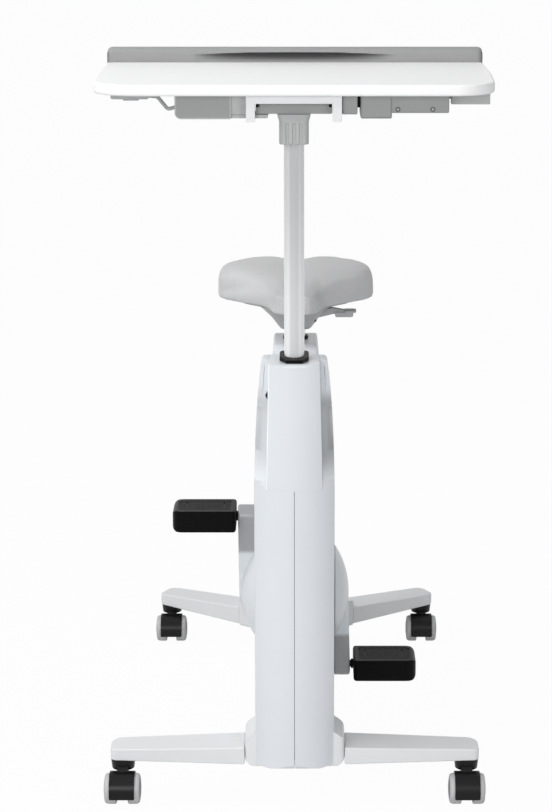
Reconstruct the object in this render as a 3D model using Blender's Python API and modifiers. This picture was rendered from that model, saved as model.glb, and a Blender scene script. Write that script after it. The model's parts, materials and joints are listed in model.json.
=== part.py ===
"""Desk exercise bike: a pedal bike with a saddle and a height-adjustable desktop, on four casters.

Units are metres and +Z is up. The desktop end faces -Y, and the rider sits at the +Y end.
Left and right are as seen from the desktop end, so left is -X. The origin is on the floor, midway
between the front and the rear caster axles. Sizes come first, then the modelling helpers, then one
function for each group of pieces.
"""
import math

import bmesh
import bpy
from mathutils import Matrix, Vector

NAME = "desk_exercise_bike"

# Fits
GAP = 0.0003                    # between pieces that touch
RUNNING = 0.0005                # between pieces that slide or turn on each other
ARC_STEP = math.radians(23)     # angle between the points of a rounded corner

# Wheelbase and casters
WHEELBASE = 0.805
FRONT_Y = -WHEELBASE / 2        # front caster axles
REAR_Y = WHEELBASE / 2          # rear caster axles
WHEEL_RADIUS = 0.0255
WHEELSET_WIDTH = 0.060
HUB_RADIUS = 0.0183
WHEEL_AXLE_RADIUS = 0.004
CASTER_WEB = 0.018              # leg of the yoke between the two wheels
CASTER_TRAIL = 0.025            # stem behind the wheel axle
HOOD_WIDTH = 0.048
HOOD_WALL = 0.0024
NECK_RADIUS = 0.0200
NECK_HEIGHT = 0.0180
STEM_RADIUS = 0.0055
STEM_DEPTH = 0.017              # stem inside the leg
CASTER_HEIGHT = 0.0720          # floor to the top of the caster's neck
FRONT_STEM_INSET = 0.020        # front caster stem inside the leg's tip
REAR_TRACK = 0.498              # between the rear caster stems

# Feet
FRONT_LEG_REACH = 0.305         # middle of the bike to the leg's tip
LEG_FRONT_SETBACK = 0.005       # leg's front edge behind the front caster axles
FRONT_LEG_ROOT_DEPTH = 0.070
FRONT_LEG_TIP_DEPTH = 0.054
FRONT_LEG_ROOT_HEIGHT = 0.0298
FRONT_LEG_TIP_HEIGHT = 0.0198
LEG_EDGE = 0.0024
LEG_ROOT_RISE = 0.0011          # underside of a leg's root above its bracket's
BRACKET_HALF = 0.0825
BRACKET_DEPTH = 0.078
BRACKET_BOTTOM = 0.064
BRACKET_TOP = 0.1245
BRACKET_SLOPE_RUN = 0.019       # slanted shoulder at each end of the bracket
BRACKET_SLOPE_DROP = 0.0135
REAR_LEG_ANGLE = math.radians(27.6)
REAR_LEG_ROOT = 0.098           # root of the leg, out from the middle
REAR_LEG_TIP_OVERHANG = 0.0150  # past the caster stem
REAR_LEG_ROOT_DEPTH = 0.060
REAR_LEG_TIP_DEPTH = 0.050
REAR_LEG_ROOT_HEIGHT = 0.0345
REAR_LEG_TIP_HEIGHT = 0.0219
REAR_BRACKET_BOTTOM = 0.060
REAR_BRACKET_TOP = 0.112

# Steel frame
BEAM_WIDTH = 0.050
BEAM_BOTTOM = 0.080
BEAM_TOP = 0.116
TUBE_WALL = 0.0025
DESK_TUBE_RADIUS = 0.0225
DESK_TUBE_TOP = 0.735
SEAT_TUBE_RADIUS = 0.0245
BRACE_RADIUS = 0.011
BRACE_HEIGHT = 0.470            # where the front brace meets the desk post's tube
BOTTOM_BRACKET_RADIUS = 0.022
BOTTOM_BRACKET_WIDTH = 0.068
PLATE_THICKNESS = 0.006

# Front and rear columns
POST_SETBACK = 0.0125           # desk post axis behind the front caster axles
BODY_HALF = 0.0648
WALL = 0.0025
BODY_BOTTOM = 0.0685
BODY_FRONT = -0.030             # front face ahead of the front caster axles
COLUMN_DEPTH = 0.135
COLUMN_TOP = 0.7495
BODY_TAIL = 0.790               # from the front caster axles to the tail's end
TAIL_TOP = 0.128
SADDLE_OF_BODY = 0.385          # lowest point between the two columns
BODY_EDGE = 0.006
FRONT_FACE_RADIUS = 0.080
FRONT_CORNER_RADIUS = 0.012
SHOULDER_START = 0.500
SHOULDER_BEND = 2.6             # how late the front column narrows
SHOULDER_HALF = 0.0517          # half width at the top of the front column
CAVITY_HALF = 0.036             # half width of the cavity behind the front cover
SEAT_LEAN = math.radians(10)
SEAT_SETBACK = 0.575            # seat post axis at the rear column's top
REAR_COLUMN_TOP = 0.6665
REAR_COLUMN_DEPTH = 0.118
REAR_COLUMN_TOP_HALF = 0.0395
REAR_CAP_HEIGHT = 0.045

# Front cover and console
COVER_FOOT = 0.5435
COVER_FOOT_HALF = 0.0455
COVER_TOP_HALF = 0.0405
COVER_DEPTH = 0.080
CONSOLE_FOOT = 0.688
CONSOLE_SLOPE_DEPTH = 0.050
CONSOLE_SLOPE_DROP = 0.0595
CHEEK_OUT = math.radians(22)
CHEEK_UP = math.radians(18)
DISPLAY_WIDTH = 0.064
DISPLAY_HEIGHT = 0.040
DISPLAY_THICKNESS = 0.004
KNOB_HEIGHT = 0.618             # of the resistance knob's axis
KNOB_RADIUS = 0.021
KNOB_LENGTH = 0.018
KNOB_SHAFT_RADIUS = 0.004

# Desk post
POST_RADIUS = 0.016
POST_FOOT = 0.390
POST_BORE_RADIUS = 0.0128
POST_BORE_TOP = 0.550
COLLAR_FOOT = 1.0935
COLLAR_TOP = 1.1405
COLLAR_HALF = 0.0230
BUSHING_HALF = 0.0232
BUSHING_AHEAD = 0.0315          # flange's front edge ahead of the post's axis
BUSHING_BACK_HEIGHT = 0.0103
BUSHING_FRONT_HEIGHT = 0.0052
BUSHING_SLEEVE = 0.055
GAS_RADIUS = 0.0115
GAS_ROD_RADIUS = 0.004
DESK_GAS_TOP = 0.400
DESK_ROD_FOOT = 0.260

# Seat post, along the leaning axis from the top of the rear column
SEAT_POST_RADIUS = 0.018
SEAT_POST_LENGTH = 0.370
SEAT_POST_DEPTH = 0.330         # below the column's top, at the lowest setting
SEAT_BORE_RADIUS = 0.0140
SEAT_BORE_LENGTH = 0.180
SEAT_TUBE_FLOOR = 0.540
SEAT_GAS_TOP = 0.162
SEAT_ROD_LENGTH = 0.260
SEAT_CLAMP_FOOT = 0.0165
SEAT_CLAMP_TOP = 0.080
SEAT_CLAMP_FOOT_RADIUS = 0.0240
SEAT_CLAMP_TOP_RADIUS = 0.0660
SEAT_LEVER_ROOT = 0.0345        # lever's pin above the rear column's top, along the axis
SEAT_LEVER_SIDE = 0.0360        # lever's pin, out from the middle
SEAT_FLANGE_RADIUS = 0.0231
SEAT_FLANGE_HEIGHT = 0.0055
SEAT_LEVER_HALF = 0.007         # half the width of the lever's arm

# Saddle
SADDLE_LENGTH = 0.280
SADDLE_WIDTH = 0.286
SADDLE_NOSE_WIDTH = 0.092
SADDLE_NOSE_SETBACK = 0.425     # nose behind the front caster axles
SADDLE_TOP = 0.8060
SADDLE_HEIGHT = 0.0660
SADDLE_NOSE_DROP = 0.024        # nose below the tail, at the top
SADDLE_CROWN = 0.011            # top's edges below its middle
SADDLE_TUCK = 0.06              # share by which the sides lean in at the top
SADDLE_CHANNEL = 0.0060
SADDLE_CAGE = 1.035             # shape before smoothing, against the smoothed saddle
PAN_INSET = 0.034
PAN_THICKNESS = 0.008

# Drive
CRANK_SETBACK = 0.300
CRANK_HEIGHT = 0.2712
CRANK_LENGTH = 0.1362
CRANK_OUTER = 0.098
CRANK_INNER = 0.0685
CRANK_DOME_RADIUS = 0.080
CRANK_DOME_EDGE = 0.0710        # the dome's rim, out from the middle
CRANK_END_RADIUS = 0.020
CRANK_HUB_RADIUS = 0.0215
SPINDLE_RADIUS = 0.010
SPINDLE_DEPTH = 0.018           # spindle inside the crank arm
BEARING_WIDTH = 0.010
PULLEY_RADIUS = 0.080
SMALL_PULLEY_RADIUS = 0.018
BELT_WIDTH = 0.012
BELT_THICKNESS = 0.0027
BELT_SIDE = -0.046              # middle of the belt, out from the middle of the bike
FLYWHEEL_SETBACK = 0.165
FLYWHEEL_HEIGHT = 0.222
FLYWHEEL_RADIUS = 0.092
FLYWHEEL_WIDTH = 0.018
FLYWHEEL_SIDE = 0.020
FLYWHEEL_AXLE_RADIUS = 0.007
MAGNET_GAP = 0.016              # shoe above the rim at the lowest resistance
MAGNET_PIVOT_SETBACK = 0.090
MAGNET_PIVOT_HEIGHT = 0.332
MAGNET_PIN_RADIUS = 0.004

# Pedals
PEDAL_LENGTH = 0.110
PEDAL_DEPTH = 0.083
PEDAL_HEIGHT = 0.0405
PEDAL_START = 0.1025            # pedal's inner end, out from the middle
PEDAL_AXLE_RADIUS = 0.0060

# Desktop
DESK_TOP = 1.189
DESK_THICKNESS = 0.0174
DESK_HALF = 0.3160               # half width at the back
DESK_TAPER = 0.0085             # each side closer in at the front
DESK_TAPER_RUN = 0.200          # stretch of the sides that tapers
DESK_FRONT = -0.050             # desktop's front edge ahead of the front caster axles
DESK_DEPTH = 0.394
DESK_CORNER = 0.070
PAD_HALF = 0.3165
PAD_DEPTH = 0.057
PAD_RISE = 0.026                # above the desktop

# Slide and brackets under the desktop
HOUSING_HALF = 0.0590
HOUSING_BOTTOM = 1.141
HOUSING_TOP = 1.157
HOUSING_LENGTH = 0.260
HOUSING_SETBACK = -0.008        # its front end behind the front caster axles
GROOVE_WIDTH = 0.006
GROOVE_DEPTH = 0.0065
BRACKET_LEG = 0.0140
CROSSBAR = 0.0130
BRACKET_DROP = 0.0410
U_BRACKET_DEPTH = 0.016
U_BRACKET_SETBACK = -0.030
LEFT_BOX_INSET = 0.1329          # left box inside the desktop's end
LEFT_BOX_NEAR = -0.0963
LEFT_BOX_DROP = 0.0382
BOX_SETBACK = -0.016
BOX_DEPTH = 0.075
FLANGE_END = -0.0397
FLANGE_THICKNESS = 0.006
RIGHT_INNER_FAR = 0.0976
RIGHT_INNER_DROP = 0.0312
RIGHT_MIDDLE_NEAR = 0.1022
RIGHT_MIDDLE_FAR = 0.1505
RIGHT_MIDDLE_DROP = 0.0374
RIGHT_OUTER_INSET = 0.0775       # right box inside the desktop's end
RIGHT_OUTER_DROP = 0.0292
LEVER_SETBACK = 0.045
HEIGHT_LEVER_AXIS = 1.1445
HEIGHT_LEVER_RISE = 0.019
HEIGHT_LEVER_RUN = 0.016         # sideways, where the rod slants up
HEIGHT_PADDLE_INSET = 0.0306     # paddle inside the desktop's end
HEIGHT_PADDLE_LENGTH = 0.0592
LEVER_ROD_RADIUS = 0.003
SLIDE_LEVER_AXIS = 1.1615
SLIDE_LEVER_INSET = 0.0108       # wing inside the desktop's end
SLIDE_LEVER_LENGTH = 0.0608

# Places worked out from the sizes above
POST_Y = FRONT_Y + POST_SETBACK
CRANK_Y = FRONT_Y + CRANK_SETBACK
FLYWHEEL_Y = FRONT_Y + FLYWHEEL_SETBACK
SEAT_AXIS = Vector((0, math.sin(SEAT_LEAN), math.cos(SEAT_LEAN)))
SEAT_TOP = Vector((0, FRONT_Y + SEAT_SETBACK, REAR_COLUMN_TOP))
COLUMN_BACK = FRONT_Y + BODY_FRONT + COLUMN_DEPTH
COVER_BACK = FRONT_Y + BODY_FRONT + COVER_DEPTH
DESK_BOTTOM = DESK_TOP - DESK_THICKNESS
SADDLE_BOTTOM = SADDLE_TOP - SADDLE_HEIGHT
FRONT_TRACK = 2 * (FRONT_LEG_REACH - FRONT_STEM_INSET)
LEFT_BOX_FAR = LEFT_BOX_INSET - DESK_HALF
RIGHT_OUTER_FAR = DESK_HALF - RIGHT_OUTER_INSET
HEIGHT_PADDLE_FAR = HEIGHT_PADDLE_INSET - DESK_HALF
HEIGHT_PADDLE_NEAR = HEIGHT_PADDLE_FAR + HEIGHT_PADDLE_LENGTH
SLIDE_LEVER_FAR = DESK_HALF - SLIDE_LEVER_INSET
SLIDE_LEVER_NEAR = SLIDE_LEVER_FAR - SLIDE_LEVER_LENGTH


def clear_scene():
    for item in list(bpy.data.objects):
        bpy.data.objects.remove(item, do_unlink=True)


clear_scene()
PARTS = bpy.data.collections.new(NAME)
TOOLS = bpy.data.collections.new("cutters")
bpy.context.scene.collection.children.link(PARTS)
bpy.context.scene.collection.children.link(TOOLS)


def material(name, colour, roughness, metallic=0.0):
    """A Principled material in linear colour."""
    made = bpy.data.materials.new(name)
    made.use_nodes = True
    shader = made.node_tree.nodes["Principled BSDF"]
    shader.inputs["Base Color"].default_value = (*colour, 1.0)
    shader.inputs["Roughness"].default_value = roughness
    shader.inputs["Metallic"].default_value = metallic
    made.diffuse_color = (*colour, 1.0)
    return made


WHITE_SHELL = material("white_shell", (0.72, 0.75, 0.78), 0.32)
WHITE_PAINT = material("white_paint", (0.76, 0.77, 0.78), 0.35)
DESK_WHITE = material("desk_white", (0.88, 0.88, 0.88), 0.45)
GREY_PAD = material("grey_pad", (0.36, 0.37, 0.39), 0.60)
GREY_CASTING = material("grey_casting", (0.42, 0.43, 0.44), 0.40)
GREY_SADDLE = material("grey_saddle", (0.50, 0.51, 0.52), 0.55)
BLACK_PLASTIC = material("black_plastic", (0.012, 0.012, 0.013), 0.40)
DARK_GLASS = material("dark_glass", (0.01, 0.011, 0.013), 0.12)
PALE_TYRE = material("pale_tyre", (0.60, 0.60, 0.61), 0.55)
STEEL = material("steel", (0.55, 0.56, 0.58), 0.30, 1.0)
DARK_STEEL = material("dark_steel", (0.10, 0.10, 0.11), 0.45, 1.0)
BELT_RUBBER = material("belt_rubber", (0.02, 0.02, 0.02), 0.70)


def mesh_object(name, mesh):
    made = bpy.data.objects.new(name, mesh)
    TOOLS.objects.link(made)
    made.hide_render = True
    made.display_type = "WIRE"
    return made


def bake(item):
    """Turn an object and its modifiers into a plain mesh in world space."""
    bpy.context.view_layer.update()
    graph = bpy.context.evaluated_depsgraph_get()
    mesh = bpy.data.meshes.new_from_object(item.evaluated_get(graph))
    mesh.transform(item.matrix_world)
    item.modifiers.clear()
    item.data = mesh
    item.matrix_world = Matrix.Identity(4)
    return item


def edit(item, change):
    """Run a change on an object's mesh through bmesh."""
    work = bmesh.new()
    work.from_mesh(item.data)
    change(work)
    work.to_mesh(item.data)
    work.free()
    return item


def box(name, x_span, y_span, z_span):
    """A box between two values on each axis."""
    work = bmesh.new()
    bmesh.ops.create_cube(work, size=1.0)
    spans = (x_span, y_span, z_span)
    size = [span[1] - span[0] for span in spans]
    middle = [(span[1] + span[0]) / 2 for span in spans]
    matrix = Matrix.Translation(middle) @ Matrix.Diagonal((*size, 1.0))
    bmesh.ops.transform(work, matrix=matrix, verts=work.verts)
    mesh = bpy.data.meshes.new(name)
    work.to_mesh(mesh)
    work.free()
    return mesh_object(name, mesh)


def along(start, direction):
    """A frame at a point, with its Z axis along a direction."""
    turn = Vector((0, 0, 1)).rotation_difference(Vector(direction).normalized())
    return Matrix.Translation(Vector(start)) @ turn.to_matrix().to_4x4()


def rod(name, start, end, radius, end_radius=None, sides=20):
    """A cylinder or a cone between two points."""
    start = Vector(start)
    end = Vector(end)
    length = (end - start).length
    work = bmesh.new()
    bmesh.ops.create_cone(
        work, cap_ends=True, segments=sides, radius1=radius,
        radius2=radius if end_radius is None else end_radius, depth=length)
    bmesh.ops.transform(work, matrix=Matrix.Translation((0, 0, length / 2)), verts=work.verts)
    bmesh.ops.transform(work, matrix=along(start, end - start), verts=work.verts)
    mesh = bpy.data.meshes.new(name)
    work.to_mesh(mesh)
    work.free()
    return mesh_object(name, mesh)


def turned(name, profile, start, direction, steps=20, ring=False):
    """A turned solid: (radius, height) points from top to bottom, turned about a direction."""
    mesh = bpy.data.meshes.new(name)
    points = [(radius, 0, height) for radius, height in profile]
    edges = [(i, i + 1) for i in range(len(points) - 1)]
    if ring:
        edges.append((len(points) - 1, 0))
    mesh.from_pydata(points, edges, [])
    made = mesh_object(name, mesh)
    screw = made.modifiers.new("turn", "SCREW")
    screw.axis = "Z"
    screw.steps = steps
    screw.render_steps = steps
    screw.use_merge_vertices = True
    screw.merge_threshold = 0.00001
    bake(made)
    edit(made, lambda work: bmesh.ops.remove_doubles(work, verts=work.verts, dist=0.00001))
    edit(made, lambda work: bmesh.ops.recalc_face_normals(work, faces=work.faces))
    made.matrix_world = along(start, direction)
    return bake(made)


def offset_corners(corners, inset):
    """Move the sides of a counter-clockwise outline inwards, and its corner radii with them."""
    moved = []
    count = len(corners)
    for i, corner in enumerate(corners):
        here = Vector(corner[:2])
        inward = (here - Vector(corners[i - 1][:2])).normalized()
        outward = (Vector(corners[(i + 1) % count][:2]) - here).normalized()
        normal_in = Vector((-inward.y, inward.x))
        normal_out = Vector((-outward.y, outward.x))
        convex = inward.x * outward.y - inward.y * outward.x > 0
        here = here + inset * (normal_in + normal_out) / (1 + normal_in.dot(normal_out))
        radius = corner[2] - inset if convex else corner[2] + inset
        moved.append((here.x, here.y, max(radius, 0.0)))
    return moved


def rounded(corners, inset=0.0, step=ARC_STEP):
    """The points of a counter-clockwise outline of (u, v, radius) corners, with round corners."""
    corners = offset_corners(corners, inset)
    count = len(corners)
    points = []
    for i, (u, v, radius) in enumerate(corners):
        here = Vector((u, v))
        inward = (here - Vector(corners[i - 1][:2])).normalized()
        outward = (Vector(corners[(i + 1) % count][:2]) - here).normalized()
        turn = math.atan2(inward.x * outward.y - inward.y * outward.x, inward.dot(outward))
        if radius <= 0 or abs(turn) < 0.001:
            points.append((u, v))
            continue
        reach = radius * math.tan(abs(turn) / 2)
        side = math.copysign(1.0, turn)
        centre = here - inward * reach + Vector((-inward.y, inward.x)) * radius * side
        first = here - inward * reach - centre
        steps = max(1, math.ceil(abs(turn) / step))
        for k in range(steps + 1):
            angle = turn * k / steps
            points.append((
                centre.x + first.x * math.cos(angle) - first.y * math.sin(angle),
                centre.y + first.x * math.sin(angle) + first.y * math.cos(angle)))
    return points


FACING = {
    "X": Matrix(((0, 0, 1, 0), (1, 0, 0, 0), (0, 1, 0, 0), (0, 0, 0, 1))),
    "Y": Matrix(((1, 0, 0, 0), (0, 0, -1, 0), (0, 1, 0, 0), (0, 0, 0, 1))),
    "Z": Matrix.Identity(4),
}


def prism(name, outline, low, high, axis, holes=()):
    """A flat outline drawn square to an axis and extruded between two values on it.

    The outline is in (Y, Z) for axis X, in (X, Z) for axis Y and in (X, Y) for axis Z.
    """
    curve = bpy.data.curves.new(name, "CURVE")
    curve.dimensions = "2D"
    curve.fill_mode = "BOTH"
    curve.extrude = (high - low) / 2
    for ring in (outline, *holes):
        spline = curve.splines.new("POLY")
        spline.points.add(len(ring) - 1)
        for point, (u, v) in zip(spline.points, ring):
            point.co = (u, v, 0, 1)
        spline.use_cyclic_u = True
    guide = bpy.data.objects.new(name, curve)
    TOOLS.objects.link(guide)
    shift = {"X": (1, 0, 0), "Y": (0, 1, 0), "Z": (0, 0, 1)}[axis]
    guide.matrix_world = Matrix.Translation(Vector(shift) * (low + high) / 2) @ FACING[axis]
    bpy.context.view_layer.update()
    graph = bpy.context.evaluated_depsgraph_get()
    mesh = bpy.data.meshes.new_from_object(guide.evaluated_get(graph))
    mesh.transform(guide.matrix_world)
    bpy.data.objects.remove(guide)
    made = mesh_object(name, mesh)

    def tidy(work):
        bmesh.ops.remove_doubles(work, verts=work.verts, dist=0.00001)
        bmesh.ops.dissolve_limit(
            work, angle_limit=math.radians(0.2), verts=work.verts, edges=work.edges)
        bmesh.ops.recalc_face_normals(work, faces=work.faces)

    return edit(made, tidy)


def combine(target, tool, operation, keep=False):
    """Boolean of one solid with another; the tool is used up unless it is kept."""
    step = target.modifiers.new("boolean", "BOOLEAN")
    step.operation = operation
    step.solver = "EXACT"
    step.object = tool
    bake(target)
    if not keep:
        bpy.data.objects.remove(tool)
    return target


def cut(target, *tools):
    for tool in tools:
        combine(target, tool, "DIFFERENCE")
    return target


def join(target, *tools):
    for tool in tools:
        combine(target, tool, "UNION")
    return target


def trim(target, *tools):
    for tool in tools:
        combine(target, tool, "INTERSECT")
    return target


def round_edges(item, width, segments=2, angle=35):
    """Round the edges that are sharper than an angle."""
    bevel = item.modifiers.new("round", "BEVEL")
    bevel.width = width
    bevel.segments = segments
    bevel.limit_method = "ANGLE"
    bevel.angle_limit = math.radians(angle)
    bevel.use_clamp_overlap = True
    bake(item)

    def weld(work):
        bmesh.ops.remove_doubles(work, verts=work.verts, dist=0.00002)
        bmesh.ops.dissolve_degenerate(work, dist=0.00001, edges=work.edges)

    return edit(item, weld)


def copy_of(item, name):
    made = mesh_object(name, item.data.copy())
    return made


def mirrored(item, name):
    """The same solid on the other side of the bike."""
    made = copy_of(item, name)
    made.data.transform(Matrix.Diagonal((-1, 1, 1, 1)))
    made.data.flip_normals()
    return made


def finish(item, name, look, origin=(0, 0, 0), parent=None, smooth=35):
    """Make a solid a piece of the bike: its name, material, origin and parent."""
    origin = Vector(origin)
    item.name = name
    item.data.name = name
    item.data.transform(Matrix.Translation(-origin))
    item.location = origin
    item.hide_render = False
    item.display_type = "TEXTURED"
    TOOLS.objects.unlink(item)
    PARTS.objects.link(item)
    item.data.materials.clear()
    item.data.materials.append(look)
    item.data.shade_smooth()
    item.data.set_sharp_from_angle(angle=math.radians(smooth))
    if parent is not None:
        item.parent = parent
        item.matrix_parent_inverse = parent.matrix_world.inverted()
    return item


def pivot(name, place, parent=None):
    """An empty on a joint's axis, from which the moving pieces hang."""
    made = bpy.data.objects.new(name, None)
    made.empty_display_size = 0.03
    PARTS.objects.link(made)
    made.location = place
    if parent is not None:
        made.parent = parent
        made.matrix_parent_inverse = parent.matrix_world.inverted()
    bpy.context.view_layer.update()
    return made


def seat_point(height, side=0.0, forward=0.0):
    """A point on or near the seat post's axis, measured from the top of the rear column."""
    across = Vector((0, math.cos(SEAT_LEAN), -math.sin(SEAT_LEAN)))
    return SEAT_TOP + SEAT_AXIS * height + Vector((side, 0, 0)) - across * forward


# Body outlines

def body_outline(inset):
    """Side view of both columns and the base between them, in (Y, Z)."""
    across = Vector((0, REAR_COLUMN_DEPTH / 2 / math.cos(SEAT_LEAN), 0))
    back_top = SEAT_TOP + across
    front_top = SEAT_TOP - across
    lean = math.tan(SEAT_LEAN)
    slope_foot = COLUMN_TOP - CONSOLE_SLOPE_DROP
    corners = [
        (FRONT_Y + BODY_FRONT, BODY_BOTTOM, 0.013),
        (FRONT_Y + BODY_TAIL, BODY_BOTTOM, 0.012),
        (FRONT_Y + BODY_TAIL, TAIL_TOP, 0.020),
        (back_top.y - (back_top.z - TAIL_TOP) * lean, TAIL_TOP, 0.090),
        (back_top.y, back_top.z, 0.014),
        (front_top.y, front_top.z, 0.014),
        (front_top.y - (front_top.z - SADDLE_OF_BODY) * lean, SADDLE_OF_BODY, 0.110),
        (COLUMN_BACK, SADDLE_OF_BODY, 0.120),
        (COLUMN_BACK, slope_foot, 0.012),
        (COLUMN_BACK - CONSOLE_SLOPE_DEPTH, COLUMN_TOP, 0.012),
        (FRONT_Y + BODY_FRONT, COLUMN_TOP, 0.010),
    ]
    return rounded(corners, inset)


def front_plan(inset):
    """Plan view of the body's convex front face, in (X, Y)."""
    big_centre = FRONT_Y + BODY_FRONT + FRONT_FACE_RADIUS
    big = FRONT_FACE_RADIUS - inset
    small = FRONT_CORNER_RADIUS - inset
    corner_x = BODY_HALF - FRONT_CORNER_RADIUS
    reach = FRONT_FACE_RADIUS - FRONT_CORNER_RADIUS
    swing = math.asin(corner_x / reach)
    corner_y = big_centre - reach * math.cos(swing)
    points = [(BODY_HALF - inset, REAR_Y + 0.1), (inset - BODY_HALF, REAR_Y + 0.1)]
    corner_steps = 3
    for k in range(corner_steps + 1):
        angle = math.pi / 2 + (swing - math.pi / 2) * k / corner_steps
        points.append((-corner_x - small * math.sin(angle), corner_y - small * math.cos(angle)))
    face_steps = 10
    for k in range(1, face_steps):
        angle = -swing + 2 * swing * k / face_steps
        points.append((big * math.sin(angle), big_centre - big * math.cos(angle)))
    for k in range(corner_steps + 1):
        angle = swing + (math.pi / 2 - swing) * k / corner_steps
        points.append((corner_x + small * math.sin(angle), corner_y - small * math.cos(angle)))
    return points


def outer_half(y, z):
    """Half width of the body's outside at a place in its side view."""
    if y < CRANK_Y:
        if z <= SHOULDER_START:
            return BODY_HALF
        share = (z - SHOULDER_START) / (COLUMN_TOP - SHOULDER_START)
        return BODY_HALF + (SHOULDER_HALF - BODY_HALF) * share ** SHOULDER_BEND
    share = (z - SADDLE_OF_BODY) / (REAR_COLUMN_TOP - SADDLE_OF_BODY)
    share = min(max(share, 0.0), 1.05)
    return BODY_HALF + (REAR_COLUMN_TOP_HALF - BODY_HALF) * share


def body_solid(name, inset, narrow=False):
    """The whole body as one solid, moved in by the wall for its inside."""
    half = BODY_HALF - inset
    solid = prism(name, body_outline(inset), -half, half, "X")
    if inset == 0:
        round_edges(solid, BODY_EDGE, segments=2, angle=40)
    levels = [SHOULDER_START + (COLUMN_TOP - SHOULDER_START) * share for share in (0.35, 0.62, 0.84)]
    levels += [SADDLE_OF_BODY, COVER_FOOT - 0.045, COVER_FOOT]

    def taper(work):
        for level in levels:
            everything = list(work.verts) + list(work.edges) + list(work.faces)
            bmesh.ops.bisect_plane(
                work, geom=everything, dist=0.000001, plane_co=(0, 0, level), plane_no=(0, 0, 1))
        for point in work.verts:
            wanted = outer_half(point.co.y, point.co.z) - inset
            if narrow and point.co.y < CRANK_Y:
                share = (point.co.z - (COVER_FOOT - 0.045)) / 0.045
                share = min(max(share, 0.0), 1.0)
                wanted += (CAVITY_HALF - wanted) * share
            point.co.x *= wanted / half

    edit(solid, taper)
    return trim(solid, prism("plan", front_plan(inset), -0.1, COLUMN_TOP + 0.1, "Z"))


# Steel frame

def build_frame():
    """Base beam, the two column tubes, the bottom bracket and its braces, welded into one."""
    half = BEAM_WIDTH / 2
    beam_front = FRONT_Y - 0.012
    beam_back = FRONT_Y + BODY_TAIL - 0.012
    frame = box("frame", (-half, half), (beam_front, beam_back), (BEAM_BOTTOM, BEAM_TOP))
    round_edges(frame, 0.003, segments=1)
    crank = Vector((0, CRANK_Y, CRANK_HEIGHT))
    wheel = Vector((0, FLYWHEEL_Y, FLYWHEEL_HEIGHT))
    middle = (BEAM_BOTTOM + BEAM_TOP) / 2
    desk_tube = rod("tube", (0, POST_Y, middle), (0, POST_Y, DESK_TUBE_TOP), DESK_TUBE_RADIUS)
    seat_foot = seat_point(-(REAR_COLUMN_TOP - middle) / math.cos(SEAT_LEAN))
    seat_tube = rod("tube", seat_foot, seat_point(-0.012), SEAT_TUBE_RADIUS)
    bracket_half = BOTTOM_BRACKET_WIDTH / 2
    side = Vector((bracket_half, 0, 0))
    bottom_bracket = rod("tube", crank - side, crank + side, BOTTOM_BRACKET_RADIUS)
    front_brace = rod("brace", (0, POST_Y, BRACE_HEIGHT), crank + Vector((0, 0, 0.012)), BRACE_RADIUS, sides=12)
    rear_brace = rod("brace", crank, seat_point(-0.370), BRACE_RADIUS, sides=12)
    plate_back = -PLATE_THICKNESS / 2
    plate = prism("plate", rounded([
        (wheel.y - 0.060, BEAM_TOP - 0.010, 0.0),
        (crank.y + 0.110, BEAM_TOP - 0.010, 0.0),
        (crank.y + 0.018, crank.z, 0.015),
        (wheel.y + 0.010, wheel.z + 0.030, 0.018),
        (wheel.y - 0.024, wheel.z + 0.010, 0.018),
    ]), plate_back, -plate_back, "X")
    lug = box(
        "lug", (plate_back, -plate_back), (POST_Y + 0.010, FRONT_Y + MAGNET_PIVOT_SETBACK + 0.012),
        (MAGNET_PIVOT_HEIGHT - 0.012, MAGNET_PIVOT_HEIGHT + 0.012))
    pin_start = (0, FRONT_Y + MAGNET_PIVOT_SETBACK, MAGNET_PIVOT_HEIGHT)
    pin_end = (FLYWHEEL_SIDE + 0.012, FRONT_Y + MAGNET_PIVOT_SETBACK, MAGNET_PIVOT_HEIGHT)
    pin = rod("pin", pin_start, pin_end, MAGNET_PIN_RADIUS, sides=12)
    boss_side = Vector((0.012, 0, 0))
    boss = rod("boss", wheel - boss_side, wheel + boss_side * 0.8, 0.016, sides=16)
    join(frame, desk_tube, seat_tube, bottom_bracket, front_brace, rear_brace, plate, lug, pin, boss)
    desk_bore = rod(
        "bore", (0, POST_Y, BEAM_TOP + 0.006), (0, POST_Y, DESK_TUBE_TOP + 0.01),
        DESK_TUBE_RADIUS - TUBE_WALL)
    seat_bore = rod(
        "bore", seat_point(-SEAT_TUBE_FLOOR), seat_point(0.01), SEAT_TUBE_RADIUS - TUBE_WALL)
    reach = side * 1.2
    spindle_bore = rod("bore", crank - reach, crank + reach, SPINDLE_RADIUS + 0.0062)
    axle_reach = boss_side * 1.5
    axle_bore = rod(
        "bore", wheel - axle_reach, wheel + axle_reach, FLYWHEEL_AXLE_RADIUS + RUNNING, sides=20)
    cut(frame, desk_bore, seat_bore, spindle_bore, axle_bore)
    finish(frame, "main_frame", DARK_STEEL)


# Feet

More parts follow.
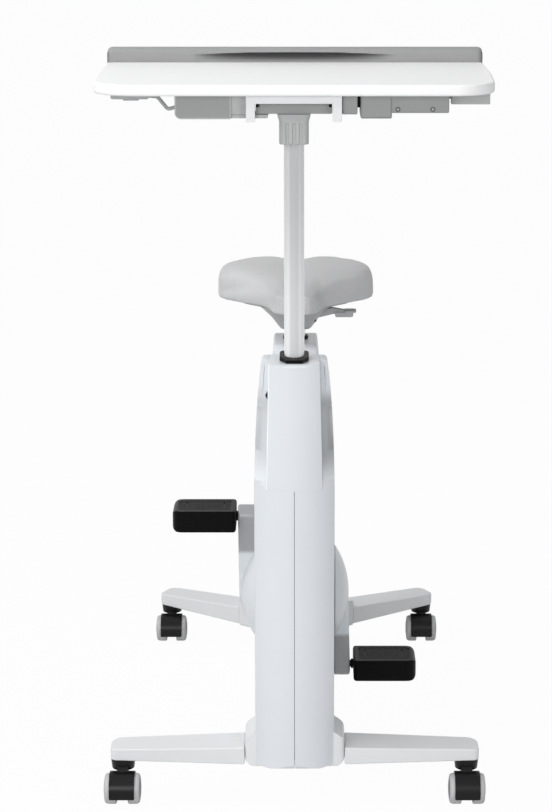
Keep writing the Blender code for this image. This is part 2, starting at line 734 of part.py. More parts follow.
def bracket_solid(name, grow=0.0):
    """Casting under the front column, whose ends carry the legs."""
    front = FRONT_Y + LEG_FRONT_SETBACK - 0.003
    back = front + BRACKET_DEPTH
    half = BRACKET_HALF
    outline = rounded([
        (-half, front, 0.010), (half, front, 0.010), (half, back, 0.010), (-half, back, 0.010),
    ], -grow)
    solid = prism(name, outline, BRACKET_BOTTOM - grow, BRACKET_TOP + grow, "Z")
    shoulder = BRACKET_TOP - BRACKET_SLOPE_DROP
    flat = half - BRACKET_SLOPE_RUN
    profile = rounded([
        (-half - grow, BRACKET_BOTTOM - grow, 0.008),
        (half + grow, BRACKET_BOTTOM - grow, 0.008),
        (half + grow, shoulder, 0.008),
        (flat, BRACKET_TOP + grow, 0.006),
        (-flat, BRACKET_TOP + grow, 0.006),
        (-half - grow, shoulder, 0.008),
    ])
    return trim(solid, prism("profile", profile, front - 0.02, back + 0.02, "Y"))


def rear_bracket_outline(grow=0.0):
    """Plan view of the rear foot's bracket, whose slanted ends face the legs, in (X, Y)."""
    root = rear_leg_point(0.0)
    across = Vector((-math.sin(REAR_LEG_ANGLE), math.cos(REAR_LEG_ANGLE))) * (REAR_LEG_ROOT_DEPTH / 2 + 0.002)
    outward = Vector((math.cos(REAR_LEG_ANGLE), math.sin(REAR_LEG_ANGLE)))
    face = Vector((root.x, root.y)) - outward * GAP
    near = face - across
    far = face + across
    front = near.y - 0.022
    back = far.y + 0.006
    corners = [
        (-near.x + 0.030, front, 0.020), (near.x - 0.030, front, 0.020), (near.x, near.y, 0.004),
        (far.x, far.y, 0.004), (far.x - 0.030, back, 0.020), (-far.x + 0.030, back, 0.020),
        (-far.x, far.y, 0.004), (-near.x, near.y, 0.004),
    ]
    return rounded(corners, -grow)


def rear_leg_point(distance):
    """A point on the middle line of the right rear leg, from its root outwards."""
    stem = Vector((REAR_TRACK / 2, REAR_Y + CASTER_TRAIL, 0))
    outward = Vector((math.cos(REAR_LEG_ANGLE), math.sin(REAR_LEG_ANGLE), 0))
    reach = (REAR_TRACK / 2 - REAR_LEG_ROOT) / math.cos(REAR_LEG_ANGLE)
    return stem + outward * (distance - reach)


def beam_channel(low):
    """The room that a foot casting leaves for the base beam."""
    half = BEAM_WIDTH / 2 + GAP
    return box("channel", (-half, half), (FRONT_Y - 0.1, REAR_Y + 0.1), (low, BEAM_TOP + 0.05))


def leg_solid(name, outline, length, root, tip, lift):
    """A leg lying along +X: a plan outline whose height tapers from its root to its tip."""
    solid = prism(name, outline, 0.0, root, "Z")

    def taper(work):
        for point in work.verts:
            share = min(max(point.co.x / length, 0.0), 1.0)
            height = root + (tip - root) * share
            point.co.z = lift * share + point.co.z / root * height

    edit(solid, taper)
    return round_edges(solid, LEG_EDGE, segments=2)


def build_feet():
    """The two foot castings and the four legs."""
    front = bracket_solid("front bracket")
    cut(front, beam_channel(BEAM_BOTTOM - GAP))
    round_edges(front, 0.0015, segments=1, angle=50)
    finish(front, "front_foot_bracket", GREY_CASTING)
    rear = prism("rear bracket", rear_bracket_outline(), REAR_BRACKET_BOTTOM, REAR_BRACKET_TOP, "Z")
    round_edges(rear, 0.0025, segments=1, angle=50)
    cut(rear, beam_channel(BEAM_BOTTOM - GAP))
    finish(rear, "rear_foot_bracket", WHITE_PAINT)

    length = FRONT_LEG_REACH - BRACKET_HALF - GAP
    slant = FRONT_LEG_ROOT_DEPTH - FRONT_LEG_TIP_DEPTH
    outline = rounded([
        (0, 0, 0), (length, 0, 0.010), (length, FRONT_LEG_TIP_DEPTH, 0.022),
        (length * 0.9, FRONT_LEG_TIP_DEPTH + slant * 0.1, 0.0), (0, FRONT_LEG_ROOT_DEPTH, 0),
    ])
    tip_bottom = CASTER_HEIGHT + GAP
    root_bottom = BRACKET_BOTTOM + LEG_ROOT_RISE
    leg = leg_solid(
        "leg", outline, length, FRONT_LEG_ROOT_HEIGHT, FRONT_LEG_TIP_HEIGHT, tip_bottom - root_bottom)
    leg.matrix_world = Matrix.Translation(
        (BRACKET_HALF + GAP, FRONT_Y + LEG_FRONT_SETBACK, root_bottom))
    bake(leg)
    stem = (FRONT_TRACK / 2, FRONT_Y + CASTER_TRAIL)
    cut(leg, *caster_seat(*stem))
    finish(mirrored(leg, "leg"), "front_leg_left", WHITE_PAINT, (-BRACKET_HALF, FRONT_Y, 0.08))
    finish(leg, "front_leg_right", WHITE_PAINT, (BRACKET_HALF, FRONT_Y, 0.08))

    reach = (REAR_TRACK / 2 - REAR_LEG_ROOT) / math.cos(REAR_LEG_ANGLE) + REAR_LEG_TIP_OVERHANG
    half_root = REAR_LEG_ROOT_DEPTH / 2
    half_tip = REAR_LEG_TIP_DEPTH / 2
    outline = rounded([
        (0, -half_root, 0), (reach, -half_tip, 0.012), (reach, half_tip, 0.018), (0, half_root, 0),
    ])
    root_bottom = REAR_BRACKET_BOTTOM + 0.002
    leg = leg_solid(
        "leg", outline, reach, REAR_LEG_ROOT_HEIGHT, REAR_LEG_TIP_HEIGHT, tip_bottom - root_bottom)
    leg.matrix_world = (
        Matrix.Translation(rear_leg_point(0.0) + Vector((0, 0, root_bottom)))
        @ Matrix.Rotation(REAR_LEG_ANGLE, 4, "Z"))
    bake(leg)
    cut(leg, *caster_seat(REAR_TRACK / 2, REAR_Y + CASTER_TRAIL))
    root = rear_leg_point(0.0)
    finish(mirrored(leg, "leg"), "rear_leg_left", WHITE_PAINT, (-root.x, root.y, 0.08))
    finish(leg, "rear_leg_right", WHITE_PAINT, (root.x, root.y, 0.08))


def caster_seat(x, y):
    """The flat face and the hole that a leg has for its caster's neck and stem."""
    low = CASTER_HEIGHT - 0.02
    seat = CASTER_HEIGHT + GAP
    top = CASTER_HEIGHT + STEM_DEPTH + 0.001
    face = rod("face", (x, y, low), (x, y, seat), NECK_RADIUS + 0.0015, sides=20)
    hole = rod("hole", (x, y, low), (x, y, top), STEM_RADIUS + GAP, sides=12)
    return face, hole


# Casters

def yoke_solid(x, y):
    """Black caster yoke: stem, neck, the leg between the wheels and the hood over them."""
    axle = Vector((x, y, WHEEL_RADIUS))
    stem = Vector((x, y + CASTER_TRAIL, 0))
    inner = WHEEL_RADIUS + 0.0010
    outer = inner + HOOD_WALL
    low_angle = math.radians(-40)
    high_angle = math.radians(150)
    arc = []
    steps = 7
    for k in range(steps + 1):
        angle = low_angle + (high_angle - low_angle) * k / steps
        arc.append((axle.y - outer * math.cos(angle), axle.z + outer * math.sin(angle)))
    for k in range(steps + 1):
        angle = high_angle + (low_angle - high_angle) * k / steps
        arc.append((axle.y - inner * math.cos(angle), axle.z + inner * math.sin(angle)))
    arc.reverse()
    half = HOOD_WIDTH / 2
    hood = prism("hood", arc, x - half, x + half, "X")
    web_half = CASTER_WEB / 2
    web = prism("web", rounded([
        (axle.y - 0.018, axle.z - 0.010, 0.009), (axle.y + 0.010, axle.z - 0.012, 0.009),
        (stem.y + 0.004, axle.z + 0.010, 0.006), (stem.y + 0.004, CASTER_HEIGHT - 0.010, 0.0),
        (axle.y + 0.008, CASTER_HEIGHT - 0.010, 0.0), (axle.y - 0.004, axle.z + 0.026, 0.004),
        (axle.y - 0.020, axle.z + 0.017, 0.004),
    ]), x - web_half, x + web_half, "X")
    neck = turned("neck", [
        (0, CASTER_HEIGHT), (NECK_RADIUS - 0.001, CASTER_HEIGHT),
        (NECK_RADIUS, CASTER_HEIGHT - 0.004), (NECK_RADIUS - 0.0015, CASTER_HEIGHT - NECK_HEIGHT),
        (0, CASTER_HEIGHT - NECK_HEIGHT),
    ], stem, (0, 0, 1), steps=12)
    post = rod(
        "stem", stem + Vector((0, 0, CASTER_HEIGHT - 0.004)),
        stem + Vector((0, 0, CASTER_HEIGHT + STEM_DEPTH)), STEM_RADIUS, sides=10)
    join(hood, web, neck, post)
    side = Vector((CASTER_WEB, 0, 0))
    return cut(hood, rod("bore", axle - side, axle + side, WHEEL_AXLE_RADIUS + RUNNING, sides=12))


def wheelset_solid(x, y):
    """Twin wheels on one axle, turned in one profile: pale tyres around dark hub discs."""
    half = WHEELSET_WIDTH / 2
    gap = CASTER_WEB / 2 + RUNNING
    tyre = WHEEL_RADIUS
    hub = HUB_RADIUS
    one_side = [
        (0.0, half - 0.003), (hub, half - 0.0015), (hub, half), (tyre - 0.0035, half),
        (tyre, half - 0.005), (tyre, gap), (WHEEL_AXLE_RADIUS, gap),
    ]
    other_side = [(radius, -height) for radius, height in reversed(one_side)]
    axle = (x, y, WHEEL_RADIUS)
    return turned("wheels", one_side + other_side, axle, (1, 0, 0), steps=14)


def build_casters():
    """Four twin-wheel casters, whose wheels trail towards the desktop end."""
    spots = {
        "front_left": (-FRONT_TRACK / 2, FRONT_Y), "front_right": (FRONT_TRACK / 2, FRONT_Y),
        "rear_left": (-REAR_TRACK / 2, REAR_Y), "rear_right": (REAR_TRACK / 2, REAR_Y),
    }
    for spot, (x, y) in spots.items():
        swivel = pivot("swivel_" + spot, (x, y + CASTER_TRAIL, CASTER_HEIGHT))
        spin = pivot("spin_" + spot, (x, y, WHEEL_RADIUS), swivel)
        finish(
            yoke_solid(x, y), "caster_yoke_" + spot, BLACK_PLASTIC,
            (x, y + CASTER_TRAIL, CASTER_HEIGHT), swivel)
        finish(
            wheelset_solid(x, y), "caster_wheels_" + spot, PALE_TYRE,
            (x, y, WHEEL_RADIUS), spin)


# Body shells and covers

def cover_prism(name, grow, foot, back):
    """The tapered front panel's width in front view, from far ahead to a depth."""
    slope = (COVER_FOOT_HALF - COVER_TOP_HALF) / (COLUMN_TOP - COVER_FOOT)
    top = COLUMN_TOP + 0.05
    low_half = COVER_FOOT_HALF + grow - (foot - COVER_FOOT) * slope
    top_half = COVER_FOOT_HALF + grow - (top - COVER_FOOT) * slope
    outline = [(-low_half, foot), (low_half, foot), (top_half, top), (-top_half, top)]
    return prism(name, outline, FRONT_Y - 0.2, back, "Y")


def cheek_tool():
    """The slanted cut that leaves the front panel proud of the right shell."""
    big_centre = FRONT_Y + BODY_FRONT + FRONT_FACE_RADIUS
    edge_y = big_centre - math.sqrt(FRONT_FACE_RADIUS ** 2 - COVER_FOOT_HALF ** 2)
    start = Vector((COVER_FOOT_HALF, edge_y, COVER_FOOT))
    normal = Vector((
        math.sin(CHEEK_OUT) * math.cos(CHEEK_UP),
        -math.cos(CHEEK_OUT) * math.cos(CHEEK_UP), math.sin(CHEEK_UP)))
    slab = box("slab", (-0.25, 0.25), (-0.25, 0.25), (0.0, 0.3))
    slab.matrix_world = along(start, normal)
    bake(slab)
    far = 0.2
    slope = (COVER_FOOT_HALF - COVER_TOP_HALF) / (COLUMN_TOP - COVER_FOOT)
    top = COLUMN_TOP + 0.05
    low = COVER_FOOT - 0.05
    low_x = COVER_FOOT_HALF + GAP / 2 + 0.05 * slope
    top_x = COVER_FOOT_HALF + GAP / 2 - (top - COVER_FOOT) * slope
    outline = [(low_x, low), (far, low), (far, top), (top_x, top)]
    return trim(slab, prism("beside", outline, FRONT_Y - 0.2, COVER_BACK + GAP / 2, "Y"))


def rear_cap_tool(low, high):
    """A block square to the seat post, across the rear column, whose top is level."""
    block = box("block", (-0.1, 0.1), (-0.12, 0.12), (low, high))
    block.matrix_world = Matrix.Translation(SEAT_TOP) @ Matrix.Rotation(-SEAT_LEAN, 4, "X")
    return bake(block)


def build_body(outer):
    """Two half shells, the front cover, the console housing and the rear column's cap."""
    shell = copy_of(outer, "shell")
    trim(shell, box("right half", (GAP / 2, 0.2), (FRONT_Y - 0.2, REAR_Y + 0.2), (0, 1)))
    cut(shell, box("console", (-0.1, 0.11), (FRONT_Y - 0.2, CRANK_Y), (CONSOLE_FOOT, COLUMN_TOP + 0.12)))
    cut(shell, rear_cap_tool(-REAR_CAP_HEIGHT, 0.1))
    cut(shell, body_solid("inside", WALL, narrow=True))
    cut(shell, cover_prism("front panel", GAP / 2, COVER_FOOT - GAP / 2, COVER_BACK + GAP / 2))
    cut(shell, cheek_tool())
    cut(shell, bracket_solid("front notch", GAP))
    cut(shell, prism(
        "rear notch", rear_bracket_outline(GAP), REAR_BRACKET_BOTTOM - 0.02, REAR_BRACKET_TOP + GAP, "Z"))
    crank = Vector((0, CRANK_Y, CRANK_HEIGHT))
    side = Vector((0.1, 0, 0))
    cut(shell, rod("spindle hole", crank - side, crank + side, SPINDLE_RADIUS + 0.004))
    knob = Vector((0, COLUMN_BACK - 0.02, KNOB_HEIGHT))
    cut(shell, rod("knob hole", knob, knob + Vector((0, 0.04, 0)), KNOB_SHAFT_RADIUS + RUNNING, sides=20))
    origin = (0, CRANK_Y, CRANK_HEIGHT)
    finish(mirrored(shell, "shell"), "body_shell_left", WHITE_SHELL, origin)
    finish(shell, "body_shell_right", WHITE_SHELL, origin)

    plain_inside = body_solid("inside", WALL)
    cover = copy_of(outer, "cover")
    foot = COVER_FOOT + GAP / 2
    back = COVER_BACK - GAP / 2
    trim(cover, cover_prism("front panel", -GAP / 2, foot, back))
    hollow = copy_of(plain_inside, "hollow")
    trim(hollow, cover_prism("front panel", -WALL, foot - 0.01, back + 0.01))
    cut(cover, hollow)
    sleeve = DESK_TUBE_RADIUS - TUBE_WALL - GAP
    post_hole = rod(
        "post hole", (0, POST_Y, COLUMN_TOP - 0.03), (0, POST_Y, COLUMN_TOP + 0.03), sleeve + GAP)
    cut(cover, post_hole)
    round_edges(cover, 0.0012, segments=1, angle=50)
    finish(cover, "column_cover", WHITE_SHELL, (0, FRONT_Y, COVER_FOOT))

    console = copy_of(outer, "console")
    foot = CONSOLE_FOOT + GAP
    front = COVER_BACK + GAP / 2
    trim(console, box("console", (-0.1, 0.1), (front, CRANK_Y), (foot, COLUMN_TOP + 0.1)))
    trim(plain_inside, box(
        "console", (-0.1, 0.1), (front + WALL, CRANK_Y), (foot - 0.01, COLUMN_TOP - 0.006)))
    cut(console, plain_inside)
    cut(console, display_solid(GAP, 0.01))
    finish(console, "console_housing", WHITE_SHELL, (0, COLUMN_BACK, CONSOLE_FOOT))
    finish(display_solid(0.0, 0.0006), "display", DARK_GLASS, (0, COLUMN_BACK, CONSOLE_FOOT))

    cap = copy_of(outer, "cap")
    trim(cap, rear_cap_tool(GAP - REAR_CAP_HEIGHT, 0.1))
    tube_room = rod("tube room", seat_point(-0.1), seat_point(-0.0115), SEAT_TUBE_RADIUS + GAP)
    sleeve = SEAT_TUBE_RADIUS - TUBE_WALL - GAP
    post_hole = rod("post hole", seat_point(-0.1), seat_point(0.02), sleeve + GAP)
    cut(cap, tube_room, post_hole)
    finish(cap, "rear_column_cap", WHITE_SHELL, SEAT_TOP)
    bpy.data.objects.remove(outer)


def display_solid(grow, out):
    """The screen on the slanted top of the console."""
    slope = math.atan2(CONSOLE_SLOPE_DROP, CONSOLE_SLOPE_DEPTH)
    middle = Vector((0, COLUMN_BACK - CONSOLE_SLOPE_DEPTH / 2, COLUMN_TOP - CONSOLE_SLOPE_DROP / 2))
    half_u = DISPLAY_WIDTH / 2 + grow
    half_v = DISPLAY_HEIGHT / 2 + grow
    outline = rounded([
        (-half_u, -half_v, 0.005), (half_u, -half_v, 0.005), (half_u, half_v, 0.005),
        (-half_u, half_v, 0.005)])
    solid = prism("display", outline, -DISPLAY_THICKNESS - grow, out, "Z")
    solid.matrix_world = Matrix.Translation(middle) @ Matrix.Rotation(-slope, 4, "X")
    return bake(solid)


def build_knob():
    """Fluted resistance knob on the rider's side of the front column."""
    seat = Vector((0, COLUMN_BACK + GAP, KNOB_HEIGHT))
    knob = turned("knob", [
        (0, KNOB_LENGTH), (KNOB_RADIUS - 0.006, KNOB_LENGTH), (KNOB_RADIUS - 0.004, KNOB_LENGTH - 0.002),
        (KNOB_RADIUS - 0.0025, 0.004), (KNOB_RADIUS, 0.003), (KNOB_RADIUS, 0.0),
        (KNOB_SHAFT_RADIUS, 0.0), (KNOB_SHAFT_RADIUS, -0.012), (0, -0.012),
    ], seat, (0, 1, 0), steps=18)
    flutes = 8
    for k in range(flutes):
        angle = 2 * math.pi * (k + 0.3) / flutes
        out = Vector((math.cos(angle), 0, math.sin(angle))) * (KNOB_RADIUS - 0.0005)
        start = seat + out + Vector((0, 0.0045, 0))
        cut(knob, rod("flute", start, start + Vector((0, 0.03, 0)), 0.0035, sides=8))
    turn = pivot("knob_axis", seat)
    finish(knob, "resistance_knob", BLACK_PLASTIC, seat, turn)


# Drive

def build_drive():
    """Spindle, bearings, pulley, belt, flywheel and the magnet arm."""
    crank = Vector((0, CRANK_Y, CRANK_HEIGHT))
    wheel = Vector((0, FLYWHEEL_Y, FLYWHEEL_HEIGHT))
    turn = pivot("crank_axis", crank)
    fly_turn = pivot("flywheel_axis", wheel)
    end = Vector((CRANK_INNER + SPINDLE_DEPTH, 0, 0))
    spindle = rod("spindle", crank - end, crank + end, SPINDLE_RADIUS, sides=24)
    finish(spindle, "crank_spindle", STEEL, crank, turn)
    bearing_out = BOTTOM_BRACKET_WIDTH / 2
    for side, name in ((-1, "left"), (1, "right")):
        start = crank + Vector((side * (bearing_out - BEARING_WIDTH), 0, 0))
        outer = SPINDLE_RADIUS + 0.0062 - GAP
        inner = SPINDLE_RADIUS + GAP
        ring = turned("bearing", [
            (inner, BEARING_WIDTH), (outer - 0.001, BEARING_WIDTH), (outer, BEARING_WIDTH - 0.001),
            (outer, 0), (inner, 0),
        ], start, (side, 0, 0), steps=16, ring=True)
        finish(ring, "crank_bearing_" + name, STEEL, crank)

    half = BELT_WIDTH / 2
    inner = SPINDLE_RADIUS + GAP
    flange = PULLEY_RADIUS + 0.004
    pulley = turned("pulley", [
        (flange, half + 0.002), (PULLEY_RADIUS, half + 0.0005), (PULLEY_RADIUS, -half - 0.0005),
        (flange, -half - 0.002), (PULLEY_RADIUS - 0.007, -half - 0.002), (PULLEY_RADIUS - 0.007, -0.002),
        (0.020, -0.002), (0.020, -half), (inner, -half), (inner, half), (0.020, half), (0.020, 0.002),
        (PULLEY_RADIUS - 0.007, 0.002), (PULLEY_RADIUS - 0.007, half + 0.002),
    ], crank + Vector((BELT_SIDE, 0, 0)), (1, 0, 0), steps=16, ring=True)
    holes = 5
    for k in range(holes):
        angle = 2 * math.pi * (k + 0.25) / holes
        spot = crank + Vector((BELT_SIDE, math.cos(angle) * 0.047, math.sin(angle) * 0.047))
        reach = Vector((0.01, 0, 0))
        cut(pulley, rod("window", spot - reach, spot + reach, 0.017, sides=6))
    finish(pulley, "drive_pulley", BLACK_PLASTIC, crank, turn)

    outer_loop = belt_outline(GAP + BELT_THICKNESS)
    inner_loop = belt_outline(GAP)
    belt = prism("belt", outer_loop, BELT_SIDE - half, BELT_SIDE + half, "X", holes=(inner_loop,))
    finish(belt, "drive_belt", BELT_RUBBER, crank)

    side = FLYWHEEL_WIDTH / 2
    hub = FLYWHEEL_AXLE_RADIUS + GAP
    rim = FLYWHEEL_RADIUS
    flywheel = turned("flywheel", [
        (rim, side), (rim, -side), (rim - 0.020, -side), (rim - 0.023, -0.003), (0.022, -0.003),
        (0.018, -0.007), (hub, -0.007), (hub, 0.009), (0.022, 0.003), (rim - 0.023, 0.003),
        (rim - 0.020, side),
    ], wheel + Vector((FLYWHEEL_SIDE, 0, 0)), (1, 0, 0), steps=16, ring=True)
    finish(flywheel, "flywheel", STEEL, wheel, fly_turn)
    small = SMALL_PULLEY_RADIUS
    low = BELT_SIDE - half
    high = BELT_SIDE + half
    axle = turned("axle", [
        (0, FLYWHEEL_SIDE + 0.016), (FLYWHEEL_AXLE_RADIUS, FLYWHEEL_SIDE + 0.016),
        (FLYWHEEL_AXLE_RADIUS, high + 0.002), (small + 0.003, high + 0.002), (small, high + 0.0005),
        (small, low - 0.0005), (small + 0.003, low - 0.002), (0, low - 0.002),
    ], wheel, (1, 0, 0), steps=16)
    finish(axle, "flywheel_axle", STEEL, wheel, fly_turn)
    build_magnet_arm(wheel)


def belt_outline(away):
    """The belt's path around both pulleys, a distance outside their faces, in (Y, Z)."""
    big = PULLEY_RADIUS + away
    small = SMALL_PULLEY_RADIUS + away
    dy = FLYWHEEL_Y - CRANK_Y
    dz = FLYWHEEL_HEIGHT - CRANK_HEIGHT
    heading = math.atan2(dz, dy)
    spread = math.acos((big - small) / math.hypot(dy, dz))
    points = []
    steps = 18
    big /= math.cos((math.pi - spread) / steps)
    for k in range(steps + 1):
        angle = heading + spread + (2 * math.pi - 2 * spread) * k / steps
        points.append((CRANK_Y + big * math.cos(angle), CRANK_HEIGHT + big * math.sin(angle)))
    steps = 7
    small /= math.cos(spread / steps)
    for k in range(steps + 1):
        angle = heading - spread + 2 * spread * k / steps
        points.append((FLYWHEEL_Y + small * math.cos(angle), FLYWHEEL_HEIGHT + small * math.sin(angle)))
    return points


def build_magnet_arm(wheel):
    """Arm that holds magnets astride the flywheel's rim and swings down to brake it harder."""
    pin = Vector((0, FRONT_Y + MAGNET_PIVOT_SETBACK, MAGNET_PIVOT_HEIGHT))
    side = FLYWHEEL_WIDTH / 2
    low_x = FLYWHEEL_SIDE - side - 0.006
    high_x = FLYWHEEL_SIDE + side + 0.006
    shoe_inner = FLYWHEEL_RADIUS + MAGNET_GAP
    arc = []
    steps = 6
    for radius, order in ((shoe_inner - 0.026, 1), (shoe_inner + 0.006, -1)):
        for k in range(steps + 1):
            share = k / steps if order > 0 else 1 - k / steps
            angle = math.radians(120 - 44 * share)
            arc.append((wheel.y + radius * math.cos(angle), wheel.z + radius * math.sin(angle)))
    arm = prism("shoe", list(reversed(arc)), low_x, high_x, "X")
    room = rod(
        "room", (low_x + 0.003, wheel.y, wheel.z), (high_x - 0.003, wheel.y, wheel.z), shoe_inner, sides=40)
    cut(arm, room)
    link = prism("link", rounded([
        (pin.y - 0.010, pin.z - 0.010, 0.009), (pin.y + 0.012, pin.z - 0.010, 0.004),
        (wheel.y - 0.040, wheel.z + shoe_inner * 0.92, 0.002),
        (wheel.y - 0.034, wheel.z + shoe_inner + 0.0012, 0.002),
        (pin.y + 0.010, pin.z + 0.010, 0.004), (pin.y - 0.010, pin.z + 0.010, 0.009),
    ]), low_x + 0.001, high_x - 0.012, "X")
    join(arm, link)
    reach = Vector((0.1, 0, 0))
    cut(arm, rod("pin hole", pin - reach, pin + reach, MAGNET_PIN_RADIUS + GAP, sides=20))
    turn = pivot("magnet_axis", pin)
    finish(arm, "magnet_arm", DARK_STEEL, pin, turn)


# Cranks and pedals

def crank_solid(side):
    """One crank: an arm with a domed disc around the spindle; the right one points down."""
    crank = Vector((0, CRANK_Y, CRANK_HEIGHT))
    hub = CRANK_HUB_RADIUS
    end = CRANK_END_RADIUS
    swing = math.acos((hub - end) / CRANK_LENGTH)
    outline = []
    steps = 8
    for k in range(steps + 1):
        angle = -math.pi / 2 + swing + (2 * math.pi - 2 * swing) * k / steps
        outline.append((crank.y + hub * math.cos(angle), crank.z + hub * math.sin(angle)))
    foot = crank.z - CRANK_LENGTH
    for k in range(steps + 1):
        angle = -math.pi / 2 - swing + 2 * swing * k / steps
        outline.append((crank.y + end * math.cos(angle), foot + end * math.sin(angle)))
    arm = prism("arm", outline, CRANK_INNER, CRANK_OUTER, "X")
    round_edges(arm, 0.0025, segments=1, angle=50)
    rise = CRANK_OUTER - 0.0005 - CRANK_DOME_EDGE
    curve = (CRANK_DOME_RADIUS ** 2 + rise ** 2) / (2 * rise)
    dome = []
    steps = 4
    for k in range(steps + 1):
        radius = CRANK_DOME_RADIUS * k / steps
        dome.append((radius, CRANK_OUTER - 0.0005 - curve + math.sqrt(curve ** 2 - radius ** 2)))
    dome_foot = CRANK_INNER + GAP
    dome += [(CRANK_DOME_RADIUS - 0.001, dome_foot), (0, dome_foot)]
    join(arm, turned("dome", dome, crank, (1, 0, 0), steps=22))
    start = crank + Vector((CRANK_INNER - 0.01, 0, 0))
    cut(arm, rod("hub bore", start, crank + Vector((CRANK_INNER + SPINDLE_DEPTH + GAP, 0, 0)),
                 SPINDLE_RADIUS + GAP, sides=24))
    pedal = Vector((0, CRANK_Y, foot))
    cut(arm, rod("pedal bore", pedal + Vector((CRANK_INNER + 0.006, 0, 0)),
                 pedal + Vector((CRANK_OUTER + 0.01, 0, 0)), PEDAL_AXLE_RADIUS + GAP, sides=16))
    if side < 0:
        arm.matrix_world = (
            Matrix.Translation(crank) @ Matrix.Rotation(math.pi, 4, "Y") @ Matrix.Translation(-crank))
        bake(arm)
    return arm


def pedal_axle_solid(side):
    """Black pedal axle with its collar, screwed into the crank's end."""
    start = Vector((side * (CRANK_INNER + 0.006 + GAP), CRANK_Y, CRANK_HEIGHT - side * CRANK_LENGTH))
    length = PEDAL_START + PEDAL_LENGTH - 0.020 - CRANK_INNER - 0.006
    shank = PEDAL_AXLE_RADIUS
    low = CRANK_OUTER + GAP - (CRANK_INNER + 0.006 + GAP)
    high = PEDAL_START - GAP - (CRANK_INNER + 0.006 + GAP)
    profile = [
        (0, length), (shank - 0.0015, length), (shank - 0.0015, high), (0.0085, high),
        (0.0085, low), (shank, low), (shank, 0), (0, 0),
    ]
    return turned("pedal axle", profile, start, (side, 0, 0), steps=16)


def pedal_solid(side):
    """Flat pedal with a raised tread plate on both faces and a chamfered outer end."""
    height = CRANK_HEIGHT - side * CRANK_LENGTH
    near = PEDAL_START
    far = PEDAL_START + PEDAL_LENGTH
    front = CRANK_Y - PEDAL_DEPTH / 2
    back = CRANK_Y + PEDAL_DEPTH / 2
    corners = [
        (near, front, 0.007), (far, front, 0.018), (far, back, 0.018), (near, back, 0.007)]
    low = height - PEDAL_HEIGHT / 2
    high = height + PEDAL_HEIGHT / 2
    plate = 0.0018
    pedal = prism("pedal", rounded(corners), low + plate, high - plate, "Z")
    round_edges(pedal, 0.0025, segments=1, angle=50)
    tread = prism("tread", rounded(corners, 0.009), low, high, "Z")
    join(pedal, tread)
    rib_count = 3
    for k in range(rib_count):
        line = CRANK_Y + (k - 1) * 0.019
        for face in (low, high):
            cut(pedal, box(
                "groove", (near + 0.022, far - 0.022), (line - 0.0028, line + 0.0028),
                (face - 0.0014, face + 0.0014)))
    if side < 0:
        pedal.data.transform(Matrix.Diagonal((-1, 1, 1, 1)))
        pedal.data.flip_normals()
    start = Vector((side * (near - 0.01), CRANK_Y, height))
    bore_end = Vector((side * (far - 0.018), CRANK_Y, height))
    cut(pedal, rod("bore", start, bore_end, PEDAL_AXLE_RADIUS - 0.0015 + RUNNING, sides=16))
    return pedal


def build_cranks():
    """Both cranks with their pedals: the left one up and the right one down, as photographed."""
    turn = bpy.data.objects["crank_axis"]
    crank = Vector((0, CRANK_Y, CRANK_HEIGHT))
    for side, name in ((-1, "left"), (1, "right")):
        middle = PEDAL_START + PEDAL_LENGTH / 2
        spot = Vector((side * middle, CRANK_Y, CRANK_HEIGHT - side * CRANK_LENGTH))
        spin = pivot("pedal_axis_" + name, spot, turn)
        finish(crank_solid(side), "crank_arm_" + name, WHITE_PAINT, crank, turn)
        finish(pedal_axle_solid(side), "pedal_axle_" + name, BLACK_PLASTIC, spot, turn)
        finish(pedal_solid(side), "pedal_" + name, BLACK_PLASTIC, spot, spin)


# Seat

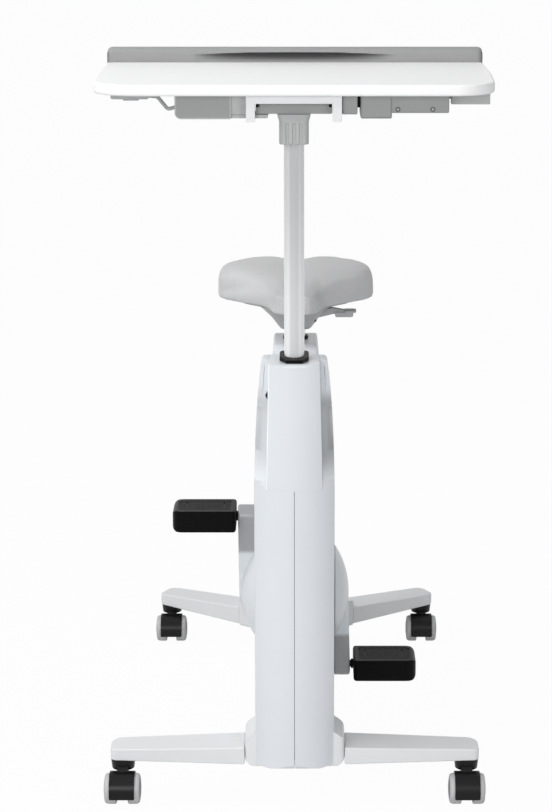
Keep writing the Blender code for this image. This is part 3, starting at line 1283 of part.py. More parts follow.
def build_seat():
    """Seat post with its gas spring, clamp, lever, pan and saddle."""
    slide = pivot("seat_slide", SEAT_TOP)
    sleeve_outer = SEAT_TUBE_RADIUS - TUBE_WALL - GAP
    flange = SEAT_FLANGE_HEIGHT
    bushing = turned("bushing", [
        (0, flange), (SEAT_FLANGE_RADIUS - 0.001, flange), (SEAT_FLANGE_RADIUS, flange - 0.001),
        (SEAT_FLANGE_RADIUS, GAP), (0, GAP),
    ], SEAT_TOP, (0, 0, 1), steps=20)
    join(bushing, rod("sleeve", seat_point(-0.050), seat_point(0.002), sleeve_outer))
    cut(bushing, rod("bore", seat_point(-0.06), seat_point(0.03), SEAT_POST_RADIUS + RUNNING))
    finish(bushing, "seat_bushing", BLACK_PLASTIC, SEAT_TOP)

    post_top = SEAT_POST_LENGTH - SEAT_POST_DEPTH
    post = rod("post", seat_point(-SEAT_POST_DEPTH), seat_point(post_top), SEAT_POST_RADIUS)
    bore_top = SEAT_BORE_LENGTH - SEAT_POST_DEPTH
    cut(post, rod("bore", seat_point(-SEAT_POST_DEPTH - 0.01), seat_point(bore_top), SEAT_BORE_RADIUS))
    finish(post, "seat_post", STEEL, SEAT_TOP, slide)

    cylinder = rod(
        "cylinder", seat_point(GAP - SEAT_TUBE_FLOOR), seat_point(-SEAT_GAS_TOP), GAS_RADIUS, sides=24)
    rod_foot = bore_top - GAP - SEAT_ROD_LENGTH
    cut(cylinder, rod(
        "bore", seat_point(rod_foot - 0.02), seat_point(0.02 - SEAT_GAS_TOP),
        GAS_ROD_RADIUS + RUNNING, sides=20))
    finish(cylinder, "seat_gas_cylinder", DARK_STEEL, SEAT_TOP)
    gas_rod = rod("rod", seat_point(rod_foot), seat_point(bore_top - GAP), GAS_ROD_RADIUS, sides=16)
    finish(gas_rod, "seat_gas_rod", STEEL, SEAT_TOP, slide)

    spread = SEAT_CLAMP_TOP_RADIUS - SEAT_CLAMP_FOOT_RADIUS
    bore = SEAT_POST_RADIUS + GAP
    clamp = turned("clamp", [
        (bore, SEAT_CLAMP_TOP), (SEAT_CLAMP_TOP_RADIUS, SEAT_CLAMP_TOP),
        (SEAT_CLAMP_TOP_RADIUS, SEAT_CLAMP_FOOT + spread),
        (SEAT_CLAMP_FOOT_RADIUS + spread * 0.20, SEAT_CLAMP_FOOT + spread * 0.14),
        (SEAT_CLAMP_FOOT_RADIUS, SEAT_CLAMP_FOOT), (bore, SEAT_CLAMP_FOOT),
    ], SEAT_TOP, SEAT_AXIS, steps=20, ring=True)
    trim(clamp, box("level", (-0.1, 0.1), (0, 0.4), (0.5, SADDLE_BOTTOM - PAN_THICKNESS - GAP)))
    lever_root = seat_point(SEAT_LEVER_ROOT)
    slot_half = SEAT_LEVER_HALF + GAP
    cut(clamp, box(
        "slot", (SEAT_LEVER_SIDE - 0.007, 0.1), (lever_root.y - slot_half, lever_root.y + slot_half),
        (lever_root.z - 0.006, SADDLE_TOP)))
    finish(clamp, "seat_clamp", GREY_CASTING, seat_point(SEAT_CLAMP_FOOT), slide)
    build_seat_lever(lever_root, slide)
    build_saddle(slide)


def build_seat_lever(root, slide):
    """Lever that releases the seat's gas spring: an arm from the clamp to a thin paddle."""
    pin = Vector((SEAT_LEVER_SIDE, root.y, root.z))
    arm = prism("arm", rounded([
        (pin.x - 0.006, pin.z - 0.0045, 0.003), (pin.x + 0.004, pin.z - 0.0045, 0.004),
        (pin.x + 0.0275, pin.z + 0.0178, 0.008), (pin.x + 0.0455, pin.z + 0.0130, 0.002),
        (pin.x + 0.0465, pin.z + 0.0160, 0.002), (pin.x + 0.0265, pin.z + 0.0222, 0.010),
        (pin.x + 0.0010, pin.z + 0.0025, 0.004), (pin.x - 0.006, pin.z + 0.0015, 0.002),
    ]), pin.y - SEAT_LEVER_HALF, pin.y + SEAT_LEVER_HALF, "Y")
    paddle = prism("paddle", rounded([
        (pin.x + 0.0385, pin.y - 0.014, 0.006), (pin.x + 0.0765, pin.y - 0.014, 0.006),
        (pin.x + 0.0765, pin.y + 0.014, 0.006), (pin.x + 0.0385, pin.y + 0.014, 0.006),
    ]), pin.z + 0.0078, pin.z + 0.0158, "Z")
    round_edges(paddle, 0.0015, segments=1)
    join(arm, paddle)
    turn = pivot("seat_lever_axis", pin, slide)
    finish(arm, "seat_lever", GREY_CASTING, pin, turn)


def saddle_half_width(share):
    """Half width of the saddle, from its nose at 0 to its tail at 1."""
    nose = SADDLE_NOSE_WIDTH / 2
    tail = SADDLE_WIDTH / 2
    swell = min(max((share - 0.14) / 0.52, 0.0), 1.0)
    swell = swell * swell * (3 - 2 * swell)
    round_nose = math.sqrt(max(0.0, 1 - max(0.0, (0.16 - share) / 0.16) ** 2))
    round_tail = math.sqrt(max(0.0, 1 - max(0.0, (share - 0.70) / 0.30) ** 2))
    return (nose + (tail - nose) * swell) * (0.55 + 0.45 * round_nose) * (0.50 + 0.50 * round_tail)


def saddle_top(share, across):
    """Height of the saddle's top: two lobes at the tail, a channel along the middle and a low nose."""
    rise = min(max((share - 0.05) / 0.60, 0.0), 1.0)
    rise = rise * rise * (3 - 2 * rise)
    ridge = SADDLE_TOP - SADDLE_NOSE_DROP * (1 - rise)
    channel = SADDLE_CHANNEL * math.exp(-(across / 0.22) ** 2) * (0.35 + 0.65 * rise)
    crown = SADDLE_CROWN * (max(0.0, abs(across) - 0.6) / 0.4) ** 2
    return ridge - channel - crown * (0.45 + 0.55 * rise)


def saddle_solid(name, cuts, low, high, inset):
    """A block of faces between two heights, shaped by the saddle's width."""
    work = bmesh.new()
    bmesh.ops.create_cube(work, size=2.0)
    bmesh.ops.subdivide_edges(work, edges=work.edges, cuts=cuts, use_grid_fill=True)
    crease = work.edges.layers.float.new("crease_edge")
    for edge in work.edges:
        low_rim = all(point.co.z < -0.99 and max(abs(point.co.x), abs(point.co.y)) > 0.99 for point in edge.verts)
        edge[crease] = 0.75 if low_rim else 0.0
    nose = FRONT_Y + SADDLE_NOSE_SETBACK
    for point in work.verts:
        u, v, w = point.co
        u *= 1.30 - 0.30 * u * u
        run = inset + (SADDLE_LENGTH - 2 * inset) * (v + 1) / 2
        share = run / SADDLE_LENGTH
        half = saddle_half_width(share) * SADDLE_CAGE - inset
        point.co.x = u * half * (1 - SADDLE_TUCK * max(w, 0.0) ** 2)
        point.co.y = nose + run
        point.co.z = low + (high(share, u) - low) * (w + 1) / 2
    mesh = bpy.data.meshes.new(name)
    work.to_mesh(mesh)
    work.free()
    return mesh_object(name, mesh)


def build_saddle(slide):
    """Rigid pan and the soft cushion on it."""
    cushion = saddle_solid("cushion", 5, SADDLE_BOTTOM, saddle_top, 0.0)
    smooth = cushion.modifiers.new("smooth", "SUBSURF")
    smooth.levels = 1
    smooth.render_levels = 1
    bake(cushion)
    finish(cushion, "saddle_cushion", GREY_SADDLE, SEAT_TOP, slide, smooth=60)

    def pan_top(share, across):
        return SADDLE_BOTTOM - GAP

    pan = saddle_solid("pan", 3, SADDLE_BOTTOM - PAN_THICKNESS, pan_top, PAN_INSET)
    finish(pan, "saddle_pan", GREY_CASTING, SEAT_TOP, slide)


# Desk post and desktop

def build_desk_post():
    """Bushing, post, gas spring and the ribbed collar that carries the slide."""
    slide = pivot("desk_slide", (0, POST_Y, COLUMN_TOP))
    centre = Vector((0, POST_Y, 0))
    half = BUSHING_HALF
    corner = 0.010
    foot = COLUMN_TOP + GAP
    front = POST_Y - BUSHING_AHEAD
    back = POST_Y + half
    nose = half * 0.54
    bushing = prism("bushing", rounded([
        (-nose, front, 0.003), (nose, front, 0.003), (half, POST_Y - half * 0.45, 0.006),
        (half, back, corner), (-half, back, corner), (-half, POST_Y - half * 0.45, 0.006),
    ], step=math.radians(30)), foot, foot + BUSHING_BACK_HEIGHT, "Z")

    def slant(work):
        for point in work.verts:
            if point.co.z > foot + 0.001:
                share = (back - point.co.y) / (back - front)
                point.co.z -= (BUSHING_BACK_HEIGHT - BUSHING_FRONT_HEIGHT) * share

    edit(bushing, slant)
    round_edges(bushing, 0.002, segments=1, angle=60)
    sleeve_radius = DESK_TUBE_RADIUS - TUBE_WALL - GAP
    join(bushing, rod("sleeve", centre + Vector((0, 0, foot - BUSHING_SLEEVE)),
                      centre + Vector((0, 0, foot + 0.004)), sleeve_radius))
    cut(bushing, rod("bore", centre, centre + Vector((0, 0, 1)), POST_RADIUS + RUNNING))
    finish(bushing, "desk_bushing", BLACK_PLASTIC, (0, POST_Y, COLUMN_TOP))

    post_top = COLLAR_TOP - 0.004
    post = rod("post", centre + Vector((0, 0, POST_FOOT)), centre + Vector((0, 0, post_top)), POST_RADIUS, sides=28)
    cut(post, rod("bore", centre + Vector((0, 0, POST_FOOT - 0.01)),
                  centre + Vector((0, 0, POST_BORE_TOP)), POST_BORE_RADIUS))
    finish(post, "desk_post", WHITE_PAINT, (0, POST_Y, COLUMN_TOP), slide)

    floor = BEAM_TOP + 0.006 + GAP
    cylinder = rod("cylinder", centre + Vector((0, 0, floor)), centre + Vector((0, 0, DESK_GAS_TOP)),
                   GAS_RADIUS, sides=24)
    cut(cylinder, rod("bore", centre + Vector((0, 0, floor + 0.006)), centre + Vector((0, 0, DESK_GAS_TOP + 0.01)),
                      GAS_ROD_RADIUS + RUNNING, sides=20))
    finish(cylinder, "desk_gas_cylinder", DARK_STEEL, (0, POST_Y, BEAM_TOP))
    gas_rod = rod("rod", centre + Vector((0, 0, DESK_ROD_FOOT)), centre + Vector((0, 0, POST_BORE_TOP - GAP)),
                  GAS_ROD_RADIUS, sides=16)
    finish(gas_rod, "desk_gas_rod", STEEL, (0, POST_Y, POST_BORE_TOP), slide)

    collar_corner = 0.009
    outline = rounded([
        (-COLLAR_HALF, POST_Y - COLLAR_HALF, collar_corner), (COLLAR_HALF, POST_Y - COLLAR_HALF, collar_corner),
        (COLLAR_HALF, POST_Y + COLLAR_HALF, collar_corner), (-COLLAR_HALF, POST_Y + COLLAR_HALF, collar_corner),
    ], step=math.radians(22.5))
    collar = prism("collar", outline, COLLAR_FOOT, COLLAR_TOP, "Z")
    flare_foot = COLLAR_TOP - 0.012

    def flare(work):
        everything = list(work.verts) + list(work.edges) + list(work.faces)
        bmesh.ops.bisect_plane(
            work, geom=everything, dist=0.000001, plane_co=(0, 0, flare_foot), plane_no=(0, 0, 1))
        for point in work.verts:
            if point.co.z > flare_foot + 0.001:
                point.co.x *= 1.14
                point.co.y = POST_Y + (point.co.y - POST_Y) * 1.14

    edit(collar, flare)
    round_edges(collar, 0.0016, segments=1, angle=60)
    rib_pitch = 0.0105
    for k in (-1, 0, 1):
        spot = k * rib_pitch
        for x, y in ((spot, POST_Y - COLLAR_HALF - 0.0012), (spot, POST_Y + COLLAR_HALF + 0.0012),
                     (-COLLAR_HALF - 0.0012, POST_Y + spot), (COLLAR_HALF + 0.0012, POST_Y + spot)):
            cut(collar, rod("flute", (x, y, COLLAR_FOOT - 0.01), (x, y, flare_foot - 0.002), 0.0030, sides=6))
    cut(collar, rod("bore", centre + Vector((0, 0, COLLAR_FOOT - 0.01)),
                    centre + Vector((0, 0, post_top + GAP)), POST_RADIUS + GAP))
    finish(collar, "desk_collar", GREY_CASTING, (0, POST_Y, COLLAR_TOP), slide)


def build_slide(desk_slide):
    """Housing on the collar, and what slides on it: rails, bracket, boxes, levers and desktop."""
    across = pivot("desktop_slide", (0, POST_Y, HOUSING_TOP), desk_slide)
    front = FRONT_Y + HOUSING_SETBACK
    back = front + HOUSING_LENGTH
    half = HOUSING_HALF
    inner = half - GROOVE_WIDTH
    housing = prism("housing", rounded([
        (-half, COLLAR_TOP + GAP, 0.003), (half, COLLAR_TOP + GAP, 0.003),
        (half, HOUSING_TOP - GROOVE_DEPTH, 0.0), (inner, HOUSING_TOP - GROOVE_DEPTH, 0.0),
        (inner, HOUSING_TOP, 0.001), (-inner, HOUSING_TOP, 0.001),
        (-inner, HOUSING_TOP - GROOVE_DEPTH, 0.0), (-half, HOUSING_TOP - GROOVE_DEPTH, 0.0),
    ]), front, back, "Y")
    finish(housing, "slide_housing", GREY_CASTING, (0, POST_Y, HOUSING_TOP), desk_slide)

    leg_inner = half + RUNNING
    leg_outer = leg_inner + BRACKET_LEG
    bar_bottom = DESK_BOTTOM - GAP - CROSSBAR
    drop = DESK_BOTTOM - BRACKET_DROP
    bracket_front = FRONT_Y + U_BRACKET_SETBACK
    bracket = prism("bracket", rounded([
        (-leg_outer, drop, 0.002), (-leg_inner, drop, 0.002), (-leg_inner, bar_bottom, 0.0),
        (leg_inner, bar_bottom, 0.0), (leg_inner, drop, 0.002), (leg_outer, drop, 0.002),
        (leg_outer, DESK_BOTTOM - GAP, 0.001), (-leg_outer, DESK_BOTTOM - GAP, 0.001),
    ]), bracket_front, bracket_front + U_BRACKET_DEPTH, "Y")
    round_edges(bracket, 0.0008, segments=1, angle=60)
    finish(bracket, "u_bracket", WHITE_PAINT, (0, bracket_front, DESK_BOTTOM), across)

    rail_front = bracket_front + U_BRACKET_DEPTH + GAP
    web = 0.0022
    for side, name in ((-1, "left"), (1, "right")):
        near = inner + RUNNING
        far = half - RUNNING
        corners = [
            (near, HOUSING_TOP - GROOVE_DEPTH + RUNNING), (far, HOUSING_TOP - GROOVE_DEPTH + RUNNING),
            (far, HOUSING_TOP - 0.0020), (near + web, HOUSING_TOP - 0.0020),
            (near + web, DESK_BOTTOM - GAP - 0.003), (far + 0.008, DESK_BOTTOM - GAP - 0.003),
            (far + 0.008, DESK_BOTTOM - GAP), (near, DESK_BOTTOM - GAP),
        ]
        outline = [(side * x, z) for x, z in corners]
        if side < 0:
            outline.reverse()
        rail = prism("rail", outline, rail_front, back, "Y")
        finish(rail, "slide_rail_" + name, STEEL, (side * near, POST_Y, HOUSING_TOP), across)

    build_boxes(across, leg_outer)
    build_desk_levers(across)

    desk_front = FRONT_Y + DESK_FRONT
    front_half = DESK_HALF - DESK_TAPER
    board = prism("board", rounded([
        (-front_half, desk_front, DESK_CORNER), (front_half, desk_front, DESK_CORNER),
        (DESK_HALF, desk_front + DESK_TAPER_RUN, 0.500),
        (DESK_HALF, desk_front + DESK_DEPTH, 0.004), (-DESK_HALF, desk_front + DESK_DEPTH, 0.004),
        (-DESK_HALF, desk_front + DESK_TAPER_RUN, 0.500),
    ], step=math.radians(11.25)), DESK_BOTTOM, DESK_TOP, "Z")
    round_edges(board, 0.0060, segments=2, angle=50)
    finish(board, "desktop", DESK_WHITE, (0, POST_Y, DESK_BOTTOM), across)

    pad_front = FRONT_Y + DESK_FRONT + DESK_DEPTH + GAP
    pad_top = DESK_TOP + PAD_RISE
    pad_back = pad_front + PAD_DEPTH
    pad = prism("pad", rounded([
        (pad_front, DESK_BOTTOM, 0.003), (pad_back, DESK_BOTTOM, 0.010), (pad_back, DESK_TOP + 0.010, 0.022),
        (pad_front + 0.010, pad_top, 0.012), (pad_front, pad_top - 0.006, 0.006),
    ]), -PAD_HALF, PAD_HALF, "X")
    round_edges(pad, 0.0055, segments=2, angle=60)
    finish(pad, "wrist_rest", GREY_PAD, (0, pad_front, DESK_TOP), across)


def build_boxes(across, bracket_side):
    """The boxes under the desktop that hold the ends of the levers."""
    top = DESK_BOTTOM - GAP
    front = FRONT_Y + BOX_SETBACK
    back = front + BOX_DEPTH
    low = DESK_BOTTOM - LEFT_BOX_DROP
    left = prism("left box", rounded([
        (LEFT_BOX_FAR, low, 0.010), (LEFT_BOX_NEAR, low, 0.003), (LEFT_BOX_NEAR, top, 0.001),
        (LEFT_BOX_FAR, top, 0.001),
    ]), front, back, "Y")
    round_edges(left, 0.0016, segments=1, angle=60)
    behind_bracket = FRONT_Y + U_BRACKET_SETBACK + U_BRACKET_DEPTH + 0.002
    neck_low = COLLAR_TOP + GAP - 0.0004
    neck = box("neck", (LEFT_BOX_NEAR - 0.003, -bracket_side - GAP), (behind_bracket, back - 0.010),
               (neck_low, top - 0.0006))
    flange = prism("flange", rounded([
        (LEFT_BOX_NEAR - 0.004, low + 0.0008, 0), (FLANGE_END, low + 0.0008, 0.003),
        (FLANGE_END, neck_low - 0.0006, 0.001), (LEFT_BOX_NEAR - 0.004, neck_low - 0.0006, 0),
    ]), behind_bracket + 0.002, back - 0.014, "Y")
    web = box("web", (LEFT_BOX_NEAR - 0.003, -bracket_side - 0.004), (behind_bracket + 0.004, back - 0.016),
              (low + 0.002, neck_low + 0.003))
    join(left, neck, flange, web)
    finish(left, "left_box", GREY_CASTING, (LEFT_BOX_FAR, front, top), across)

    low = DESK_BOTTOM - RIGHT_INNER_DROP
    inner = box("inner", (bracket_side + GAP, RIGHT_INNER_FAR), (front + 0.002, back - 0.010), (low, top))
    round_edges(inner, 0.002, segments=1, angle=60)
    link = box("link", (RIGHT_INNER_FAR - 0.004, RIGHT_MIDDLE_NEAR - GAP), (front + 0.010, back - 0.020),
               (low + 0.010, top - 0.002))
    join(inner, link)
    finish(inner, "right_inner_box", GREY_CASTING, (bracket_side, front, top), across)

    low = DESK_BOTTOM - RIGHT_MIDDLE_DROP
    middle = box("middle", (RIGHT_MIDDLE_NEAR, RIGHT_MIDDLE_FAR), (front, back), (low, top))
    round_edges(middle, 0.0025, segments=1, angle=60)
    outer_low = DESK_BOTTOM - RIGHT_OUTER_DROP
    outer = box("outer", (RIGHT_MIDDLE_FAR - 0.005, RIGHT_OUTER_FAR), (front + 0.003, back - 0.006),
                (outer_low, top - 0.0004))
    round_edges(outer, 0.0025, segments=1, angle=60)
    join(middle, outer)
    screw_line = outer_low + 0.0045
    for x in (RIGHT_MIDDLE_FAR + 0.0095, RIGHT_OUTER_FAR - 0.0225):
        join(middle, rod("screw", (x, front + 0.006, screw_line), (x, front - 0.0005, screw_line), 0.0036,
                         0.0026, sides=12))
    finish(middle, "right_outer_box", GREY_CASTING, (RIGHT_MIDDLE_NEAR, front, top), across)


def build_desk_levers(across):
    """Height lever on a bent rod at the left, and the slide lock's wing lever at the right."""
    y = FRONT_Y + LEVER_SETBACK
    axis = HEIGHT_LEVER_AXIS
    high = axis + HEIGHT_LEVER_RISE
    bend = LEFT_BOX_FAR - 0.008
    top_bend = bend - HEIGHT_LEVER_RUN
    lever = rod(
        "lever rod", (LEFT_BOX_FAR - GAP, y, axis), (HEIGHT_PADDLE_NEAR - 0.012, y, axis),
        LEVER_ROD_RADIUS, sides=10)

    def bend_up(work):
        for level in (bend, top_bend):
            everything = list(work.verts) + list(work.edges) + list(work.faces)
            bmesh.ops.bisect_plane(
                work, geom=everything, dist=0.000001, plane_co=(level, 0, 0), plane_no=(1, 0, 0))
        for point in work.verts:
            share = (bend - point.co.x) / (bend - top_bend)
            point.co.z += HEIGHT_LEVER_RISE * min(max(share, 0.0), 1.0)

    edit(lever, bend_up)
    paddle = prism("paddle", rounded([
        (HEIGHT_PADDLE_FAR, high - 0.0060, 0.003), (HEIGHT_PADDLE_NEAR, high - 0.0060, 0.003),
        (HEIGHT_PADDLE_NEAR, high + 0.0050, 0.003), (HEIGHT_PADDLE_FAR, high + 0.0050, 0.003),
    ]), y - 0.010, y + 0.010, "Y")
    boss = prism("boss", rounded([
        (HEIGHT_PADDLE_FAR + 0.019, high - 0.0080, 0.002), (HEIGHT_PADDLE_NEAR - 0.015, high - 0.0080, 0.002),
        (HEIGHT_PADDLE_NEAR - 0.015, high - 0.0020, 0.0), (HEIGHT_PADDLE_FAR + 0.019, high - 0.0020, 0.0),
    ]), y - 0.008, y + 0.008, "Y")
    join(lever, paddle, boss)
    pin = Vector((LEFT_BOX_FAR, y, axis))
    finish(lever, "height_lever", GREY_CASTING, pin, pivot("height_lever_axis", pin, across))

    pin = Vector((RIGHT_OUTER_FAR, y, SLIDE_LEVER_AXIS))
    wing = prism("wing", rounded([
        (SLIDE_LEVER_NEAR, -0.0110, 0.002), (SLIDE_LEVER_FAR, -0.0110, 0.002),
        (SLIDE_LEVER_FAR, 0.0080, 0.003), (SLIDE_LEVER_FAR - 0.030, 0.0050, 0.020),
        (SLIDE_LEVER_NEAR, 0.0040, 0.002),
    ]), y - 0.008, y + 0.008, "Y")
    wing.data.transform(Matrix.Translation((0, 0, SLIDE_LEVER_AXIS)))
    round_edges(wing, 0.0012, segments=1, angle=60)
    join(wing, rod("shaft", (RIGHT_OUTER_FAR + GAP, y, SLIDE_LEVER_AXIS),
                   (SLIDE_LEVER_NEAR + 0.006, y, SLIDE_LEVER_AXIS), LEVER_ROD_RADIUS, sides=10))
    finish(wing, "slide_lever", GREY_CASTING, pin, pivot("slide_lever_axis", pin, across))


def build():
    build_frame()
    build_feet()
    build_casters()
    build_body(body_solid("outside", 0.0))
    build_knob()
    build_drive()
    build_cranks()
    build_seat()
    build_desk_post()
    build_slide(bpy.data.objects["desk_slide"])


build()
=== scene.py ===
"""Looks of the desk exercise bike: finer pieces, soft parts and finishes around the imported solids.

Units are metres and +Z is up. The desktop end faces -Y, and the rider sits at the +Y end. Left is -X,
as seen from the desktop end. The sizes repeat those of the solids, so every piece lies where its node does.
"""
import math

import bmesh
import bpy
from mathutils import Matrix, Vector
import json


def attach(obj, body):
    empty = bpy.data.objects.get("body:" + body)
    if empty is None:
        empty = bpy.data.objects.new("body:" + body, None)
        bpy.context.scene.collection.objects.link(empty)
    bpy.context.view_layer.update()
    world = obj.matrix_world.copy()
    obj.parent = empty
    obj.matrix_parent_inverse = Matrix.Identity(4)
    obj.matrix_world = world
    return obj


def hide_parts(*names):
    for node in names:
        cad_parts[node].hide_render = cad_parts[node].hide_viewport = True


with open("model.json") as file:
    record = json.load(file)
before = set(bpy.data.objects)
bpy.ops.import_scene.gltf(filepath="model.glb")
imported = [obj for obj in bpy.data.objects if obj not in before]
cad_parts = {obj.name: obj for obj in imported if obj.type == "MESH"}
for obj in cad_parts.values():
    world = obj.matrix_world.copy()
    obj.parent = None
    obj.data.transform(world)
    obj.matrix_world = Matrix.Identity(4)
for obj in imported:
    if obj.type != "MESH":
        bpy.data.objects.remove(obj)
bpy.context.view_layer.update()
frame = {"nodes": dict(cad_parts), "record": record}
RECORD = frame["record"]
BODY_OF = {node: body for body, nodes in RECORD["behaviour"]["bodies"].items() for node in nodes}
SLOT_OF = {row["node"]: row["material_slot"] for row in RECORD["subparts"]}

# Camera and light
CAMERA_PLACE = (0.0159, -3.9125, 1.526)
CAMERA_DOWN = 13.6              # degrees below the horizon
CAMERA_LENS = 100.77
CAMERA_SHIFT = -0.03485
SENSOR_WIDTH = 36
LIT_POINT = Vector((0, 0, 0.7))
SKY_LEFT = 0.48                 # light from the left of the studio
SKY_RIGHT = 0.28
SKY_COLOUR = (0.97, 0.985, 1.0, 1)
WHITE = (1, 1, 1, 1)
FLOOR_COLOUR = (0.62, 0.62, 0.625, 1)
FLOOR_ROUGHNESS = 0.9
FLOOR_GLOW = 0.97               # share of its own light that makes the floor white
FLOOR_REACH = 30.0
FLOOR_DROP = 0.0002             # floor under the tyres
LAMPS = (                       # name, place, width, share of full light
    ("key", (-2.4, -0.45, 4.15), 1.8, 0.33),
    ("left", (-2.2, -2.30, 3.40), 1.8, 0.20),
    ("fill", (-0.75, -4.30, 1.75), 1.6, 0.24),
    ("right", (1.9, -3.90, 1.50), 1.6, 0.15),
)

# Colours, linear
SHELL_COLOUR = (0.735, 0.765, 0.795)
PAINT_COLOUR = (0.765, 0.775, 0.785)
DESK_COLOUR = (0.935, 0.935, 0.935)
PAD_COLOUR = (0.345, 0.345, 0.347)
CASTING_COLOUR = (0.420, 0.430, 0.428)
BOX_COLOUR = (0.280, 0.290, 0.287)
SADDLE_COLOUR = (0.655, 0.655, 0.658)
TYRE_COLOUR = (0.520, 0.520, 0.523)
# paler colour of the panel's left edge: a painted highlight
EDGE_HIGHLIGHT_COLOUR = (0.960, 0.965, 0.970)
HUB_COLOUR = (0.090, 0.092, 0.096)
POST_COLOUR = (0.470, 0.474, 0.478)
POST_FLANK_REFLECTION = 1.38               # painted reflection on the post's flanks, painted light at its foot and painted shade at its head, against its colour
POST_FOOT_LIGHT = 1.26
POST_HEAD_SHADE = 0.90
CRANK_COLOUR = (0.365, 0.370, 0.375)
SCOOP_SHADE_TONE = 0.56               # painted shade of the shells deep in the scoops
# back of the painted shade in the scoops
SCOOP_SHADE_BACK = -0.352
BLACK_COLOUR = (0.0035, 0.0036, 0.0040)
SATIN_BLACK_COLOUR = (0.0065, 0.0067, 0.0072)
TREAD_COLOUR = (0.0050, 0.0052, 0.0058)
BELT_COLOUR = (0.02, 0.02, 0.021)
STEEL_COLOUR = (0.55, 0.56, 0.58)
DARK_STEEL_COLOUR = (0.10, 0.10, 0.11)

# Fits and fineness
GAP = 0.0003                    # between pieces that touch
RUNNING = 0.0005                # between pieces that slide or turn on each other
ARC_STEP = math.radians(7.5)    # angle between the points of a rounded corner
MERGE = 0.00001                 # points closer than this are one
LEVEL_SHARES = [0.08 * k for k in range(2, 13)]     # levels that let the shoulders taper in a curve

# Wheelbase and casters
WHEELBASE = 0.805
FRONT_Y = -WHEELBASE / 2        # front caster axles
REAR_Y = WHEELBASE / 2          # rear caster axles
WHEEL_RADIUS = 0.0255
WHEELSET_WIDTH = 0.060
HUB_RADIUS = 0.0183
WHEEL_AXLE_RADIUS = 0.004
WHEEL_FACE_INSET = 0.0008       # wheels' outer faces inside the wheelset's width
CASTER_WEB = 0.018              # leg of the yoke between the two wheels
CASTER_TRAIL = 0.025            # stem behind the wheel axle
HOOD_WIDTH = 0.0415
HOOD_CORNER = 0.003
HOOD_LOW_ANGLE = math.radians(-20)
HOOD_HIGH_ANGLE = math.radians(150)
HUB_BULGE = 0.0015              # hub discs proud of the tyres' sides
HOOD_WALL = 0.0024
NECK_RADIUS = 0.0200
NECK_HEIGHT = 0.0180
STEM_RADIUS = 0.0055
STEM_DEPTH = 0.017              # stem inside the leg
CASTER_HEIGHT = 0.0720          # floor to the top of the caster's neck
FRONT_STEM_INSET = 0.020        # front caster stem inside the leg's tip
REAR_TRACK = 0.498              # between the rear caster stems

# Feet
FRONT_LEG_REACH = 0.305         # middle of the bike to the leg's tip
LEG_FRONT_SETBACK = 0.005       # leg's front edge behind the front caster axles
FRONT_LEG_ROOT_DEPTH = 0.070
FRONT_LEG_TIP_DEPTH = 0.054
FRONT_LEG_ROOT_HEIGHT = 0.0298
FRONT_LEG_TIP_HEIGHT = 0.0198
LEG_EDGE = 0.0024
LEG_ROOT_RISE = 0.0011          # underside of a leg's root above its bracket's
BRACKET_HALF = 0.0825
BRACKET_DEPTH = 0.078
BRACKET_BOTTOM = 0.064
BRACKET_TOP = 0.1245
BRACKET_SLOPE_RUN = 0.019       # slanted shoulder at each end of the bracket
BRACKET_SLOPE_DROP = 0.0135
BRACKET_AHEAD = 0.003           # bracket's front ahead of the legs'
BRACKET_CORNER = 0.010
REAR_BRACKET_MARGIN = 0.002     # bracket's slanted end past the leg's root, on each side
REAR_BRACKET_AHEAD = 0.022
REAR_BRACKET_BEHIND = 0.006
REAR_BRACKET_RUN = 0.030
REAR_LEG_ANGLE = math.radians(27.6)
REAR_LEG_ROOT = 0.098           # root of the leg, out from the middle
REAR_LEG_TIP_OVERHANG = 0.0150  # past the caster stem
REAR_LEG_ROOT_DEPTH = 0.060
REAR_LEG_TIP_DEPTH = 0.050
REAR_LEG_ROOT_HEIGHT = 0.0345
REAR_LEG_TIP_HEIGHT = 0.0219
REAR_LEG_ROOT_RISE = 0.002      # underside of a leg's root above its bracket's
REAR_BRACKET_BOTTOM = 0.060
REAR_BRACKET_TOP = 0.112

# Steel frame
BEAM_WIDTH = 0.050
BEAM_BOTTOM = 0.080
BEAM_TOP = 0.116
TUBE_WALL = 0.0025
DESK_TUBE_RADIUS = 0.0225
SEAT_TUBE_RADIUS = 0.0245

# Front and rear columns
POST_SETBACK = 0.0125           # desk post axis behind the front caster axles
BODY_HALF = 0.0648
WALL = 0.0025
BODY_BOTTOM = 0.0685
BODY_FRONT = -0.030             # front face ahead of the front caster axles
COLUMN_DEPTH = 0.135
COLUMN_TOP = 0.7495
BODY_TAIL = 0.790               # from the front caster axles to the tail's end
TAIL_TOP = 0.128
SADDLE_OF_BODY = 0.385          # lowest point between the two columns
BODY_EDGE = 0.006
FRONT_FACE_RADIUS = 0.080
FRONT_CORNER_RADIUS = 0.012
SHOULDER_START = 0.500
SHOULDER_BEND = 2.6             # how late the front column narrows
SHOULDER_HALF = 0.0517          # half width at the top of the front column
CAVITY_HALF = 0.036             # half width of the cavity behind the front cover
CAVITY_RUN = 0.045              # stretch under the cover in which the cavity narrows
SEAT_LEAN = math.radians(10)
SEAT_SETBACK = 0.575            # seat post axis at the rear column's top
REAR_COLUMN_TOP = 0.6665
REAR_COLUMN_DEPTH = 0.118
REAR_COLUMN_TOP_HALF = 0.0395
REAR_CAP_HEIGHT = 0.045

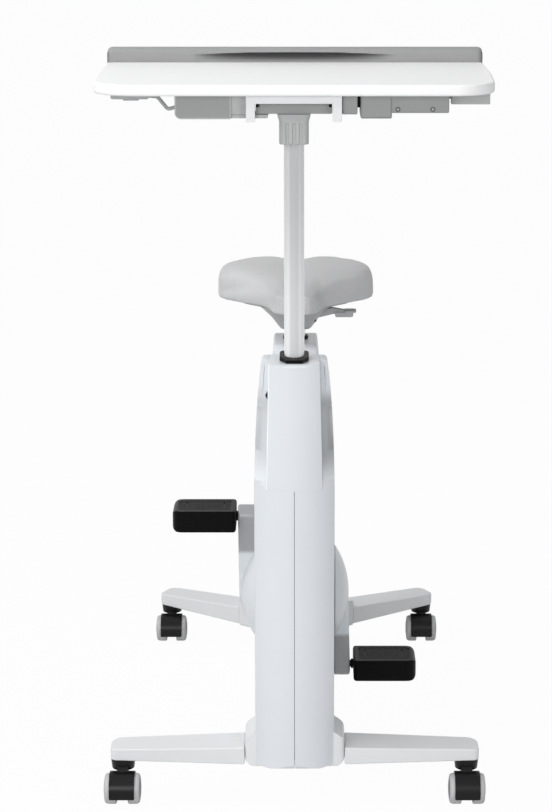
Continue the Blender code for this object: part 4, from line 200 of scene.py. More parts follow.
# Front cover and console
COVER_FOOT = 0.5435
COVER_FOOT_HALF = 0.0455
COVER_TOP_HALF = 0.0405
COVER_DEPTH = 0.080
CONSOLE_FOOT = 0.688
CONSOLE_SLOPE_DEPTH = 0.050
CONSOLE_SLOPE_DROP = 0.0595
CHEEKS = (                      # height, depth behind the panel's edge, turn to the side in degrees
    (0.5435, -0.0010, 30), (0.5560, 0.0032, 38), (0.5700, 0.0100, 49), (0.5850, 0.0165, 57),
    (0.6020, 0.0222, 61), (0.6220, 0.0265, 63), (0.6450, 0.0290, 65), (0.6700, 0.0300, 62),
    (0.6840, 0.0300, 44), (0.6980, 0.0300, 31), (0.8000, 0.0300, 28),
)
CHEEK_STEP = 0.003
CHEEK_OVERLAP = 0.0023          # the scoop's cutter reaches this far behind the panel
GROOVE_LINE = ((0.0475, 0.738), (0.0512, 0.684))    # fine groove beside the panel, at the top
GROOVE_FLOOR = -0.3838
SEAM = 0.0008                   # between the two body shells
PANEL_HIGHLIGHT_WIDTH = 0.0016             # painted highlight along the front panel's left side
DISPLAY_WIDTH = 0.064
DISPLAY_HEIGHT = 0.040
DISPLAY_THICKNESS = 0.004
KNOB_HEIGHT = 0.618             # of the resistance knob's axis
KNOB_RADIUS = 0.021
KNOB_LENGTH = 0.018
KNOB_SHAFT_RADIUS = 0.004

# Desk post
POST_RADIUS = 0.016
POST_FOOT = 0.390
POST_BORE_RADIUS = 0.0128
POST_BORE_TOP = 0.550
COLLAR_FOOT = 1.0935
COLLAR_TOP = 1.1405
COLLAR_HALF = 0.0230
BUSHING_HALF = 0.0232
BUSHING_AHEAD = 0.0315          # flange's front edge ahead of the post's axis
BUSHING_BACK_HEIGHT = 0.0103
BUSHING_FRONT_HEIGHT = 0.0052
BUSHING_SLEEVE = 0.055
COLLAR_CORNER = 0.009
COLLAR_FLARE = 1.14
COLLAR_FLARE_HEIGHT = 0.012
RIB_PITCH = 0.0105

# Seat post, along the leaning axis from the top of the rear column
SEAT_POST_RADIUS = 0.018
SEAT_POST_LENGTH = 0.370
SEAT_POST_DEPTH = 0.330         # below the column's top, at the lowest setting
SEAT_BORE_RADIUS = 0.0140
SEAT_BORE_LENGTH = 0.180
SEAT_CLAMP_FOOT = 0.0165
SEAT_CLAMP_TOP = 0.080
SEAT_CLAMP_FOOT_RADIUS = 0.0240
SEAT_CLAMP_TOP_RADIUS = 0.0660
SEAT_LEVER_ROOT = 0.0345        # lever's pin above the rear column's top, along the axis
SEAT_LEVER_SIDE = 0.0360        # lever's pin, out from the middle
SEAT_FLANGE_RADIUS = 0.0231
SEAT_FLANGE_HEIGHT = 0.0055
SEAT_LEVER_HALF = 0.007         # half the width of the lever's arm

# Saddle
SADDLE_LENGTH = 0.280
SADDLE_NOSE_SETBACK = 0.425     # nose behind the front caster axles
SADDLE_TUCK = 0.06              # share by which the sides lean in at the top
SADDLE_WIDTH = 0.286
SADDLE_NOSE_WIDTH = 0.092
SADDLE_TOP = 0.8060
SADDLE_HEIGHT = 0.0660
SADDLE_NOSE_DROP = 0.024        # nose below the tail, at the top
SADDLE_CROWN = 0.003            # top's edges below its middle
SADDLE_CHANNEL = 0.0060
SADDLE_START = 0.990            # length before the cover is blown up
SADDLE_START_WIDTH = 1.004
SADDLE_HEM = 0.0045             # lower edge of the sides below the bottom's middle
SADDLE_SETTLE = 0.0090          # top lower than the solid's before the cover is blown up
SADDLE_SKIRT = 0.0035           # cover over the pan's edge at the nose
CLOTH_VOXEL = 0.005
CLOTH_FRAMES = 20
CLOTH_PRESSURE = 4.0
CLOTH_CAP = 0.0035              # furthest that a place of the cover moves
CLOTH_SMOOTHING = 4
PAN_THICKNESS = 0.008

# Drive
CRANK_SETBACK = 0.300
CRANK_HEIGHT = 0.2712
CRANK_LENGTH = 0.1362
CRANK_OUTER = 0.098             # outer face of the crank's end, out from the middle
CRANK_INNER = 0.0685
PEDAL_BORE_INSET = 0.006        # bottom of the hole for the pedal's axle, out from the arm's inner face
PEDAL_COLLAR_RADIUS = 0.0085
CRANK_DOME_RADIUS = 0.080
CRANK_ARM_OUTER = {-1: 0.0994, 1: 0.0964}
CRANK_ARM_THIN = {-1: 0.0022, 1: 0.0046}    # the arm's hub end sinks into the dome
CRANK_DOME_TOP = {-1: 0.0962, 1: 0.0938}    # the dome's middle, out from the middle of the bike
CRANK_DOME_EDGE = 0.0700        # the dome's rim
CRANK_END_RADIUS = 0.020
CRANK_HUB_RADIUS = 0.0215
SPINDLE_RADIUS = 0.010
SPINDLE_DEPTH = 0.018           # spindle inside the crank arm

# Pedals
PEDAL_LENGTH = 0.110
PEDAL_DEPTH = 0.0785
PEDAL_HEIGHT = 0.0378
PEDAL_START = 0.1025            # pedal's inner end, out from the middle
PEDAL_AXLE_RADIUS = 0.0060
PEDAL_RECESS = 0.0016

# Desktop
DESK_TOP = 1.189
DESK_THICKNESS = 0.0174
DESK_HALF = 0.3160              # half width at the back
DESK_TAPER = 0.0085             # each side closer in at the front
DESK_TAPER_RUN = 0.200          # stretch of the sides that tapers
DESK_FRONT = -0.050             # desktop's front edge ahead of the front caster axles
DESK_DEPTH = 0.394
DESK_CORNER = 0.070
PAD_HALF = 0.3165
PAD_DEPTH = 0.057
PAD_RISE = 0.026                # above the desktop
PAD_END = 0.010                 # rounding of the rest's ends
SCOOP_MIDDLE = -0.003           # the scoop in the rest's face over the desktop
SCOOP_HALF = 0.169
SCOOP_TOP = 1.2055
SCOOP_DROP = 0.004              # the scoop's brow is lower at its ends
SCOOP_EDGE = 0.0012
SCOOP_FOOT = 1.1885
SCOOP_DEPTH = 0.0150

# Slide and brackets under the desktop
HOUSING_HALF = 0.0590
HOUSING_TOP = 1.157
HOUSING_LENGTH = 0.260
HOUSING_SETBACK = -0.008        # its front end behind the front caster axles
GROOVE_WIDTH = 0.006
GROOVE_DEPTH = 0.0065
BRACKET_LEG = 0.0140
CROSSBAR = 0.0130
BRACKET_DROP = 0.0410
U_BRACKET_DEPTH = 0.016
U_BRACKET_SETBACK = -0.030
LEFT_BOX_INSET = 0.1329         # left box inside the desktop's end
LEFT_BOX_NEAR = -0.0963
LEFT_BOX_DROP = 0.0382
BOX_SETBACK = -0.016
BOX_DEPTH = 0.075
FLANGE_END = -0.0397
RIGHT_INNER_FAR = 0.0976
RIGHT_INNER_DROP = 0.0312
RIGHT_MIDDLE_NEAR = 0.1022
RIGHT_MIDDLE_FAR = 0.1505
RIGHT_MIDDLE_DROP = 0.0374
RIGHT_OUTER_INSET = 0.0775      # right box inside the desktop's end
RIGHT_OUTER_DROP = 0.0292
BOX_RIM = 0.0024
BOX_SUNK = 0.0009
SCREW_RADIUS = 0.0040
LEVER_SETBACK = 0.045
HEIGHT_LEVER_AXIS = 1.1445
HEIGHT_LEVER_RISE = 0.019
HEIGHT_LEVER_RUN = 0.016        # sideways, where the rod slants up
HEIGHT_PADDLE_INSET = 0.0306    # paddle inside the desktop's end
HEIGHT_PADDLE_LENGTH = 0.0592
LEVER_ROD_RADIUS = 0.003
SLIDE_LEVER_AXIS = 1.1615
SLIDE_LEVER_INSET = 0.0108      # wing inside the desktop's end
SLIDE_LEVER_LENGTH = 0.0608

# Places worked out from the sizes above
POST_Y = FRONT_Y + POST_SETBACK
CRANK_Y = FRONT_Y + CRANK_SETBACK
CRANK_POINT = Vector((0, CRANK_Y, CRANK_HEIGHT))
PEDAL_BORE_FLOOR = CRANK_INNER + PEDAL_BORE_INSET
AHEAD = FRONT_Y - 0.2           # clear of the bike's front
BODY_NOSE = FRONT_Y + BODY_FRONT
FACE_CENTRE = BODY_NOSE + FRONT_FACE_RADIUS
COVER_SLOPE = (COVER_FOOT_HALF - COVER_TOP_HALF) / (COLUMN_TOP - COVER_FOOT)
DESK_SLEEVE_RADIUS = DESK_TUBE_RADIUS - TUBE_WALL - GAP
SEAT_SLEEVE_RADIUS = SEAT_TUBE_RADIUS - TUBE_WALL - GAP
WHEEL_FACE = WHEELSET_WIDTH / 2 - WHEEL_FACE_INSET
REAR_LEG_RUN = (REAR_TRACK / 2 - REAR_LEG_ROOT) / math.cos(REAR_LEG_ANGLE)
PAD_FRONT = FRONT_Y + DESK_FRONT + DESK_DEPTH + GAP
SEAT_AXIS = Vector((0, math.sin(SEAT_LEAN), math.cos(SEAT_LEAN)))
SEAT_TOP = Vector((0, FRONT_Y + SEAT_SETBACK, REAR_COLUMN_TOP))
COLUMN_BACK = BODY_NOSE + COLUMN_DEPTH
COVER_BACK = BODY_NOSE + COVER_DEPTH
DESK_BOTTOM = DESK_TOP - DESK_THICKNESS
SADDLE_BOTTOM = SADDLE_TOP - SADDLE_HEIGHT
FRONT_TRACK = 2 * (FRONT_LEG_REACH - FRONT_STEM_INSET)
LEFT_BOX_FAR = LEFT_BOX_INSET - DESK_HALF
RIGHT_OUTER_FAR = DESK_HALF - RIGHT_OUTER_INSET
HEIGHT_PADDLE_FAR = HEIGHT_PADDLE_INSET - DESK_HALF
HEIGHT_PADDLE_NEAR = HEIGHT_PADDLE_FAR + HEIGHT_PADDLE_LENGTH
SLIDE_LEVER_FAR = DESK_HALF - SLIDE_LEVER_INSET
SLIDE_LEVER_NEAR = SLIDE_LEVER_FAR - SLIDE_LEVER_LENGTH


# Camera, stage and light

def build_stage():
    """Pale floor, soft lamps and the camera of the photograph."""
    scene = bpy.context.scene
    camera = bpy.data.objects.new("camera", bpy.data.cameras.new("camera"))
    scene.collection.objects.link(camera)
    scene.camera = camera
    camera.location = CAMERA_PLACE
    camera.rotation_euler = (math.radians(90 - CAMERA_DOWN), 0, 0)
    camera.data.sensor_width = SENSOR_WIDTH
    camera.data.lens = CAMERA_LENS
    camera.data.shift_x = CAMERA_SHIFT

    scene.view_settings.view_transform = "Standard"
    world = bpy.data.worlds.new("studio")
    world.use_nodes = True
    scene.world = world
    tree = world.node_tree
    light = tree.nodes["Background"]
    light.inputs["Color"].default_value = SKY_COLOUR
    towards = tree.nodes.new("ShaderNodeTexCoord")
    split = tree.nodes.new("ShaderNodeSeparateXYZ")
    fall = tree.nodes.new("ShaderNodeMapRange")
    for key, number in (("From Min", -1.0), ("From Max", 1.0), ("To Min", SKY_LEFT), ("To Max", SKY_RIGHT)):
        fall.inputs[key].default_value = number
    tree.links.new(towards.outputs["Generated"], split.inputs[0])
    tree.links.new(split.outputs["X"], fall.inputs["Value"])
    tree.links.new(fall.outputs["Result"], light.inputs["Strength"])
    seen = tree.nodes.new("ShaderNodeBackground")
    seen.inputs["Color"].default_value = WHITE
    seen.inputs["Strength"].default_value = 1.0
    mix_shaders(tree, seen_rays(tree), light, seen, "World Output")

    for name, place, size, share in LAMPS:
        lamp = bpy.data.lights.new(name, "AREA")
        lamp.shape = "DISK"
        lamp.size = size
        away = Vector(place) - LIT_POINT
        lamp.energy = math.pi ** 2 * share * away.length_squared
        holder = bpy.data.objects.new(name, lamp)
        scene.collection.objects.link(holder)
        holder.location = place
        holder.rotation_euler = away.to_track_quat("Z", "Y").to_euler()

    floor_mesh = bpy.data.meshes.new("floor")
    corners = [(x * FLOOR_REACH, y * FLOOR_REACH, 0) for x, y in ((-1, -1), (1, -1), (1, 1), (-1, 1))]
    floor_mesh.from_pydata(corners, [], [(0, 1, 2, 3)])
    floor = bpy.data.objects.new("floor", floor_mesh)
    scene.collection.objects.link(floor)
    floor.location.z = -FLOOR_DROP
    made = bpy.data.materials.new("floor")
    made.use_nodes = True
    tree = made.node_tree
    shader = tree.nodes["Principled BSDF"]
    shader.inputs["Base Color"].default_value = FLOOR_COLOUR
    shader.inputs["Roughness"].default_value = FLOOR_ROUGHNESS
    glow = tree.nodes.new("ShaderNodeEmission")
    glow.inputs["Color"].default_value = WHITE
    share = tree.nodes.new("ShaderNodeMath")
    share.operation = "MULTIPLY"
    share.inputs[1].default_value = FLOOR_GLOW
    tree.links.new(seen_rays(tree), share.inputs[0])
    mix_shaders(tree, share.outputs[0], shader, glow, "Material Output")
    floor.data.materials.append(made)


def mix_shaders(tree, share, first, second, output):
    """Send one shader or the other to the output, by a share."""
    mix = tree.nodes.new("ShaderNodeMixShader")
    for socket, source in zip(mix.inputs, (share, first.outputs[0], second.outputs[0])):
        tree.links.new(source, socket)
    tree.links.new(mix.outputs[0], tree.nodes[output].inputs[0])


def seen_rays(tree):
    """1 for camera, glossy and transmission rays, so that the background shows in gloss as well."""
    rays = tree.nodes.new("ShaderNodeLightPath")
    found = rays.outputs["Is Camera Ray"]
    for other in ("Is Glossy Ray", "Is Transmission Ray"):
        both = tree.nodes.new("ShaderNodeMath")
        both.operation = "MAXIMUM"
        tree.links.new(found, both.inputs[0])
        tree.links.new(rays.outputs[other], both.inputs[1])
        found = both.outputs[0]
    return found


# Finishes

class Finish:
    """A Principled finish whose colour, roughness and relief come from procedural textures."""

    def __init__(self, name, roughness, metallic=0.0, coat=0.0, sheen=0.0, specular=0.5):
        self.made = bpy.data.materials.new(name)
        self.made.use_nodes = True
        self.tree = self.made.node_tree
        self.shader = self.tree.nodes["Principled BSDF"]
        self.shader.inputs["Roughness"].default_value = roughness
        self.shader.inputs["Metallic"].default_value = metallic
        self.shader.inputs["Coat Weight"].default_value = coat
        self.shader.inputs["Coat Roughness"].default_value = 0.12
        self.shader.inputs["Sheen Weight"].default_value = sheen
        self.shader.inputs["Specular IOR Level"].default_value = specular
        self.height = None
        self.place = self.node("TexCoord").outputs["Object"]

    def node(self, kind, **values):
        made = self.tree.nodes.new("ShaderNode" + kind)
        for key, value in values.items():
            setattr(made, key, value)
        return made

    def stretched(self, scale):
        """The place, scaled by axis, for brushed metal and drawn-out marks."""
        mapping = self.node("Mapping")
        mapping.inputs["Scale"].default_value = scale
        self.tree.links.new(self.place, mapping.inputs["Vector"])
        return mapping.outputs[0]

    def axis(self, name):
        split = self.node("SeparateXYZ")
        self.tree.links.new(self.place, split.inputs[0])
        return split.outputs[name]

    def noise(self, scale, detail=3.0, roughness=0.5, place=None):
        made = self.node("TexNoise")
        made.inputs["Scale"].default_value = scale
        made.inputs["Detail"].default_value = detail
        made.inputs["Roughness"].default_value = roughness
        self.tree.links.new(place or self.place, made.inputs["Vector"])
        return made.outputs["Fac"]

    def cells(self, scale, feature="DISTANCE_TO_EDGE", place=None):
        made = self.node("TexVoronoi", feature=feature)
        made.inputs["Scale"].default_value = scale
        self.tree.links.new(place or self.place, made.inputs["Vector"])
        return made.outputs["Distance"]

    def spread(self, value, low, high, to_low=0.0, to_high=1.0):
        made = self.node("MapRange", interpolation_type="SMOOTHSTEP")
        for key, number in (("From Min", low), ("From Max", high), ("To Min", to_low), ("To Max", to_high)):
            made.inputs[key].default_value = number
        self.tree.links.new(value, made.inputs["Value"])
        return made.outputs["Result"]

    def math(self, operation, first, second):
        made = self.node("Math", operation=operation)
        for socket, value in zip(made.inputs, (first, second)):
            if isinstance(value, (int, float)):
                socket.default_value = value
            else:
                self.tree.links.new(value, socket)
        return made.outputs[0]

    def colours(self, value, *stops):
        """A colour ramp: (position, colour) stops, in linear colour."""
        made = self.node("ValToRGB")
        ramp = made.color_ramp
        for _ in stops[2:]:
            ramp.elements.new(0.5)
        for element, (position, colour) in zip(ramp.elements, stops):
            element.position = position
            element.color = (*colour, 1)
        self.tree.links.new(value, made.inputs[0])
        return made.outputs[0]

    def tone(self, value, colour, down, up=None):
        """A colour that gets a little darker and paler with a value."""
        up = down if up is None else up
        return self.colours(value, (0.3, shade(colour, 1 - down)), (0.7, shade(colour, 1 + up)))

    def blend(self, share, first, second):
        """Two colours mixed by a share."""
        made = self.node("Mix", data_type="RGBA")
        self.tree.links.new(share, made.inputs["Factor"])
        for socket, value in ((made.inputs[6], first), (made.inputs[7], second)):
            if isinstance(value, tuple):
                socket.default_value = (*value, 1)
            else:
                self.tree.links.new(value, socket)
        return made.outputs[2]

    def paint(self, value):
        self.tree.links.new(value, self.shader.inputs["Base Color"])
        return self

    def gloss(self, value):
        self.tree.links.new(value, self.shader.inputs["Roughness"])
        return self

    def relief(self, height, depth, strength=1.0):
        """A bump whose full height is a depth in metres."""
        bump = self.node("Bump")
        bump.inputs["Strength"].default_value = strength
        bump.inputs["Distance"].default_value = depth
        self.tree.links.new(height, bump.inputs["Height"])
        if self.height is not None:
            self.tree.links.new(self.height, bump.inputs["Normal"])
        self.height = bump.outputs[0]
        self.tree.links.new(self.height, self.shader.inputs["Normal"])
        return self


def shade(colour, factor):
    return tuple(min(value * factor, 1.0) for value in colour)


def moulded(name, colour, roughness, spread=0.03, grain=1500.0, depth=0.00003, **more):
    """Moulded plastic or smooth paint: slow changes of tone over a fine, even texture."""
    made = Finish(name, roughness, **more)
    broad = made.noise(5.0, 2.0)
    fine = made.noise(grain, 2.0, 0.6)
    made.paint(made.tone(broad, colour, spread))
    both = made.math("ADD", made.math("MULTIPLY", broad, 0.6), made.math("MULTIPLY", fine, 0.4))
    made.gloss(made.spread(both, 0.35, 0.65, roughness - 0.05, roughness + 0.06))
    return made.relief(fine, depth)


def powder_coat(name, colour, roughness, spread):
    """Powder coat: a soft orange peel over slow changes of tone."""
    made = Finish(name, roughness)
    broad = made.noise(7.0, 2.0)
    peel = made.noise(420.0, 1.0, 0.4)
    made.paint(made.tone(broad, colour, spread))
    made.gloss(made.spread(peel, 0.3, 0.7, roughness - 0.04, roughness + 0.05))
    return made.relief(peel, 0.00005)


def grained(name, colour, roughness, scale, depth, spread=0.05, **more):
    """Vinyl or coated foam with a pebbled grain, darker in its creases."""
    made = Finish(name, roughness, **more)
    broad = made.noise(9.0, 3.0)
    wobble = made.noise(scale * 0.6, 2.0)
    cells = made.cells(scale)
    crease = made.spread(cells, 0.0, 0.16)
    made.paint(made.blend(crease, shade(colour, 0.86), made.tone(broad, colour, spread)))
    made.gloss(made.spread(crease, 0.0, 1.0, roughness + 0.12, roughness - 0.02))
    made.relief(crease, depth)
    return made.relief(wobble, depth * 0.8)


def post_paint_with_reflection():
    """Glossy paint with painted reflection and light: paler on the post's flanks and towards its foot, with
    painted shade at its head under the desktop.
    """
    made = Finish("gloss_paint_look", 0.20, coat=1.0)
    made.shader.inputs["Coat IOR"].default_value = 1.9
    # Painted reflection on the flanks, painted light towards the foot and painted shade at the head under the
    # desktop.
    across = made.math("ABSOLUTE", made.axis("X"), 0.0)
    flank_reflection = made.spread(across, POST_RADIUS * 0.28, POST_RADIUS * 0.60, 1.0, POST_FLANK_REFLECTION)
    foot = made.spread(made.axis("Z"), 0.80, 1.07, POST_FOOT_LIGHT, POST_HEAD_SHADE)
    whole = POST_FLANK_REFLECTION * POST_FOOT_LIGHT
    share = made.math("MULTIPLY", made.math("MULTIPLY", flank_reflection, foot), 1 / whole)
    fine = made.noise(1500.0, 2.0, 0.6)
    made.paint(made.blend(share, (0.0, 0.0, 0.0), shade(POST_COLOUR, whole)))
    made.gloss(made.spread(fine, 0.3, 0.7, 0.16, 0.25))
    return made.relief(fine, 0.00001)


def smooth_plastic(name):
    """Smooth plastic that its caller paints, and the slow noise for its tone."""
    made = Finish(name, 0.34, coat=0.15)
    fine = made.noise(1500.0, 2.0, 0.6)
    made.gloss(made.spread(fine, 0.3, 0.7, 0.30, 0.40))
    made.relief(fine, 0.00003)
    return made, made.noise(5.0, 2.0)


def crank_paint():
    """Grey cranks, white where they lie over their discs."""
    made, broad = smooth_plastic("crank_paint_look")
    above = made.math("ABSOLUTE", made.math("SUBTRACT", made.axis("Z"), CRANK_HEIGHT), 0.0)
    outside = made.spread(above, CRANK_DOME_RADIUS - 0.009, CRANK_DOME_RADIUS + 0.001)
    return made.paint(made.blend(outside, SHELL_COLOUR, made.tone(broad, CRANK_COLOUR, 0.02)))


def shell_painted_shade():
    """The shells' plastic, with painted shade in the scoop beside the front panel, stronger on the right side.
    """
    made, broad = smooth_plastic("scooped_shell_look")
    low, high = made.axis("Z"), made.axis("Z")
    # Painted shade: darker in the scoop between these heights, near the front, and more on the right side, away
    # from the lamps.
    shade_zone = made.math("MULTIPLY", made.spread(low, 0.556, 0.600), made.spread(high, 0.672, 0.704, 1.0, 0.0))
    front = made.spread(made.axis("Y"), SCOOP_SHADE_BACK - 0.016, SCOOP_SHADE_BACK, 1.0, 0.0)
    right = made.spread(made.axis("X"), -0.02, 0.02, 0.30, 1.0)
    shade_zone = made.math("MULTIPLY", made.math("MULTIPLY", shade_zone, front), right)
    return made.paint(made.blend(shade_zone, made.tone(broad, SHELL_COLOUR, 0.012), shade(SHELL_COLOUR, SCOOP_SHADE_TONE)))


def pad_foam_with_painted_shade():
    """The wrist rest's coated foam, with painted shade deep in its scoop under the brow."""
    made = grained("grey_pad_look", PAD_COLOUR, 0.58, 900.0, 0.00010, 0.03)
    # Painted shade: darker in the scoop, deepest under its brow.
    deep = made.spread(made.axis("Y"), PAD_FRONT - 0.0005, PAD_FRONT + 0.0085)
    near = made.spread(made.axis("Y"), PAD_FRONT + 0.0170, PAD_FRONT + 0.0190, 1.0, 0.0)
    below = made.spread(made.axis("Z"), SCOOP_TOP - 0.0002, SCOOP_TOP + 0.0006, 1.0, 0.0)
    share = made.math("MULTIPLY", made.math("MULTIPLY", deep, near), below)
    plain = made.shader.inputs["Base Color"].links[0].from_socket
    return made.paint(made.blend(share, plain, shade(PAD_COLOUR, 0.26)))


PLAIN_LOOKS = (                 # maker, slot, colour, roughness and what else it takes
    (moulded, "white_shell", SHELL_COLOUR, 0.34, {"spread": 0.012, "coat": 0.15}),
    (powder_coat, "white_paint", PAINT_COLOUR, 0.36, {"spread": 0.015}),
    (moulded, "desk_white", DESK_COLOUR, 0.42, {"spread": 0.008, "grain": 900.0, "depth": 0.00002}),
    (powder_coat, "grey_casting", CASTING_COLOUR, 0.38, {"spread": 0.03}),
    (powder_coat, "box_grey", BOX_COLOUR, 0.42, {"spread": 0.03}),
    # paler, glossier finish of the panel's left edge: a painted highlight
    (moulded, "edge_white", EDGE_HIGHLIGHT_COLOUR, 0.25, {"spread": 0.006, "depth": 0.00001, "coat": 0.6}),
    (grained, "grey_saddle", SADDLE_COLOUR, 0.52,
     {"scale": 620.0, "depth": 0.00014, "spread": 0.03, "sheen": 0.15}),
    (grained, "tread", TREAD_COLOUR, 0.50,
     {"scale": 700.0, "depth": 0.00015, "spread": 0.25, "specular": 0.09}),
    (moulded, "black_plastic", BLACK_COLOUR, 0.34, {"spread": 0.20, "grain": 1300.0, "specular": 0.06}),
    (moulded, "satin_black", SATIN_BLACK_COLOUR, 0.32,
     {"spread": 0.15, "grain": 1300.0, "depth": 0.00004, "specular": 0.18}),
    (moulded, "belt_rubber", BELT_COLOUR, 0.70, {"spread": 0.25, "grain": 1100.0, "depth": 0.00005}),
    (moulded, "hub_grey", HUB_COLOUR, 0.45, {"spread": 0.08, "grain": 1300.0, "depth": 0.00004}),
)


def build_finishes():
    """The finishes by the record's material slots, and a few for small pieces."""
    looks = {
        "grey_pad": pad_foam_with_painted_shade(), "glossy_post_reflection": post_paint_with_reflection(), "crank_paint": crank_paint(),
        "shell_painted_shade": shell_painted_shade(),
    }
    for maker, name, colour, roughness, settings in PLAIN_LOOKS:
        looks[name] = maker(name + "_look", colour, roughness, **settings)
    glass = Finish("dark_glass_look", 0.08, coat=0.6)
    smear = glass.noise(26.0, 5.0)
    glass.paint(glass.colours(smear, (0.35, (0.010, 0.011, 0.013)), (0.7, (0.016, 0.018, 0.021))))
    glass.gloss(glass.spread(smear, 0.3, 0.7, 0.06, 0.16))
    looks["dark_glass"] = glass
    tyre = Finish("pale_tyre_look", 0.55)
    scuff = tyre.noise(240.0, 4.0, 0.6)
    broad = tyre.noise(40.0, 3.0)
    tone = tyre.tone(broad, TYRE_COLOUR, 0.05, 0.03)
    tyre.paint(tyre.blend(tyre.spread(scuff, 0.58, 0.80), tone, shade(TYRE_COLOUR, 0.72)))
    tyre.gloss(tyre.spread(scuff, 0.3, 0.7, 0.48, 0.64))
    looks["pale_tyre"] = tyre.relief(scuff, 0.00004)
    for name, colour, rough in (("steel", STEEL_COLOUR, 0.28), ("dark_steel", DARK_STEEL_COLOUR, 0.42)):
        metal = Finish(name + "_look", rough, 1.0)
        drawn = metal.noise(600.0, 2.0, 0.6, metal.stretched((1.0, 1.0, 0.02)))
        broad = metal.noise(14.0, 3.0)
        metal.paint(metal.tone(broad, colour, 0.08, 0.06))
        metal.gloss(metal.spread(drawn, 0.3, 0.7, rough - 0.08, rough + 0.12))
        looks[name] = metal.relief(drawn, 0.00002)
    return {name: look.made for name, look in looks.items()}


# Modelling

def limited(value, high=1.0):
    """A value kept between 0 and a high end."""
    return min(max(value, 0.0), high)


def ease(share):
    """A share from 0 to 1 with soft ends."""
    return share * share * (3 - 2 * share)


PIECES = bpy.data.collections.new("pieces")
TOOLS = bpy.data.collections.new("cutters")
bpy.context.scene.collection.children.link(PIECES)
bpy.context.scene.collection.children.link(TOOLS)
LOOKS = build_finishes()


def skin(item, node, name=None, look=None, smooth=32, hides=True, flat_faces=True):
    """Make a finished piece that rides with a node, in the node's place or beside it."""
    item.name = name or node + "_skin"
    item.data.name = item.name
    item.hide_render = False
    item.display_type = "TEXTURED"
    TOOLS.objects.unlink(item)
    PIECES.objects.link(item)
    item.data.materials.clear()
    item.data.materials.append(LOOKS[look or SLOT_OF[node]])
    item.data.shade_smooth()
    item.data.set_sharp_from_angle(angle=math.radians(smooth))
    if flat_faces:
        even = item.modifiers.new("even faces", "WEIGHTED_NORMAL")
        even.keep_sharp = True
    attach(item, BODY_OF[node])
    if hides:
        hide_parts(node)
    return item


def mesh_object(name, mesh):
    made = bpy.data.objects.new(name, mesh)
    TOOLS.objects.link(made)
    made.hide_render = True
    made.display_type = "WIRE"
    return made


def evaluated_mesh(item):
    """A new mesh of an object as its modifiers leave it, in world space."""
    bpy.context.view_layer.update()
    graph = bpy.context.evaluated_depsgraph_get()
    mesh = bpy.data.meshes.new_from_object(item.evaluated_get(graph))
    mesh.transform(item.matrix_world)
    return mesh


def bake(item):
    """Turn an object and its modifiers into a plain mesh in world space."""
    mesh = evaluated_mesh(item)
    item.modifiers.clear()
    item.data = mesh
    item.matrix_world = Matrix.Identity(4)
    return item


def edit(item, change):
    """Run a change on an object's mesh through bmesh."""
    work = bmesh.new()
    work.from_mesh(item.data)
    change(work)
    work.to_mesh(item.data)
    work.free()
    return item


def solid_from(name, work):
    """A solid from a bmesh, which is used up."""
    mesh = bpy.data.meshes.new(name)
    work.to_mesh(mesh)
    work.free()
    return mesh_object(name, mesh)


def sealed(item):
    """Merge an object's doubled points and turn its faces outwards."""
    edit(item, lambda work: bmesh.ops.remove_doubles(work, verts=work.verts, dist=MERGE))
    return edit(item, lambda work: bmesh.ops.recalc_face_normals(work, faces=work.faces))


def split_level(work, level):
    """Split a bmesh's faces where they cross a height."""
    everything = list(work.verts) + list(work.edges) + list(work.faces)
    bmesh.ops.bisect_plane(work, geom=everything, dist=0.000001, plane_co=(0, 0, level), plane_no=(0, 0, 1))


def box(name, x_span, y_span, z_span):
    """A box between two values on each axis."""
    work = bmesh.new()
    bmesh.ops.create_cube(work, size=1.0)
    spans = (x_span, y_span, z_span)
    size = [span[1] - span[0] for span in spans]
    middle = [(span[1] + span[0]) / 2 for span in spans]
    matrix = Matrix.Translation(middle) @ Matrix.Diagonal((*size, 1.0))
    bmesh.ops.transform(work, matrix=matrix, verts=work.verts)
    return solid_from(name, work)


def along(start, direction):
    """A frame at a point, with its Z axis along a direction."""
    turn = Vector((0, 0, 1)).rotation_difference(Vector(direction).normalized())
    return Matrix.Translation(Vector(start)) @ turn.to_matrix().to_4x4()


def rod(name, start, end, radius, sides=48):
    """A cylinder between two points."""
    start = Vector(start)
    end = Vector(end)
    length = (end - start).length
    work = bmesh.new()
    bmesh.ops.create_cone(work, cap_ends=True, segments=sides, radius1=radius, radius2=radius, depth=length)
    bmesh.ops.transform(work, matrix=Matrix.Translation((0, 0, length / 2)), verts=work.verts)
    bmesh.ops.transform(work, matrix=along(start, end - start), verts=work.verts)
    return solid_from(name, work)


def turned(name, profile, start, direction, steps=64, ring=False):
    """A turned solid: (radius, height) points from top to bottom, turned about a direction."""
    mesh = bpy.data.meshes.new(name)
    points = [(radius, 0, height) for radius, height in profile]
    edges = [(i, i + 1) for i in range(len(points) - 1)]
    if ring:
        edges.append((len(points) - 1, 0))
    mesh.from_pydata(points, edges, [])
    made = mesh_object(name, mesh)
    screw = made.modifiers.new("turn", "SCREW")
    screw.axis = "Z"
    screw.steps = steps
    screw.render_steps = steps
    screw.use_merge_vertices = True
    screw.merge_threshold = MERGE
    sealed(bake(made))
    made.matrix_world = along(start, direction)
    return bake(made)


